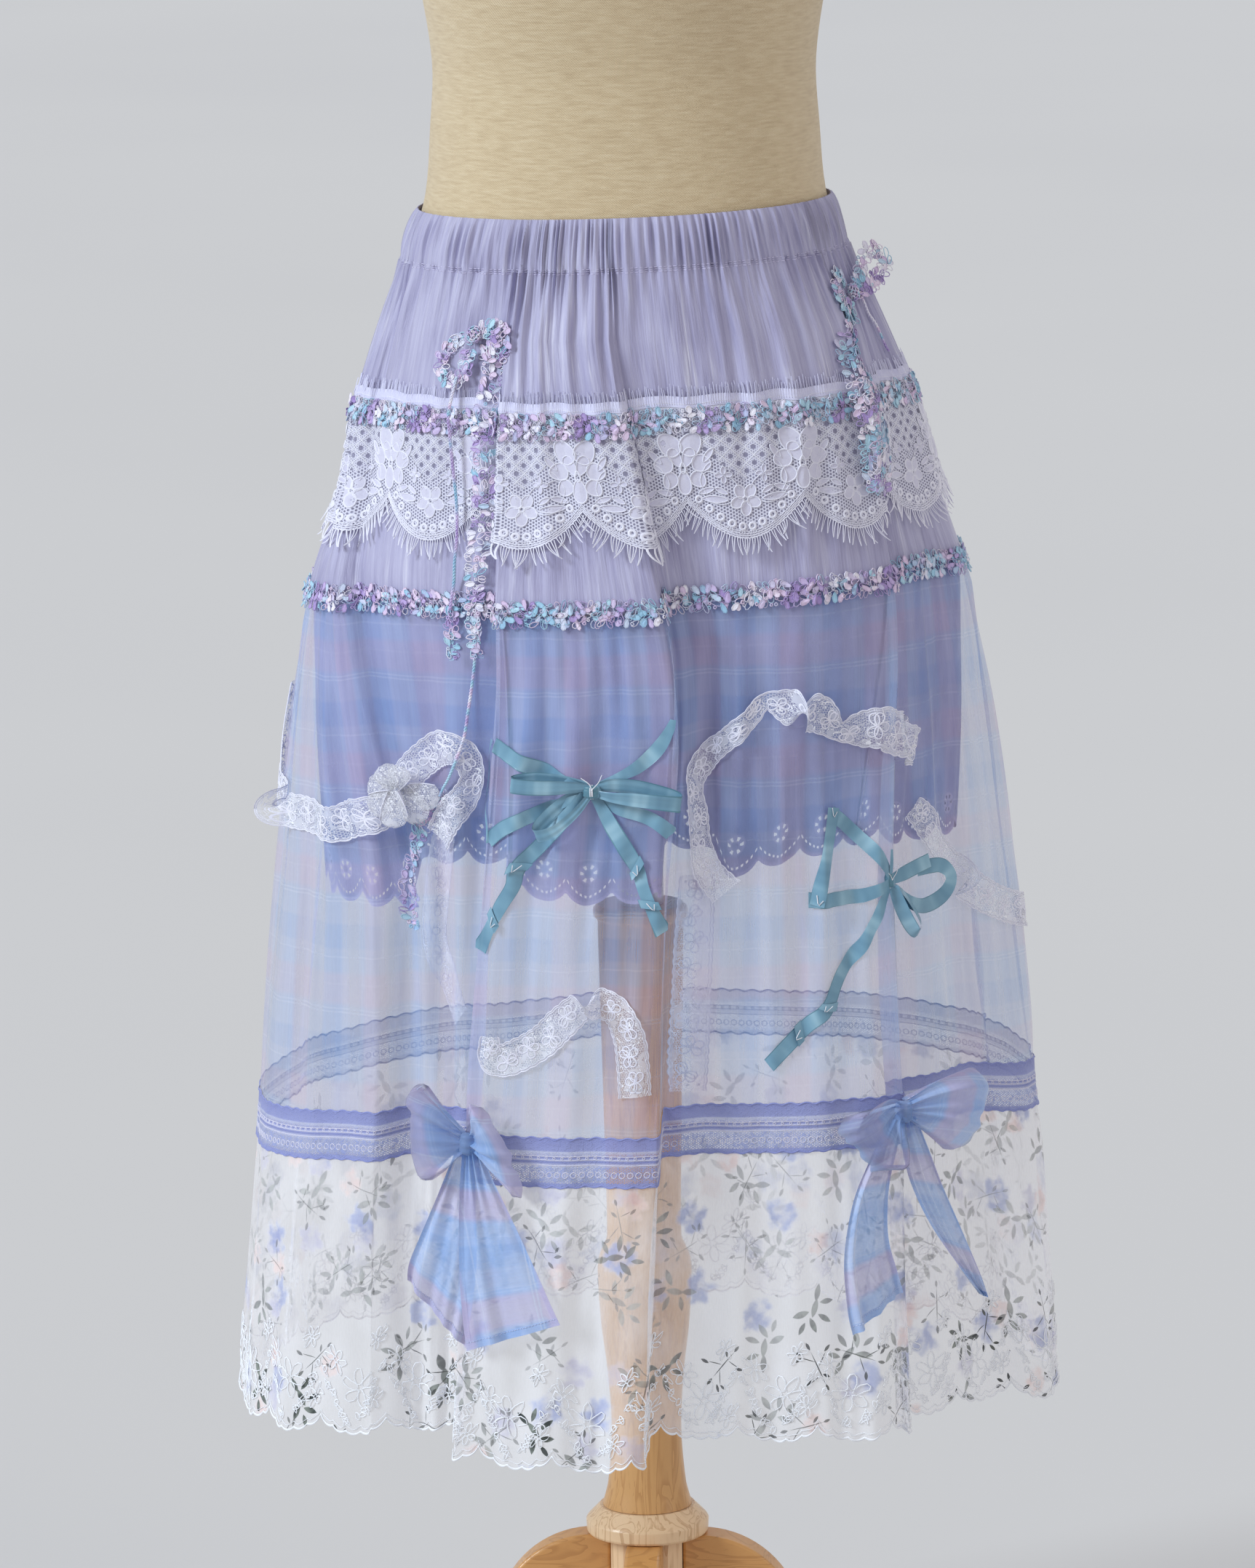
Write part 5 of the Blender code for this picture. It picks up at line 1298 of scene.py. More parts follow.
def build_trims():
    """Tatted trims along the lace's heading and the sheer tier's seam."""
    for name, surface, arc, node, seed in (("tatted_trim_upper", trim_1, LACE_ARC, "tatted_trim_1", 41),
                                           ("tatted_trim_lower", trim_2, SEAM_ARC, "tatted_trim_2", 43)):
        bundle = Bundle()
        tatting(bundle, surface, 0.0, arc.length, TRIM_SPREAD, seed)
        bundle.make(name, TATTING, "tatting", node)


# Ribbons: strips laid on the cloth, or free in a local frame

STRETCH_HEIGHTS = np.linspace(0.25, 1.06, 24)
STRETCH = np.array([Arc(z).length for z in STRETCH_HEIGHTS]) / MAIN.length


def run_at(degrees, heights):
    """Main running length of places at angles and heights."""
    found = []
    for angle, height in zip(degrees, heights):
        angles = np.degrees(cloth_angle(MAIN.u, np.full(len(MAIN.u), height)))
        found.append(np.interp(angle, angles, MAIN.s))
    return np.array(found)


def spline(rows, spacing, lengths):
    """Catmull-Rom curve through rows; lengths are the metres from each row to the next."""
    rows = np.asarray(rows, float)
    pieces = []
    for k in range(len(rows) - 1):
        p0, p1, p2, p3 = (rows[min(max(k + i, 0), len(rows) - 1)] for i in (-1, 0, 1, 2))
        count = max(1, round(lengths[k] / spacing))
        t = np.arange(count)[:, None] / count
        cubic = 2 * p1 + (p2 - p0) * t + (2 * p0 - 5 * p1 + 4 * p2 - p3) * t ** 2
        pieces.append(0.5 * (cubic + (3 * p1 - p0 - 3 * p2 + p3) * t ** 3))
    return np.concatenate(pieces + [rows[-1:]])


class LaidStrip:
    """Strip on the cloth. Route rows: degrees, height, lift in mm, share of the width.

    It turns over at each share of its length in turns, and inside means behind the cloth.
    """

    def __init__(self, route, half, inside=False, turns=()):
        route = np.array(route, float)
        run = run_at(route[:, 0], route[:, 1])
        rows = np.stack([run, route[:, 1], route[:, 2] * MM, route[:, 3]], -1)
        grow = np.interp(rows[:-1, 1], STRETCH_HEIGHTS, STRETCH)
        path = spline(rows, 1.5 * MM, np.hypot(np.diff(rows[:, 0]) * grow, np.diff(rows[:, 1])))
        self.run, self.height, self.lift, self.share = path.T
        self.grow = np.interp(self.height, STRETCH_HEIGHTS, STRETCH)
        along = np.stack([np.gradient(self.run) * self.grow, np.gradient(self.height)], -1)
        steps = np.linalg.norm(along, axis=-1)
        self.s = np.concatenate([[0.0], np.cumsum((steps[1:] + steps[:-1]) / 2)])
        self.length = self.s[-1]
        along /= steps[:, None]
        self.side = np.stack([-along[:, 1], along[:, 0]], -1)
        self.half, self.inside, self.turns = half, inside, turns

    def width(self, s):
        return self.half * np.interp(s, self.s, self.share)

    def point(self, s, d, lift=0.0):
        """Point s along and d to the upper side, lifted off the cloth."""
        s, d = np.broadcast_arrays(s, d)
        read = [np.interp(s, self.s, v) for v in (self.run, self.height, self.lift, self.grow, *self.side.T)]
        run, height, raised, grow, side_run, side_height = read
        turn = sum(np.pi * step(s, a * self.length - 9 * MM, a * self.length + 9 * MM) for a in self.turns)
        across, stand = d * np.cos(turn), d * np.sin(turn) + self.width(s) * np.abs(np.sin(turn))
        out = raised + stand + lift
        if self.inside:
            out = raised - stand - lift
        return skin(MAIN, run + side_run * across / grow, height + side_height * across, out)[0]


class FreeStrip:
    """Strip through points, each with the direction of its width and its half width.

    Waves as high as pleat run along it, and its edges fall back by bulge, both in metres.
    """

    def __init__(self, centres, across, half, pleat=0.0, pleats=2, seed=0, rounding=0.0, bulge=0.0):
        rows = np.concatenate([centres, across, np.asarray(half)[:, None]], -1)
        lengths = np.linalg.norm(np.diff(centres, axis=0), axis=-1)
        path = spline(rows, 1.6 * MM, lengths)
        self.centre, self.across, self.halves = path[:, :3], unit(path[:, 3:6]), path[:, 6]
        tangent = unit(np.gradient(self.centre, axis=0))
        self.normal = unit(np.cross(tangent, self.across))
        steps = np.linalg.norm(np.diff(self.centre, axis=0), axis=-1)
        self.s = np.concatenate([[0.0], np.cumsum(steps)])
        self.length = self.s[-1]
        self.pleat, self.pleats, self.seed = pleat, pleats, seed
        self.rounding, self.bulge = rounding, bulge

    def width(self, s):
        return np.interp(s, self.s, self.halves)

    def point(self, s, d, lift=0.0):
        """Point s along and d across; a rounded loop's outer corners are drawn in."""
        s, d = np.broadcast_arrays(s, d)
        share = d / np.maximum(self.width(s), 1e-4)
        if self.rounding:
            reach = 1 - self.rounding * np.abs(share) ** 3
            s = np.where(s < self.length / 2, s * reach, self.length - (self.length - s) * reach)
            d = share * self.width(s)
        read = [np.stack([np.interp(s, self.s, v) for v in table.T], -1)
                for table in (self.centre, self.across, self.normal)]
        rng = np.random.default_rng(self.seed)
        wave = 0.0
        for k in range(1, 5):
            phase, drift = rng.uniform(0, 2 * np.pi), rng.normal(0, 9)
            turns = np.pi * self.pleats * (0.5 + 0.5 * k)
            wave = wave + np.cos(share * turns + phase + drift * s) / (1 + 0.5 * k)
        mid = np.sin(np.pi * np.clip(s / self.length, 0, 1))
        out = lift + self.pleat * wave * (1 - 0.55 * mid) - self.bulge * share ** 2 * mid
        return read[0] + read[1] * d[..., None] + read[2] * np.asarray(out)[..., None]


def strip_grid(strip, columns, scallops=0.0):
    """Points and uv of a strip: length down the grid, width across it."""
    s = np.linspace(0, strip.length, max(8, round(strip.length / (1.7 * MM))))[:, None]
    half = strip.width(s)
    if scallops:
        half = scalloped(half, s, scallops)
    d = half * np.linspace(-1, 1, columns)[None]
    return strip.point(s, d), paired(s, d)


def strip_sheet(name, strip, material, columns, scallops=0.0):
    """Cloth of one strip."""
    return grid_object(name, *strip_grid(strip, columns, scallops), material)


class Spot:
    """Local frame on the cloth: x right, y up and w out, in mm. facing turns it about y, in degrees."""

    def __init__(self, degrees, height, out, facing=0.0):
        run = run_at([degrees], [height])[0]
        self.origin = skin(MAIN, run, height, out, creased=0.0)[0]
        drop = WAIST_HEIGHT - height
        angle = math.radians(degrees)
        right = np.array((smooth(DROPS, WIDTHS, np.array(drop)) * math.cos(angle),
                          smooth(DROPS, DEPTHS, np.array(drop)) * math.sin(angle), 0.0))
        self.right = unit(right)
        above, below = (skin(MAIN, run_at([degrees], [z])[0], z, out, creased=0.0)[0]
                        for z in (height + 10 * MM, height - 20 * MM))
        slope = unit(above - below)
        slope = unit(slope - self.right * (slope @ self.right))
        self.up, outward = slope, unit(np.cross(self.right, slope))
        turn = math.radians(facing)
        self.out = outward * math.cos(turn) - self.right * math.sin(turn)
        self.right = self.right * math.cos(turn) + outward * math.sin(turn)

    def at(self, x, y, w):
        x, y, w = (np.asarray(v, float)[..., None] * MM for v in (x, y, w))
        return self.origin + self.right * x + self.up * y + self.out * w


def leaned(spot, rows, pleat=0.0, pleats=2, seed=0, rounding=0.0, bulge=0.0, tilt=0.0):
    """Free strip from rows: x, y, out, half width, lean of the width from upright."""
    x, y, w, half, lean = np.array(rows, float).T
    lean = np.radians(lean)[:, None]
    across = spot.right * np.sin(lean) + spot.up * np.cos(lean) + spot.out * tilt
    return FreeStrip(spot.at(x, y, w), unit(across), half * MM, pleat * MM, pleats, seed, rounding,
                     bulge * MM)


def scalloped(half, s, pitch):
    """Half width of a ribbon with small scallops along its edges."""
    return half * (1 + 0.07 * np.abs(np.sin(np.pi * s / pitch)) - 0.04)


def in_plane(spot, rows, half, tilt=0.0):
    """Free strip bent round in its own plane. Rows: x, y, out, share of the half width."""
    x, y, w, share = np.array(rows, float).T
    dx, dy = np.gradient(x), np.gradient(y)
    size = np.hypot(dx, dy)
    across = spot.right * (-dy / size)[:, None] + spot.up * (dx / size)[:, None]
    strip = FreeStrip(spot.at(x, y, w), unit(across + spot.out * tilt), half * share)
    strip.half = half
    return strip


def knot(name, spot, centre, size, material, ridges=0.06):
    """Small wound knot, centre and size in mm."""
    rows, sides = 15, 30
    up = np.linspace(-1, 1, rows)[:, None]
    a = np.linspace(0, 2 * np.pi, sides, endpoint=False)[None]
    ball = np.sqrt(np.clip(1 - (0.94 * up) ** 2, 0, 1))
    barrel = np.sqrt(np.clip(1 - (0.985 * up) ** 6, 0, 1))
    crumple = 1 + ridges * np.sin(up * 9 + 2.2 * np.sin(a)) * np.abs(up) ** 0.3
    wide = (ball * 0.35 + 0.65 * barrel) * crumple
    x = centre[0] + size[0] / 2 * wide * np.cos(a)
    w = centre[2] + size[2] / 2 * wide * np.sin(a)
    y = centre[1] + size[1] / 2 * up + 0 * a
    turn = np.append(a[0], 2 * np.pi)[None]
    uv = paired(up * size[1] / 2 * MM, turn * size[0] / 2 * MM)
    return grid_object(name, spot.at(x, y, w)[::-1], uv, material, wrap=True)


def strip_piece(name, strip, material, slot, node, columns, scallops=0.0):
    """Sheet of cloth along a strip."""
    piece = dress(strip_sheet(name, strip, material, columns, scallops), slot, node)
    s = np.linspace(0, strip.length, 60)
    width = max(10 * MM, 2 * float(strip.width(s).mean()))


def tack(bundle, strip, s, d=0.0, size=2.2 * MM, lift=0.35 * MM):
    """Small crossed hand stitches through a strip."""
    for lean in (35, 100, 150):
        c, k = math.cos(math.radians(lean)) * size / 2, math.sin(math.radians(lean)) * size / 2
        path = np.array(((s - c, d - k), (s, d), (s + c, d + k)))[None]
        bundle.cords(strip.point, path, 0.5 * MM, 0.45 * MM, lift)


def long_stitch(bundle, strip, s, size=4.5 * MM, lean=1.0, lift=0.5 * MM):
    """Thin hand stitch in the shape of a V across a strip."""
    path = np.array(((s - size, -0.30 * size * lean), (s + 0.2 * size, 0.10 * size * lean),
                     (s + 0.5 * size, 0.35 * size * lean), (s - 0.4 * size, 0.75 * size * lean)))
    bundle.cords(strip.point, path[None], 0.55 * MM, 0.4 * MM, lift)


def folded_piece(name, strips, columns, material, slot, node):
    """Several strips of one folded ribbon as one sheet."""
    piece = dress(joined_sheets(name, [strip_grid(strip, columns) for strip in strips], material), slot, node)


def running_stitch(bundle, strip, share, length=2.2 * MM, gap=1.6 * MM):
    """Dashes of thread along a strip, at a share of its half width."""
    starts = np.arange(2 * MM, strip.length - length, length + gap)[:, None]
    s = starts + np.linspace(0, length, 3)[None]
    bundle.cords(strip.point, paired(s, strip.width(s) * share), 0.45 * MM, 0.35 * MM, 0.1 * MM)


# Tatted bows on the hips

ON_CLOTH = 0.8
WIDE_ON_CLOTH = 1.8
CLOSE_ON_CLOTH = 1.4
OVER_FLOUNCE = 10.4
OVER_TRIM = 4.8
TAT_HALF = 5.2 * MM


def tatted_strip(name, strip, seed, node=None):
    """Strip of tatting: leaves where it is wide, a twisted cord where it is thin."""
    bundle = Bundle()

    def surface(s, d, lift):
        return strip.point(s, d * strip.width(s) / strip.half, lift)

    wide = strip.width(strip.s) > 0.3 * strip.half
    edges = np.flatnonzero(np.diff(np.concatenate([[0], wide.astype(int), [0]])))
    for number, (first, last) in enumerate(zip(edges[::2], edges[1::2])):
        start, end = strip.s[first], strip.s[min(last, len(strip.s) - 1)]
        if end - start > 5 * MM:
            tatting(bundle, surface, start, end, strip.half, seed + number, 3.1 * MM)
    thin = strip.s[~wide]
    if len(thin) > 4:
        twisted(bundle, strip, thin[0] - 3 * MM, thin[-1] + 3 * MM, seed)
    bundle.make(name, TATTING, "tatting", node)


def twisted(bundle, strip, start, end, seed, radius=0.7 * MM):
    """Two plies wound round each other along a strip."""
    rng = np.random.default_rng(seed)
    s = np.linspace(max(start, 0), min(end, strip.length), max(12, int((end - start) / (0.8 * MM))))
    turn = 2 * np.pi * s / (4.2 * MM)
    changes = np.interp(s / TATTING_RUN / 2, np.arange(60), rng.uniform(0, 1, 60))
    for phase in (0, np.pi):
        path = strip.point(s, 0.42 * MM * np.cos(turn + phase), 0.6 * MM + 0.42 * MM * np.sin(turn + phase))
        out = strip.point(s, 0.0, 3 * MM) - strip.point(s, 0.0, 0.0)
        bundle.tubes(path[None], unit(out)[None], radius, 4, tone=changes[None])


GOLDEN_TURN = 2.39996         # radians between neighbours of an even spread over a ball


def tatted_knot(name, spot, centre, size, node, seed):
    """Ball of tatting round a knot."""
    rng = np.random.default_rng(seed)
    bundle = Bundle()
    count = 46
    k = np.arange(count)
    up = 1 - 2 * (k + 0.5) / count
    flat = np.sqrt(1 - up ** 2)
    direction = np.stack([flat * np.cos(k * GOLDEN_TURN), up, flat * np.sin(k * GOLDEN_TURN)], -1)
    place = np.array(centre) + direction * np.array(size) / 2 * 0.8
    axes = np.stack([spot.right, spot.up, spot.out])
    middle = spot.origin + place @ axes * MM
    outward = unit(direction @ axes)
    side = unit(np.cross(outward, rng.normal(0, 1, (count, 3))))
    other = np.cross(outward, side)
    t = np.linspace(0, 2 * np.pi, 9, endpoint=False)[:, None]
    long = rng.uniform(1.5, 2.4, (count, 1, 1)) * MM
    wide = rng.uniform(0.9, 1.3, (count, 1, 1)) * MM
    path = middle[:, None] + side[:, None] * long * np.cos(t) + other[:, None] * wide * np.sin(t)
    normals = np.broadcast_to(outward[:, None], path.shape)
    bundle.tubes(path, normals, 0.48 * MM, 3, True, rng.uniform(0, 1, count))
    bundle.make(name, TATTING, "tatting", node)


def build_tatted_bows():
    """Bow of tatted trim on each hip, with long tails."""
    left = Spot(-38.5, 0.982, 0.5 * MM)
    tatted_knot("bow_left_knot", left, (0, 0, 3.3), (12.2, 13.2, 7), "tatted_bow_left_knot", 51)
    right = Spot(68, 1.000, 2.4 * MM)
    tatted_knot("bow_right_knot", right, (0, 0, 2.0), (10.6, 13.4, 7.5), "tatted_bow_right_knot", 52)
    loops = (
        ("bow_left_loop_1", left, (
            (-4.5, -2, 1, 0.7), (-14, -4, 1.5, 1), (-21, -11, 2, 1), (-23.5, -20, 3, 1),
            (-20, -28, 4.8, 1), (-12, -31.5, 6, 1), (-5, -27, 5.8, 1), (-3, -18, 5.2, 1),
            (-2.6, -6, 4.4, 0.7)), "tatted_bow_left_loop_1"),
        ("bow_left_loop_2", left, (
            (4.5, 0, 1.5, 0.4), (11.5, 4, 3, 0.9), (17, 7, 4.5, 1), (22, 3, 5.5, 1), (23, -6, 5.0, 1),
            (19.5, -16, 3.2, 1)), "tatted_bow_left_loop_2"),
        ("bow_left_fold", left, (
            (3, 2, 4, 0.6), (9, 5.5, 6, 1), (15, 2, 7, 1), (16, -8, 6, 1), (13, -17, 5, 0.9)), None),
        ("bow_right_loop_1", right, (
            (-3, 5.5, 1, 0.5), (-8, 13, 2, 0.9), (-15, 13, 2, 1), (-18, 4, 2, 1), (-15, -6, 2, 1),
            (-10, -8, 2.4, 1), (-6.4, -3, 2.6, 0.6)), "tatted_bow_right_loop_1"),
        ("bow_right_loop_2", Spot(68, 1.000, 2.4 * MM, 24), (
            (5.4, 2, 1, 0.5), (11, 10, 2, 0.9), (17, 18, 2, 1), (26, 24, 2, 1), (34, 19, 2, 1),
            (34, 10, 2, 1), (25, 5, 2, 1), (15, 0, 1.6, 0.8), (6, -3, 1, 0.4)), "tatted_bow_right_loop_2"),
    )
    for seed, (name, spot, rows, node) in enumerate(loops):
        tatted_strip(name, in_plane(spot, rows, TAT_HALF), 61 + 5 * seed, node)
    tails = (
        ("bow_left_tail", "tatted_bow_left_tail", TAT_HALF, (
            (-34.6, 0.976, 3.0, 0.8), (-32.7, 0.958, 2.6, 1), (-32.6, 0.946, 6.4, 1),
            (-32.4, 0.93, 9.6, 1), (-32.2, 0.912, OVER_FLOUNCE, 1), (-31.9, 0.893, OVER_FLOUNCE, 1),
            (-31.6, 0.868, OVER_FLOUNCE, 1), (-31.5, 0.842, OVER_FLOUNCE, 0.9),
            (-31.4, 0.826, 6.4, 0.8), (-31.1, 0.811, 5.4, 0.7), (-30.8, 0.797, 4.2, 0.6),
            (-30.5, 0.782, 1.6, 0.45), (-30.6, 0.77, ON_CLOTH, 0.18), (-31.0, 0.745, 3.3, 0.16),
            (-31.6, 0.724, 3.8, 0.16), (-33.6, 0.702, 3.6, 0.16), (-36.6, 0.688, 2.8, 0.35),
            (-39.2, 0.672, 1.6, 0.9), (-41.4, 0.655, ON_CLOTH, 1.2), (-42.5, 0.635, ON_CLOTH, 1.5),
            (-41.8, 0.614, ON_CLOTH, 1.6), (-40.8, 0.597, ON_CLOTH, 1.2))),
        ("bow_left_cord", "tatted_bow_left_cord", TAT_HALF, (
            (-41.4, 0.956, 5.0, 0.16), (-41.6, 0.945, 7.0, 0.16), (-41.6, 0.932, 9.4, 0.16),
            (-40.6, 0.92, OVER_FLOUNCE, 0.16), (-39.6, 0.898, OVER_FLOUNCE, 0.16),
            (-38.4, 0.878, OVER_FLOUNCE, 0.16), (-37.0, 0.857, OVER_FLOUNCE, 0.16),
            (-36.4, 0.84, 9.0, 0.16), (-36.1, 0.826, OVER_TRIM, 0.16), (-35.9, 0.812, OVER_TRIM, 0.3),
            (-35.7, 0.799, 4.2, 0.6), (-35.5, 0.786, 1.6, 0.6), (-35.4, 0.776, 1.0, 0.55))),
        ("bow_right_tail", "tatted_bow_right_tail", 2.1 * TAT_HALF, (
            (65.4, 0.994, 2.4, 0.7), (60.5, 0.984, 4.0, 0.9), (57.2, 0.972, 3.0, 1),
            (55.0, 0.958, 3.8, 1), (53.6, 0.946, 7.4, 1), (52.4, 0.931, 10.6, 1),
            (51.3, 0.917, 11.0, 1), (50.4, 0.903, 11.0, 0.9), (49.6, 0.889, OVER_FLOUNCE, 0.8),
            (49.0, 0.877, OVER_FLOUNCE, 0.6))),
        ("bow_right_cord", None, TAT_HALF, (
            (70.6, 0.998, 2.6, 0.16), (73.4, 0.996, 2.0, 0.16), (74.4, 0.987, 2.0, 0.16),
            (75.4, 0.978, 2.0, 0.16), (75.8, 0.967, 2.4, 0.16), (76.5, 0.96, 3.4, 0.16))),
    )
    for seed, (name, node, half, route) in enumerate(tails):
        tatted_strip(name, LaidStrip(route, half), 91 + 7 * seed, node)


# Satin bows

SATIN_HALF = 5 * MM


def build_satin_bows():
    """Two flat bows of narrow satin ribbon, tacked to the sheer tier in white thread."""
    stitches = Bundle()
    centre_satin_bow(stitches)
    right_satin_bow(stitches)
    stitches.make("white_stitches", WHITE_THREAD, "satin")


def centre_satin_bow(stitches):
    """Bow with four flat arms, three folded loops and two tails."""
    centre = Spot(-7.5, 0.6998, 0.0)
    name = "satin_bow_centre_"
    dress(knot("teal_centre_knot", centre, (0, 0, 5.2), (11.6, 9, 7), SATIN), "satin", name + "knot")
    arms = (
        ("upper_left", (
            (-24.2, 0.7268, 1.2, 1), (-21.0, 0.721, 1.2, 1), (-17.0, 0.7145, 1.2, 1),
            (-13.0, 0.7085, 1.6, 0.8), (-9.8, 0.7045, 2.4, 0.5), (-8.2, 0.7025, 3.4, 0.35))),
        ("upper_right", (
            (4.8, 0.746, 1.2, 0.25), (4.0, 0.737, 1.2, 0.65), (2.4, 0.727, 1.2, 0.9),
            (-0.2, 0.717, 1.2, 0.85), (-3.0, 0.7105, 1.6, 0.6), (-6.6, 0.704, 3.0, 0.35))),
        ("lower_left", (
            (-24.4, 0.6655, 1.2, 1), (-21.6, 0.6745, 1.2, 1), (-18.2, 0.6815, 1.2, 0.95),
            (-14.4, 0.6885, 1.6, 0.85), (-10.6, 0.6955, 2.4, 0.5), (-8.4, 0.699, 3.0, 0.3))),
        ("lower_right", (
            (4.2, 0.6735, 1.2, 0.8), (2.6, 0.68, 1.2, 0.9), (0.2, 0.685, 1.2, 0.85),
            (-3.5, 0.6895, 1.8, 0.75), (-7.0, 0.696, 3.0, 0.5))),
    )
    turned_back = LaidStrip((
        (-24.5, 0.73, 1.2, 0.25), (-24.8, 0.718, 1.4, 0.2), (-25.0, 0.708, 1.4, 0.2),
        (-25.0, 0.689, 1.4, 0.2), (-24.8, 0.674, 1.4, 0.2), (-24.5, 0.664, 1.2, 0.25)), SATIN_HALF)
    turned_back = dress(strip_sheet("teal_turned_back", turned_back, SATIN, 5), "satin")
    for side, route in arms:
        strip_piece("teal_" + side, LaidStrip(route, SATIN_HALF), SATIN, "satin", name + side, 9)
    loops = (
        ("loop_left", (
            (-3, 3, 6.0, 2.6, 0), (-12, 3, 8.6, 3.8, 0), (-24, 2.6, 10.4, 4.8, 2),
            (-38, 2.6, 10.6, 5.2, 4), (-49, 3.4, 8.6, 5.2, 6), (-52.5, 4.4, 6.5, 5.2, 6),
            (-49, 6.2, 4.8, 5, 6), (-36, 7.6, 4.2, 5, 4), (-18, 6.4, 4.0, 4, 0), (-3, 4, 4.0, 2.6, 0))),
        ("loop_right", (
            (3, -1, 6.0, 2.2, 0), (12, -3, 8.8, 3.2, 6), (26, -4.4, 10.6, 4.4, 10),
            (41, -6, 10.8, 5, 12), (53, -7.2, 8.8, 5.4, 10), (57.5, -7.3, 6.5, 5.6, 8),
            (53, -3.6, 4.8, 5.4, 10), (36, 1.4, 4.2, 5.2, 12), (24, 3.6, 4.0, 5, 8),
            (12, 4.2, 4.0, 4.4, 2), (3, 3, 4.0, 3, 0))),
    )
    for side, rows in loops:
        strip = leaned(centre, rows, 0.35, 1, 7, tilt=0.25)
        strip_piece("teal_centre_" + side, strip, SATIN, "satin", name + side, 11)
    strip = leaned(centre, (
        (-2, -3, 7, 2, -40), (-10, -13, 9, 2.8, -46), (-22, -23.5, 10.5, 3.4, -44),
        (-32, -28, 10, 4.4, -30), (-36.5, -27.5, 8, 4.8, -22), (-33, -21, 5.4, 4.6, -30),
        (-21, -9.5, 4.4, 4.6, -40), (-9, -2, 4.2, 4, -45), (-2, -1, 4.0, 2.4, -45)), 0.3, 1, 9, tilt=0.25)
    strip_piece("teal_centre_loop_lower", strip, SATIN, "satin", None, 11)
    tails = (
        ("tail_left", (
            (-8.6, 0.7, 3.4, 0.5), (-12.2, 0.68, 2.8, 0.95), (-15.8, 0.664, 2.4, 1),
            (-18.9, 0.65, 1.4, 1), (-19.6, 0.638, 1.4, 0.95), (-21.4, 0.625, 1.4, 0.95),
            (-23.0, 0.612, 1.4, 0.85), (-24.8, 0.596, 1.4, 1.05)), (0.51, 0.82)),
        ("tail_right", (
            (-7.6, 0.6995, 3.4, 0.5), (-4.6, 0.679, 2.8, 1.0), (-2.4, 0.664, 2.4, 1),
            (-0.7, 0.651, 1.4, 0.9), (0.1, 0.639, 1.4, 0.8), (1.3, 0.626, 1.4, 0.8),
            (2.8, 0.611, 1.4, 1.1)), (0.56, 0.80)),
    )
    for side, route, folds in tails:
        strip = LaidStrip(route, SATIN_HALF)
        tuck_ribbon("teal_centre_" + side, strip, folds, name + side, stitches)
    wound_thread(stitches, centre, (0, 0, 5.2), (12.4, 9, 7.8))


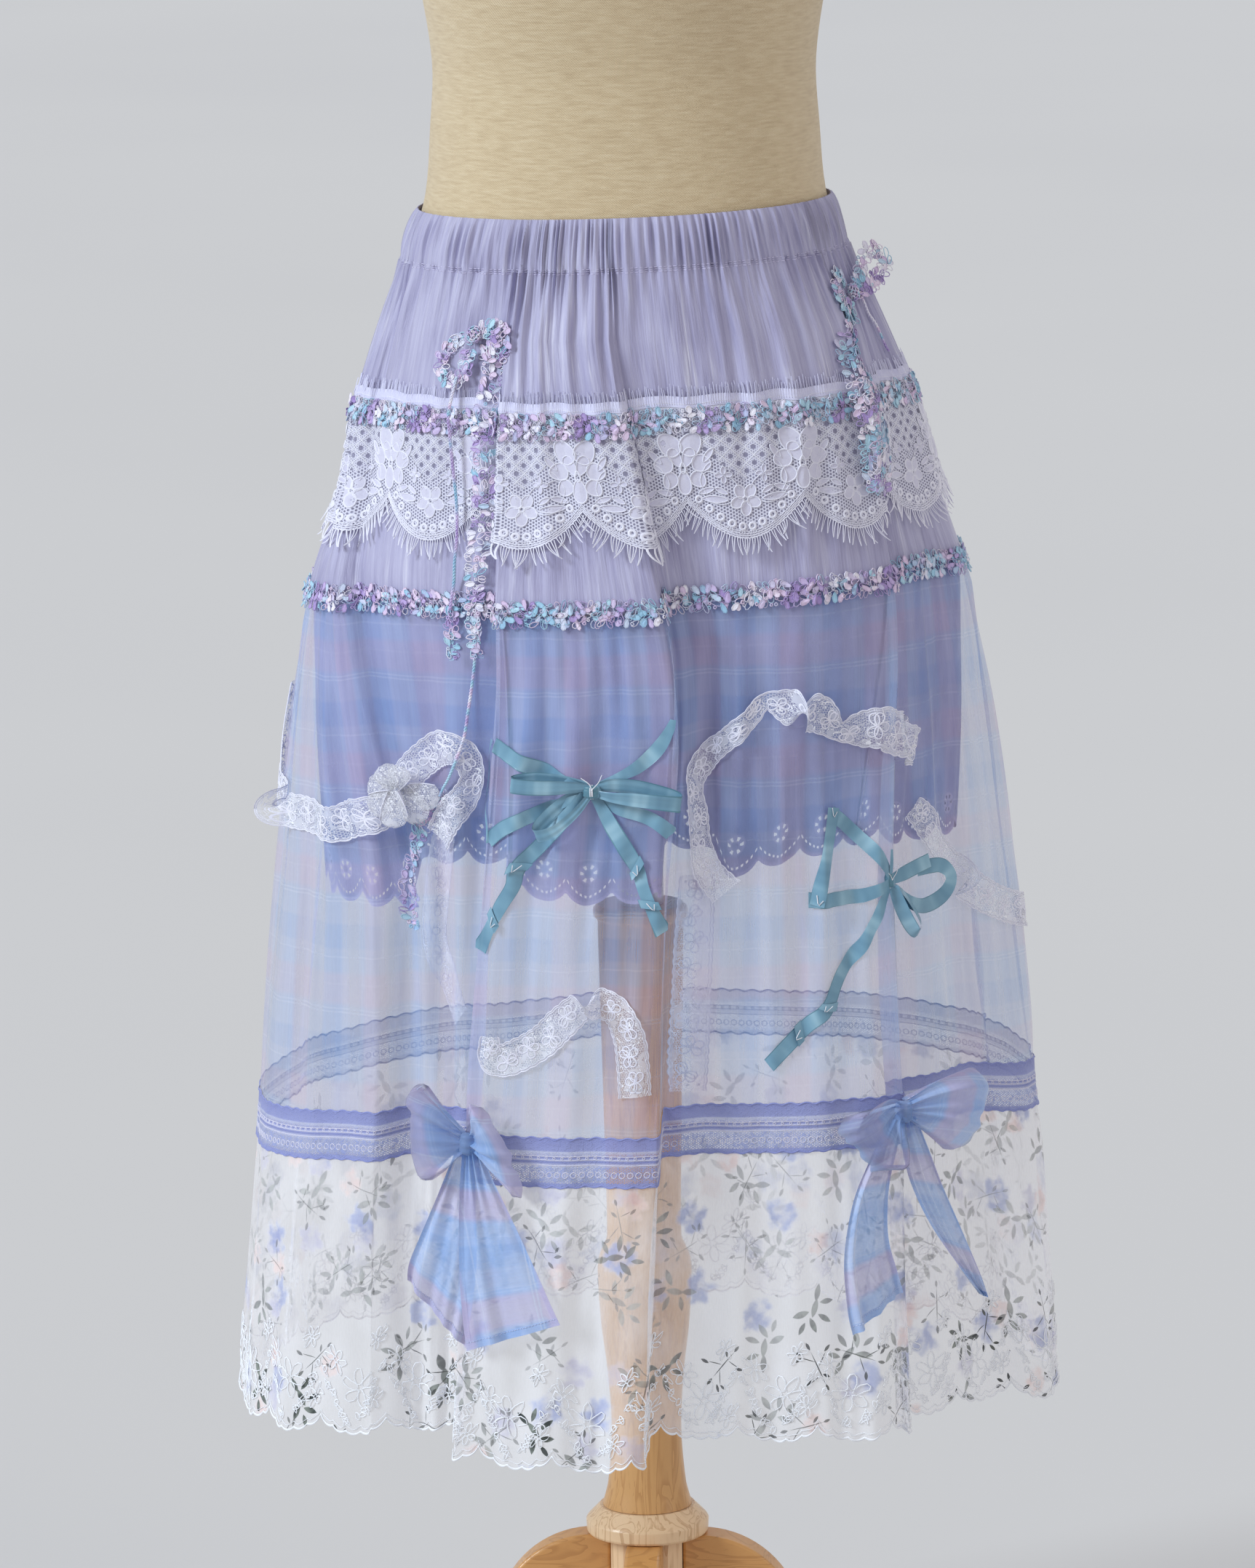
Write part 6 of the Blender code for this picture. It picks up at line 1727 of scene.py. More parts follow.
def right_satin_bow(stitches):
    """Bow with a left loop folded flat, two loops bent round in their plane and one tail."""
    right = Spot(39.0, 0.632, 0.0)
    name = "satin_bow_right_"
    dress(knot("teal_right_knot", right, (0, 1, 4.4), (7, 10, 6), SATIN), "satin", name + "knot")
    folded = [LaidStrip(route, SATIN_HALF) for route in (
        (
            (39.0, 0.637, 3.4, 0.6), (37.2, 0.65, 2.2, 0.8), (34.6, 0.663, 1.8, 0.85),
            (32.2, 0.673, 1.8, 0.9), (30.0, 0.68, 1.8, 0.9)),
        (
            (30.6, 0.683, 2.4, 0.9), (29.6, 0.666, 2.2, 0.9), (28.7, 0.65, 2.0, 0.85),
            (27.5, 0.634, 2.2, 0.9), (26.6, 0.621, 2.4, 0.95)),
        (
            (25.6, 0.6245, 1.6, 1.0), (29.5, 0.624, 1.6, 0.95), (33.6, 0.625, 1.8, 0.9),
            (37.4, 0.63, 2.4, 0.75), (39.0, 0.633, 3.4, 0.6)))]
    folded_piece("teal_right_loop_left", folded, 9, SATIN, "satin", name + "loop_left")
    long_stitch(stitches, folded[1], 4 * MM, 4 * MM)
    long_stitch(stitches, folded[1], folded[1].length - 3 * MM, 4 * MM)
    flat = [in_plane(right, rows, SATIN_HALF, 0.12) for rows in (
        ((0, 1, 5.4, 0.6), (9, 4, 6.4, 0.95), (20, 7.4, 6.4, 1), (31, 10.4, 6, 1)),
        (
            (23, 5, 2.6, 0.9), (34, 6.4, 3.0, 1), (42, 5.4, 3.8, 0.95), (47.4, -1, 4.6, 0.8),
            (46, -8, 4.2, 0.85), (40, -14, 3.4, 0.95), (31, -18, 2.6, 1), (23, -18.4, 2.2, 0.95),
            (13, -13, 2.2, 0.8), (2, -2, 2.0, 0.5)))]
    folded_piece("teal_right_loop_right", flat, 9, SATIN, "satin", name + "loop_right")
    end = in_plane(right, ((-0.5, 3, 6.4, 0.2), (0.6, 12, 7.4, 0.25), (1.4, 21, 7.6, 0.16)), SATIN_HALF)
    end = dress(strip_sheet("teal_right_end", end, SATIN, 5), "satin")
    strip = in_plane(right, (
        (1, -3, 6.4, 0.7), (5, -17, 8, 0.95), (11, -30, 8.6, 1), (16, -35.4, 8.4, 1),
        (19.6, -29, 7.6, 1), (15, -18, 6.6, 0.95), (9, -8, 5.6, 0.9), (2, -2, 5.2, 0.6)), SATIN_HALF, 1.3)
    strip_piece("teal_right_loop_lower", strip, SATIN, "satin", name + "loop_lower", 9)
    strip = LaidStrip((
        (38.8, 0.631, 3.0, 0.5), (37.4, 0.622, 1.6, 0.7), (36.2, 0.612, 1.4, 0.75),
        (35.0, 0.604, 1.4, 0.75), (33.6, 0.594, 1.4, 0.8), (31.2, 0.582, 1.4, 0.9),
        (29.2, 0.57, 1.4, 1), (27.2, 0.554, 1.4, 1), (24.0, 0.543, 1.4, 1),
        (19.0, 0.519, 1.4, 1)), SATIN_HALF)
    tuck_ribbon("teal_right_tail", strip, (0.62, 0.80), name + "tail", stitches)
    wound_thread(stitches, right, (0, 0, 3.8), (9.6, 9, 6.2))


def tuck_ribbon(name, strip, folds, node, stitches):
    """Satin tail with small flat pleats across it, each caught with one long stitch."""
    pleats = []
    for number, share in enumerate(folds):
        side = 1 if number % 2 else -1
        a = np.linspace(-2.9, 2.7, 4)[:, None] * MM
        d = np.linspace(-1.16, 1.16, 6)[None] * strip.half
        raised = 0.8 * MM + 0.24 * (a + 3.4 * MM)
        points = strip.point(share * strip.length + a + 0.62 * side * d, d, raised)
        pleats.append((points, paired(a, d * 0.8)))
        long_stitch(stitches, strip, share * strip.length + 2.0 * MM, 4.2 * MM, side, 2.5 * MM)
    folded = dress(joined_sheets(name + "_pleats", pleats, SATIN), "satin")
    strip_piece(name, strip, SATIN, "satin", node, 9)


def wound_thread(bundle, spot, centre, size, turns=3):
    """White thread wound round a knot, with two loose ends."""
    a = np.linspace(0, 2 * np.pi * turns, 26 * turns)
    x = centre[0] - 1.2 + 2.4 * a / a[-1]
    path = spot.at(x, centre[1] + size[1] / 2 * np.cos(a), centre[2] + size[2] / 2 * np.sin(a))
    out = spot.at(x, centre[1] + np.cos(a) * 50, centre[2] + np.sin(a) * 50) - path
    bundle.tubes(path[None], unit(out)[None], 0.3 * MM, 4)
    for x, y in ((7.5, 10), (-6, 8)):
        t = np.linspace(0, 1, 12)
        path = spot.at(x * t + 1.2 * np.sin(4 * t), 1 + y * t ** 0.8, centre[2] + size[2] / 2 + 0.6 - 1.5 * t)
        bundle.tubes(path[None], np.broadcast_to(spot.out, path.shape)[None], 0.28 * MM, 4)


# Lace ribbons

RIBBON_HALF = 11 * MM
RIBBON_SCALLOP = 6.5 * MM


def lace_ribbon(side, route, inside=False, turns=()):
    """Lace ribbon with corded scalloped edges, tacked at its ends."""
    strip = LaidStrip(route, RIBBON_HALF, inside, turns)
    bundle = Bundle()
    s = np.linspace(0, strip.length, max(20, round(strip.length / (0.9 * MM))))
    half = scalloped(strip.width(s), s, RIBBON_SCALLOP)
    for edge in (-1, 1):
        for share, width in ((0.985, 0.7), (0.86, 0.4)):
            path = np.stack([s, half * share * edge], -1)[None]
            bundle.cords(strip.point, path, width * MM, 0.5 * MM, 0.15 * MM)
    rng = np.random.default_rng(len(side))
    for k, place in enumerate(np.arange(9 * MM, strip.length - 7 * MM, 17 * MM)):
        wide = float(strip.width(place)) / RIBBON_HALF
        for petal in range(5):
            a = 2 * np.pi * petal / 5 + rng.uniform(0, 1)
            out = oval(3.8 * math.cos(a), 3.8 * math.sin(a), 3.4, 2.4, math.degrees(a), 14, 0.0, 0.2)
            out = out * (1, wide) + (place, (-1) ** k * 1.5 * MM)
            bundle.cords(strip.point, out[None], 0.8 * MM, 0.4 * MM, 0.15 * MM, closed=True)
    cords = bundle.make("ribbon_cords_" + side, LACE_THREAD, "lace")
    strip_piece("ribbon_" + side, strip, RIBBON_LACE, "lace", "lace_ribbon_" + side, 15,
                RIBBON_SCALLOP)
    tacks = Bundle()
    for place in (0.03, 0.97):
        for d in (-0.6, 0.0, 0.6):
            tack(tacks, strip, strip.length * place, float(strip.width(0)) * d)
    tacks.make("ribbon_tacks_" + side, WHITE_THREAD, "lace")


def build_lace_ribbons():
    """Loose lengths of lace ribbon in curves over, and inside, the sheer tier."""
    wide, close = WIDE_ON_CLOTH, CLOSE_ON_CLOTH
    lace_ribbon("left", (
        (-88.0, 0.742, wide, 0.8), (-87.5, 0.71, wide, 0.9), (-84.0, 0.68, wide, 0.9),
        (-73.0, 0.669, wide, 1), (-63.0, 0.667, wide, 1), (-56.0, 0.665, 2.2, 1),
        (-52.5, 0.669, 2.8, 1), (-49.0, 0.676, 11.0, 1), (-46.0, 0.686, 7.0, 1),
        (-43.0, 0.701, 2.6, 0.9), (-40.6, 0.71, wide, 0.9), (-36.0, 0.72, wide, 1),
        (-31.8, 0.717, 2.4, 0.8), (-29.8, 0.703, 3.0, 0.6), (-31.2, 0.688, 3.4, 0.8),
        (-34.2, 0.675, 3.0, 1.1), (-36.4, 0.66, 2.4, 1.0)), turns=(0.30,))
    lace_ribbon("lower", (
        (-22.6, 0.541, close, 0.6), (-22.4, 0.527, close, 0.8), (-19.6, 0.527, close, 1),
        (-15.0, 0.538, close, 1), (-11.5, 0.553, close, 1), (-8.0, 0.565, close, 0.9),
        (-4.2, 0.561, close, 0.9), (-2.2, 0.545, close, 1), (-1.6, 0.525, close, 1),
        (-1.4, 0.506, close, 1)), turns=(0.55,))
    lace_ribbon("right", (
        (50.5, 0.713, 13.0, 0.9), (48.0, 0.716, 19.5, 1.15), (43.6, 0.726, 3.0, 1.25),
        (40.8, 0.731, 2.4, 1.2), (36.6, 0.731, wide, 1.0), (32.8, 0.731, wide, 0.55),
        (29.6, 0.742, wide, 1.1), (25.4, 0.748, wide, 1.1), (21.2, 0.752, wide, 0.5),
        (18.6, 0.743, wide, 0.55), (15.0, 0.73, wide, 0.6), (11.6, 0.718, wide, 0.7),
        (9.6, 0.708, wide, 0.75), (9.0, 0.696, wide, 0.5), (9.4, 0.68, wide, 0.6),
        (9.7, 0.662, wide, 0.6), (10.8, 0.645, wide, 0.85), (13.6, 0.63, wide, 1.05)), turns=(0.40,))
    lace_ribbon("far_right", (
        (51.5, 0.672, 2.0, 0.7), (55.0, 0.66, wide, 1), (59.0, 0.641, wide, 1), (64.0, 0.622, wide, 1),
        (69.0, 0.605, 2.6, 1), (77.0, 0.591, wide, 1), (86.0, 0.583, wide, 0.9)), turns=(0.45,))
    lace_ribbon("inner_left", (
        (-34.6, 0.69, -close - 1.5, 0.9), (-36.0, 0.655, -close - 1.5, 1),
        (-37.0, 0.62, -close - 1.5, 1), (-36.8, 0.592, -close - 1.5, 1), (-34.0, 0.57, -close - 1.5, 1),
        (-31.2, 0.545, -close - 1.5, 0.9)), inside=True)
    lace_ribbon("inner_middle", (
        (9.0, 0.64, -wide - 2, 0.9), (8.2, 0.6, -wide - 1.5, 1), (7.6, 0.56, -wide - 1.5, 1),
        (7.0, 0.52, -wide - 1.5, 1), (6.8, 0.5, -wide - 1.5, 0.9)), inside=True)
    build_rosette()


# Loops of the rosette: lean in degrees, reach, half width, how much lower it lies, its root
# right and up, all in mm
ROSETTE_LOOPS = (
    (-20, 24, 10, 4, 6, 4), (-58, 26, 10.5, 4, 4, 5), (168, 19, 9.5, 0, 0, 1), (122, 18, 9.5, 0, 0, 1),
    (216, 20, 10, 0, 0, 0), (74, 16, 9, 0, 0, 1), (276, 24, 10.5, -1.5, -1, 3),
)
# Course of one loop: share of its reach, out in mm, share of its half width
ROSETTE_COURSE = ((0.06, 15.5, 0.30), (0.45, 17.5, 0.75), (0.85, 17.0, 0.98), (1.0, 15.2, 1.0),
                  (0.85, 13.4, 0.95), (0.45, 12.6, 0.7), (0.06, 12.6, 0.30))


def build_rosette():
    """Fan of looped lace ribbon where the left ribbon crosses itself."""
    spot = Spot(-45.5, 0.689, 0.0, -25)
    loops = []
    edges = Bundle()
    for k, (degrees, reach, half, lower, x, y) in enumerate(ROSETTE_LOOPS):
        a = math.radians(degrees)
        rows = [(x + far * reach * math.cos(a), y + far * reach * 1.08 * math.sin(a), out - lower + 0.25 * k,
                 width * half, -degrees) for far, out, width in ROSETTE_COURSE]
        loop = leaned(spot, rows, 1.1, 4, 70 + k, 0.3, 2.4)
        loops.append(loop)
        s = np.linspace(0, loop.length, 60)
        for share in (-0.97, 0.97):
            edges.cords(loop.point, paired(s, share * loop.width(s))[None], 0.7 * MM, 0.5 * MM, 0.15 * MM)
    edges = edges.make("lace_rosette_edges", LACE_THREAD, "lace")
    folded_piece("lace_rosette_fan", loops, 11, RIBBON_LACE, "lace", "lace_rosette")


# Organza bows

# A row for each bow: side, (degrees, height), then two loops and two tails, each with rows
# of x, y, out and half width in mm, lean of the width in degrees
ORGANZA_BOWS = (
    ("left", (-25.0, 0.4715),
     (
         (-3, 1, 9, 6, -10), (-10, 3, 13, 14, -8), (-18, 5, 18, 24, -6), (-28, 7, 21, 33, -4),
         (-36, 8, 17, 37, -2), (-38.5, 8, 11, 37, -2), (-30, 7, 5, 31, -4), (-17, 5, 4, 16, -8),
         (-3, 1, 4, 6, -10)),
     (
         (3, 1, 10, 7, -10), (8, 0, 15, 14, -18), (13, -1, 20, 26, -23), (20, -2, 23, 35, -24),
         (27, -3, 18, 38, -24), (29, -3, 12, 38, -24), (23, -3, 6, 32, -23), (12, -1, 5, 16, -18),
         (3, 1, 4, 7, -10)),
     (
         (-2, -4, 7, 6, 90), (-6, -20, 6, 9, 92), (-10, -42, 5, 14, 98), (-15, -72, 4.5, 21, 112),
         (-21, -100, 4.5, 27, 128), (-23, -114, 4.5, 29, 136)),
     (
         (3, -4, 10, 6, 90), (6, -20, 11, 10, 88), (12, -45, 11, 17, 84), (20, -78, 11, 25, 78),
         (28, -108, 11, 31, 73), (33, -124, 11, 34, 71))),
    ("right", (37.5, 0.4840),
     (
         (-3, 0, 10, 6, -5), (-9, -2, 15, 13, -15), (-17, -7, 21, 21, -28), (-27, -14, 24, 27, -38),
         (-36, -20, 18, 29, -42), (-37, -21, 11, 29, -42), (-27, -17, 6, 25, -40),
         (-14, -9, 5, 14, -25), (-3, 0, 4.6, 6, -8)),
     (
         (3, 1, 9, 6, 5), (12, 1, 13, 13, 10), (24, 0, 17, 21, 15), (40, -3, 19, 29, 18),
         (56, -7, 14, 34, 20), (59, -8, 9, 35, 20), (42, -4, 5, 28, 18), (20, 0, 4.4, 15, 12),
         (3, 1, 4, 6, 6)),
     (
         (-2, -4, 5, 6, 90), (-12, -25, 4, 9, 86), (-24, -52, 3.4, 13, 84), (-30, -85, 3.4, 17, 76),
         (-27, -115, 3.4, 21, 64), (-24, -130, 3.4, 22, 58)),
     (
         (2, -4, 8, 6, 90), (8, -25, 7, 9, 96), (16, -50, 6, 12, 104), (30, -82, 6, 13, 112),
         (46, -112, 6, 9, 118), (56, -129, 6, 2.5, 122))),
)
BOW_PARTS = ("loop_left", "loop_right", "tail_left", "tail_right")


def bow_part(side, part, strip):
    """Loop or tail of an organza bow, with its turned hems and their stitches."""
    looped = part.startswith("loop")
    stitches = Bundle()
    for share in (-0.94, 0.94):
        running_stitch(stitches, strip, share)
    s = np.linspace(3 * MM, strip.length - 3 * MM, 60)[:, None]
    hems = []
    for share in (np.linspace(-1, -0.88, 4)[None], np.linspace(0.88, 1, 4)[None]):
        d = strip.width(s) * share
        hems.append((strip.point(s, d, 0.4 * MM), paired(s, d)))
    if not looped:
        ends = np.linspace(-0.94, 0.94, 31)[:, None]
        d = (ends[:-1] + (ends[1:] - ends[:-1]) * np.array((0.1, 0.4, 0.7))) * strip.width(strip.length)
        stitches.cords(strip.point, paired(strip.length - 4.6 * MM, d), 0.45 * MM, 0.35 * MM, 0.6 * MM)
        s = np.linspace(strip.length - 5.4 * MM, strip.length, 5)[:, None]
        d = strip.width(s) * np.linspace(-1, 1, 25)[None]
        hems.append((strip.point(s, d, 0.4 * MM), paired(s, d)))
    name = "checked_bow_" + side + "_" + part
    hem = dress(joined_sheets(name + "_hem", hems, BOW_ORGANZA), "organza")
    thread = stitches.make("hem_stitches_" + side + "_" + part, BOW_THREAD, "organza")
    strip_piece(name, strip, BOW_ORGANZA, "organza", "organza_bow_" + side + "_" + part, 33)


def build_organza_bows():
    """Two big bows of the checked organza over the insertion band."""
    for side, (degrees, height), *parts in ORGANZA_BOWS:
        spot = Spot(degrees, height, 0.0)
        ball = knot("checked_bow_" + side + "_knot", spot, (0, 0, 9.0), (12, 15, 12), BOW_ORGANZA, 0.10)
        dress(ball, "organza", "organza_bow_" + side + "_knot")
        for number, (part, rows) in enumerate(zip(BOW_PARTS, parts)):
            seed = number + 4 * len(side)
            if part.startswith("loop"):
                strip = leaned(spot, rows, 2.4, 3.0, 81 + seed, 0.40, 5.0, 0.12)
            else:
                strip = leaned(spot, rows, 2.6, 2.2, 83 + seed)
            bow_part(side, part, strip)


# Sewing and embroidery

def sew_waist():
    """Three rows of lilac stitches over the waist seam."""
    bundle = Bundle()
    surface = partial(beside, WAIST_ARC, partial(line, "waist"), 1)
    starts = np.arange(0, WAIST_ARC.length, 3.0 * MM)[:, None]
    for up in (-1.2 * MM, 0.2 * MM, 1.6 * MM):
        s = starts + np.linspace(0, 1.9 * MM, 3)[None]
        bundle.cords(surface, paired(s, up), 0.55 * MM, 0.35 * MM, 0.1 * MM)
    lilac = thread_look("lilac_thread", (214, 209, 232), (186, 179, 214))
    bundle.make("waist_stitches", lilac, "chiffon")


RING_PITCH = 5.3 * MM         # of the small rings in the insertion lace


def trim_band():
    """Scalloped edges, ladder lines and rings of the insertion lace."""
    surface = partial(beside, BAND_ARC, partial(line, "band_top"), -1)
    s = np.linspace(0, BAND_ARC.length, 1100)
    wave = 1.8 * MM * np.abs(np.sin(np.pi * s / (10.6 * MM)))
    edges = Bundle()
    for d in (0.5 * MM - wave, BAND_HEIGHT - 0.7 * MM + wave):
        edges.cords(surface, paired(s, d)[None], 1.1 * MM, 0.6 * MM, 0.2 * MM)
    edges.make("band_edges", PERIWINKLE_THREAD, "insertion")
    threads = Bundle()
    for down in (0.36, 0.44, 0.55):
        threads.cords(surface, paired(s, BAND_HEIGHT * down)[None], 0.55 * MM, 0.4 * MM, 0.2 * MM)
    starts = np.arange(0, BAND_ARC.length, RING_PITCH)[:, None]
    t = np.linspace(0, 2 * np.pi, 8, endpoint=False)[None]
    for shift, down, size in ((0.0, 0.40, 0.8 * MM), (0.5, 0.76, 1.9 * MM)):
        path = paired(starts + shift * RING_PITCH + size * np.cos(t), BAND_HEIGHT * down + size * np.sin(t))
        threads.cords(surface, path, 0.6 * MM, 0.4 * MM, 0.2 * MM, closed=True)
    threads.make("band_threads", LACE_FILL, "insertion")


# Embroidered flowers in one repeat of the hem: x and height over the edge in mm, size
HEM_FLOWERS = ((0, 30, 1.75), (17, 16, 0.95), (-17, 44, 1.2), (18, 60, 0.9))


def embroider_hem():
    """Corded edge of the printed tier, scattered flowers and sprigs of small leaves."""
    bundle = Bundle()
    surface = partial(beside, HEM_ARC, hem_edge, 1)
    s = np.linspace(0, HEM_ARC.length, 1900)
    bundle.cords(surface, paired(s, 0.6 * MM)[None], 1.5 * MM, 0.7 * MM, 0.0)
    wavy = paired(s, 4.2 * MM + 0.5 * MM * np.sin(s / (1.4 * MM)))
    bundle.cords(surface, wavy[None], 0.5 * MM, 0.4 * MM, 0.0)
    count = round(HEM_ARC.length / HEM_PITCH)
    repeat = HEM_ARC.length / count
    rng = np.random.default_rng(97)
    for x, y, size in HEM_FLOWERS:
        centres = np.stack([(np.arange(count) + rng.uniform(0.4, 0.6, count)) * repeat + x * MM,
                            (y + rng.uniform(-5, 5, count)) * MM], -1)[:, None]
        turn = rng.uniform(0, 2 * np.pi, (count, 1))
        hem_flower(bundle, surface, centres, turn, size)
    for side, rise in ((-1, 0.0), (1, 4.0)):
        for k in range(6):
            x, y = side * (5 + 3.6 * k), 9 + rise + 3.4 * k + 0.35 * k * k
            for lean in (25, 115):
                path = leaf_outline(x, y, 3.2, 1.3, lean if side > 0 else 180 - lean, 8)
                centres = np.stack([(np.arange(count) + 0.5) * repeat + rng.normal(0, 1.2 * MM, count),
                                    rng.normal(0, 1.0 * MM, count)], -1)[:, None]
                bundle.cords(surface, centres + path[None], 0.65 * MM, 0.4 * MM, 0.1 * MM, closed=True)
    bundle.make("hem_embroidery", EMBROIDERY, "print")


def hem_flower(bundle, surface, centres, turn, size):
    """Six-petalled flowers at the centres (count, 1, 2), turned by turn (count, 1)."""
    t = np.linspace(0, 2 * np.pi, 8, endpoint=False)[None]
    long, wide = 3.4 * size * np.cos(t), 1.7 * size * np.sin(t)
    for petal in range(6):
        a = turn + 2 * np.pi * petal / 6
        far = 4.4 * size + long
        path = np.stack([far * np.cos(a) - wide * np.sin(a), far * np.sin(a) + wide * np.cos(a)], -1) * MM
        bundle.cords(surface, centres + path, 0.7 * MM, 0.45 * MM, 0.1 * MM, closed=True)


def build_sewing():
    """Waist stitches, threads of the insertion lace and the hem's embroidery."""
    sew_waist()
    trim_band()
    embroider_hem()


# Form and stand

FORM_LEAN = -0.004
FORM_LEAN_HEIGHTS = (0.79, 1.02)
# Columns: height, half width, half depth, shift to the back.
FORM_ROWS = np.array((
    (0.7905, 0.1080, 0.0800, 0.000), (0.7960, 0.1260, 0.0930, 0.000), (0.8150, 0.1460, 0.1060, 0.001),
    (0.8450, 0.1580, 0.1150, 0.002), (0.8900, 0.1630, 0.1190, 0.002), (0.9300, 0.1600, 0.1180, 0.001),
    (0.9800, 0.1510, 0.1120, 0.000), (1.0240, 0.1420, 0.1060, 0.000), (1.0620, 0.1309, 0.0989, 0.000),
    (1.1050, 0.1270, 0.0950, 0.000), (1.1500, 0.1250, 0.0940, -0.001), (1.2100, 0.1340, 0.1020, -0.004),
    (1.2700, 0.1460, 0.1110, -0.006), (1.3300, 0.1540, 0.1080, -0.002), (1.3800, 0.1600, 0.0950, 0.003),
    (1.4080, 0.1510, 0.0830, 0.005), (1.4280, 0.1190, 0.0700, 0.006), (1.4420, 0.0780, 0.0590, 0.006),
    (1.4600, 0.0570, 0.0530, 0.005), (1.4960, 0.0520, 0.0500, 0.003), (1.5000, 0.0490, 0.0470, 0.003),
))
# Columns: height, radius. Two equal heights make a sharp shoulder.
COLLAR_ROWS = np.array((
    (0.1550, 0.0390), (0.1556, 0.0402), (0.1570, 0.0410), (0.1640, 0.0413), (0.1655, 0.0404),
    (0.1742, 0.0320),
))
COLUMN_ROWS = np.array((
    (0.1745, 0.0300), (0.1900, 0.0262), (0.2280, 0.0235), (0.2650, 0.0255), (0.3000, 0.0296),
    (0.3330, 0.0315), (0.3450, 0.0308), (0.3540, 0.0272), (0.3600, 0.0250), (0.4300, 0.0258),
    (0.5700, 0.0285), (0.5775, 0.0288), (0.5800, 0.0313), (0.5825, 0.0316), (0.5850, 0.0313),
    (0.5880, 0.0285),
))
ROD_ROWS = np.array(((0.5883, 0.0155), (0.7902, 0.0155)))
STAND_TURN = math.radians(-4)
END_RADIUS = 0.4 * MM         # of the pinhole in the middle of a turned piece's flat ends


def lathe(name, rows, count, material, smoothed=True):
    """Closed turned solid through (height, radius) rows, with flat ends."""
    heights, radii = rows.T
    z = np.unique(np.concatenate([np.linspace(heights[0], heights[-1], count), heights]))
    r = smooth(heights, radii, z) if smoothed else np.interp(z, heights, radii)
    z = np.pad(z, 1, mode="edge")[::-1, None]
    r = np.concatenate([[END_RADIUS], r, [END_RADIUS]])[::-1, None]
    a = np.linspace(0, 2 * np.pi, 72, endpoint=False)
    points = np.stack(np.broadcast_arrays(r * np.cos(a), r * np.sin(a), z), -1)
    uv = paired(np.append(a, 2 * np.pi)[None] * 0.03, z)
    obj = grid_object(name, points, uv, material, wrap=True)
    obj.data.set_sharp_from_angle(angle=math.radians(35))
    return obj


def build_form():
    """Smooth padded form in linen, over its table of rounded sections."""
    heights = FORM_ROWS[:, 0]
    z = np.unique(np.concatenate([np.linspace(heights[0], heights[-1], 84), heights]))
    width, depth, back = (smooth(heights, FORM_ROWS[:, k], z) for k in (1, 2, 3))
    low, high = FORM_LEAN_HEIGHTS
    lean = FORM_LEAN * np.clip((z - low) / (high - low), 0, 1)
    grow = np.concatenate([[0.004], np.ones(len(width)), [0.004]])[:, None]
    z, width, depth, back, lean = (np.pad(v, 1, mode="edge")[:, None] for v in (z, width, depth, back, lean))
    a = np.linspace(0, 2 * np.pi, 96, endpoint=False)[None]
    x, y = lean + width * grow * np.sin(a), back - depth * grow * np.cos(a)
    points = np.stack([x, y, np.broadcast_to(z, x.shape)], -1)[::-1]
    uv = paired(np.append(a, 2 * np.pi)[None] * 0.14, z[::-1])
    obj = grid_object("linen_form", points, uv, LINEN, wrap=True)
    obj.data.set_sharp_from_angle(angle=math.radians(50))
    dress(obj, "linen", "dress_form")


def build_stand():
    """Turned column and collar, steel rod, hub and four curved legs."""
    dress(lathe("turned_column", COLUMN_ROWS, 96, PINE), "wood", "stand_column")
    dress(lathe("turned_collar", COLLAR_ROWS, 24, PINE_PALE, smoothed=False), "wood", "stand_collar")
    dress(lathe("height_rod", ROD_ROWS, 4, STEEL), "rod", "stand_rod")
    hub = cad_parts["stand_hub"]
    hub.data.materials.clear()
    hub.data.materials.append(PINE_PALE)
    soften(hub)
    for side, degrees in (("left", 180), ("back", 90), ("right", 0), ("front", -90)):
        dress(curved_leg("curved_leg_" + side, math.radians(degrees) + STAND_TURN), "wood", "leg_" + side)


def soften(obj):
    """Rounded edges on turned and sawn wood."""
    edges = obj.modifiers.new("edges", "BEVEL")
    edges.width = 2.2 * MM
    edges.segments = 3
    edges.limit_method = "ANGLE"
    edges.angle_limit = math.radians(50)


HUB_HALF = 24.3 * MM
HUB_TOP = 0.1547
LEG_HALF = 12 * MM
# Side view of a leg beyond its round shoulder: distance from the pole, height
LEG_UPPER = ((0.1009, 0.1090), (0.1150, 0.0830), (0.1310, 0.0610), (0.1500, 0.0440), (0.1750, 0.0320),
             (0.2060, 0.0250), (0.2160, 0.0200), (0.2180, 0.0120), (0.2140, 0.0))
LEG_LOWER = ((0.1720, 0.0), (0.1500, 0.0060), (0.1240, 0.0200), (0.1010, 0.0400), (0.0780, 0.0560),
             (0.0520, 0.0630), (HUB_HALF, 0.0640))


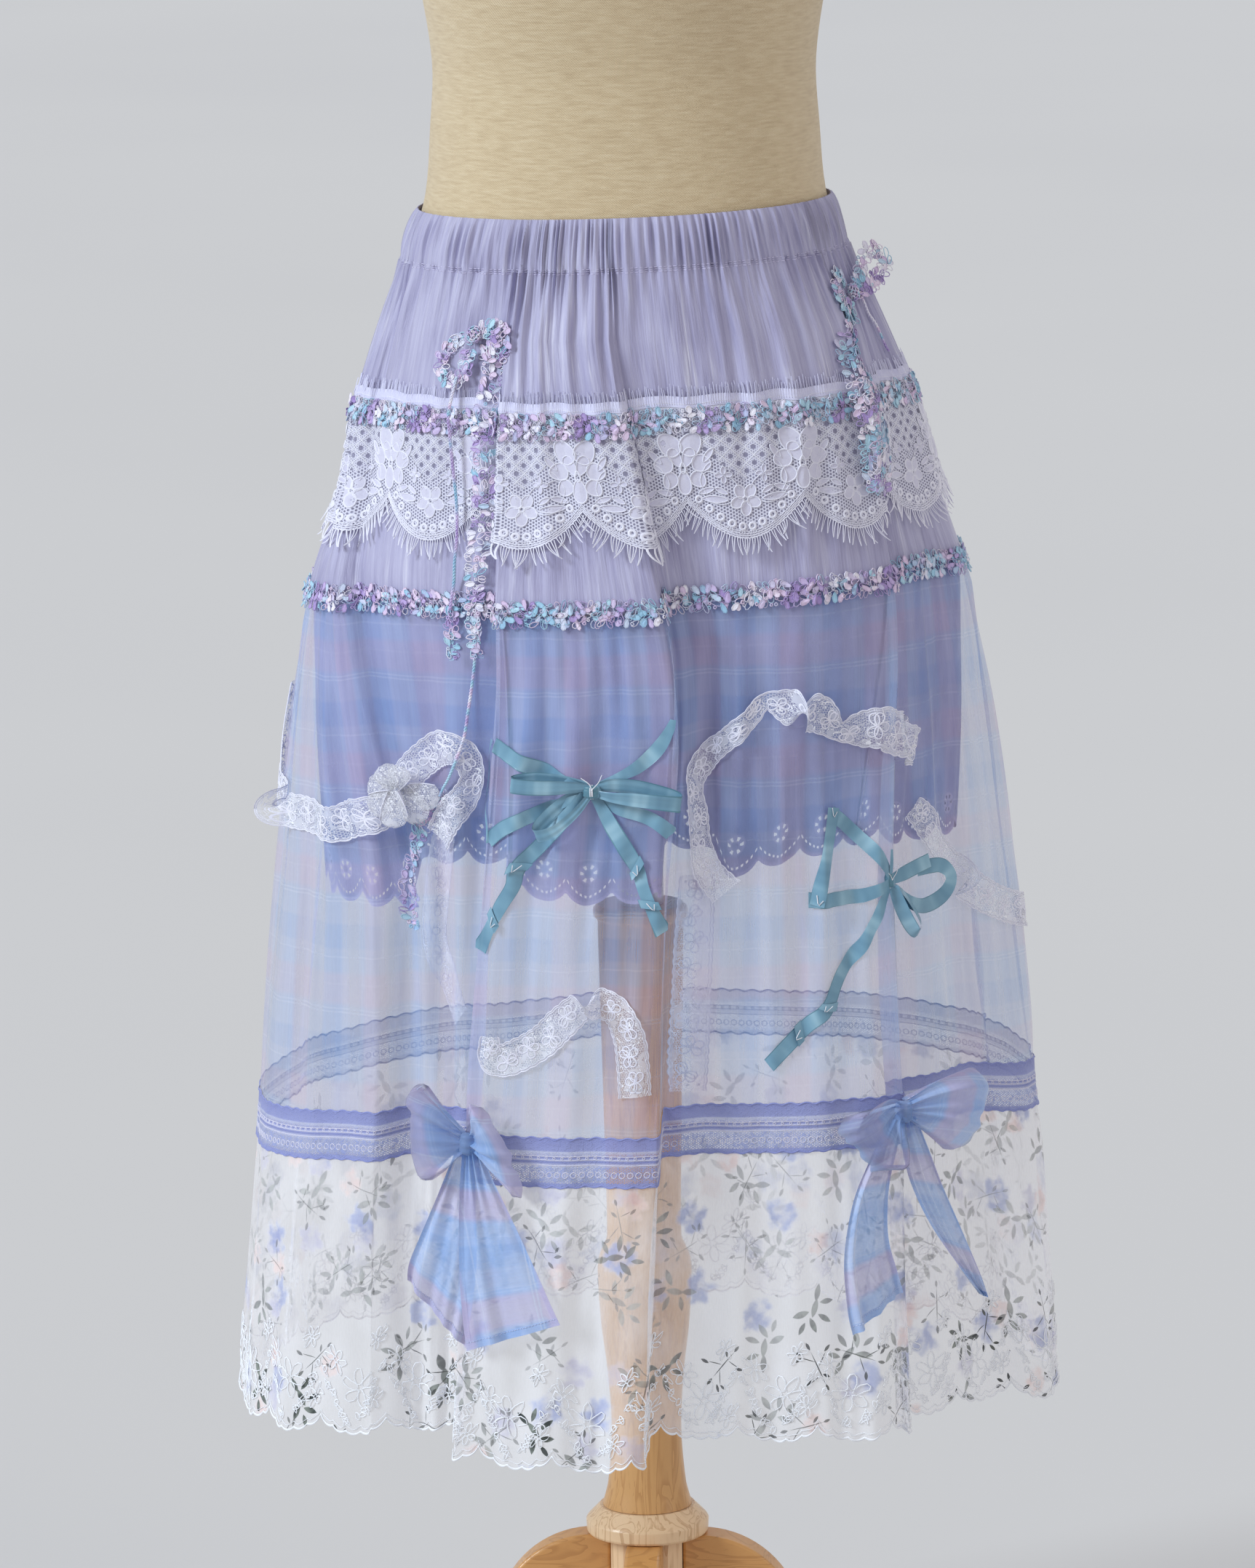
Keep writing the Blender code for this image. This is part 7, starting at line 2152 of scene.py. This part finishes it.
def curved_leg(name, turn):
    """One leg as a thick outline with rounded edges, from the hub to the foot."""
    radius, centre = 0.068, np.array((0.036, HUB_TOP - 0.068))
    a = np.radians(np.linspace(90, 20, 16))[:, None]
    shoulder = centre + radius * np.concatenate([np.cos(a), np.sin(a)], -1)
    pieces = [np.array(((HUB_HALF, HUB_TOP),)), shoulder[:-1]]
    for rows in (LEG_UPPER, LEG_LOWER):
        rows = np.array(rows)
        pieces.append(spline(rows, 4 * MM, np.linalg.norm(np.diff(rows, axis=0), axis=-1)))
    outline = np.concatenate(pieces)
    outline[:, 1] = np.maximum(outline[:, 1], 0.0)
    count = len(outline)
    points = np.concatenate([np.stack([outline[:, 0] * math.cos(turn) - across * math.sin(turn),
                                       outline[:, 0] * math.sin(turn) + across * math.cos(turn),
                                       outline[:, 1]], -1) for across in (-LEG_HALF, LEG_HALF)])
    faces = [tuple(range(count)), tuple(reversed(range(count, 2 * count)))]
    faces += [(k, k + count, (k + 1) % count + count, (k + 1) % count) for k in range(count)]
    mesh = bpy.data.meshes.new(name)
    mesh.from_pydata(points.tolist(), [], faces)
    mesh.materials.append(PINE_FLAT)
    mesh.shade_smooth()
    mesh.set_sharp_from_angle(angle=math.radians(35))
    obj = added(name, mesh)
    soften(obj)
    return obj


# Camera, light and floor

CAMERA_PLACE = Vector((-0.0075, -5.0, 1.644))
CAMERA_PITCH = math.radians(11.04)
CAMERA_ROLL = math.radians(0.7)
LENS = 176.48
SENSOR_WIDTH = 36
FLOOR_HALF = 60.0


def build_camera():
    """Long lens at the front, slightly above and looking down."""
    data = bpy.data.cameras.new("camera")
    data.lens = LENS
    data.sensor_width = SENSOR_WIDTH
    camera = added("camera", data)
    forward = Vector((0, math.cos(CAMERA_PITCH), -math.sin(CAMERA_PITCH)))
    right = Vector((1, 0, 0))
    up = right.cross(forward)
    turned_right = right * math.cos(CAMERA_ROLL) - up * math.sin(CAMERA_ROLL)
    turned_up = up * math.cos(CAMERA_ROLL) + right * math.sin(CAMERA_ROLL)
    matrix = Matrix((turned_right, turned_up, -forward)).transposed().to_4x4()
    matrix.translation = CAMERA_PLACE
    camera.matrix_world = matrix
    bpy.context.scene.camera = camera


def sun_light(name, direction, strength, spread, colour):
    """Even light from a direction; spread in degrees softens its shadows."""
    data = bpy.data.lights.new(name, "SUN")
    data.energy = strength
    data.angle = math.radians(spread)
    data.color = colour
    added(name, data).rotation_euler = Vector(direction).to_track_quat("Z", "Y").to_euler()


def build_studio():
    """Pale floor and soft light from above, both sides and the front."""
    look = Look("floor", roughness=0.85, specular=0.1)
    look.colour(look.mix(look.noise(look.place(), 0.6, 2), (206, 204, 203), (200, 198, 198)))
    mesh = bpy.data.meshes.new("floor")
    h = FLOOR_HALF
    mesh.from_pydata([(-h, -h, 0), (h, -h, 0), (h, h, 0), (-h, h, 0)], [], [(0, 1, 2, 3)])
    mesh.materials.append(look.material)
    added("floor", mesh)
    sun_light("key", (-1.4, -0.65, 0.95), 2.5, 20, (0.83, 0.925, 1.0))
    sun_light("fill", (1.3, -0.7, 0.8), 0.45, 40, (1.0, 0.92, 0.84))
    sun_light("back", (0.5, 1.2, 1.3), 0.55, 40, (1.0, 0.99, 0.98))
    world = bpy.data.worlds.new("studio")
    world.use_nodes = True
    background = world.node_tree.nodes["Background"]
    background.inputs["Color"].default_value = (0.91, 0.93, 0.97, 1)
    background.inputs["Strength"].default_value = 0.50
    bpy.context.scene.world = world
    bpy.context.scene.view_settings.view_transform = "Standard"


build_camera()
build_studio()
build_main_cloth()
build_flounce()
build_trims()
build_tatted_bows()
build_satin_bows()
build_lace_ribbons()
build_organza_bows()
build_sewing()
build_form()
build_stand()
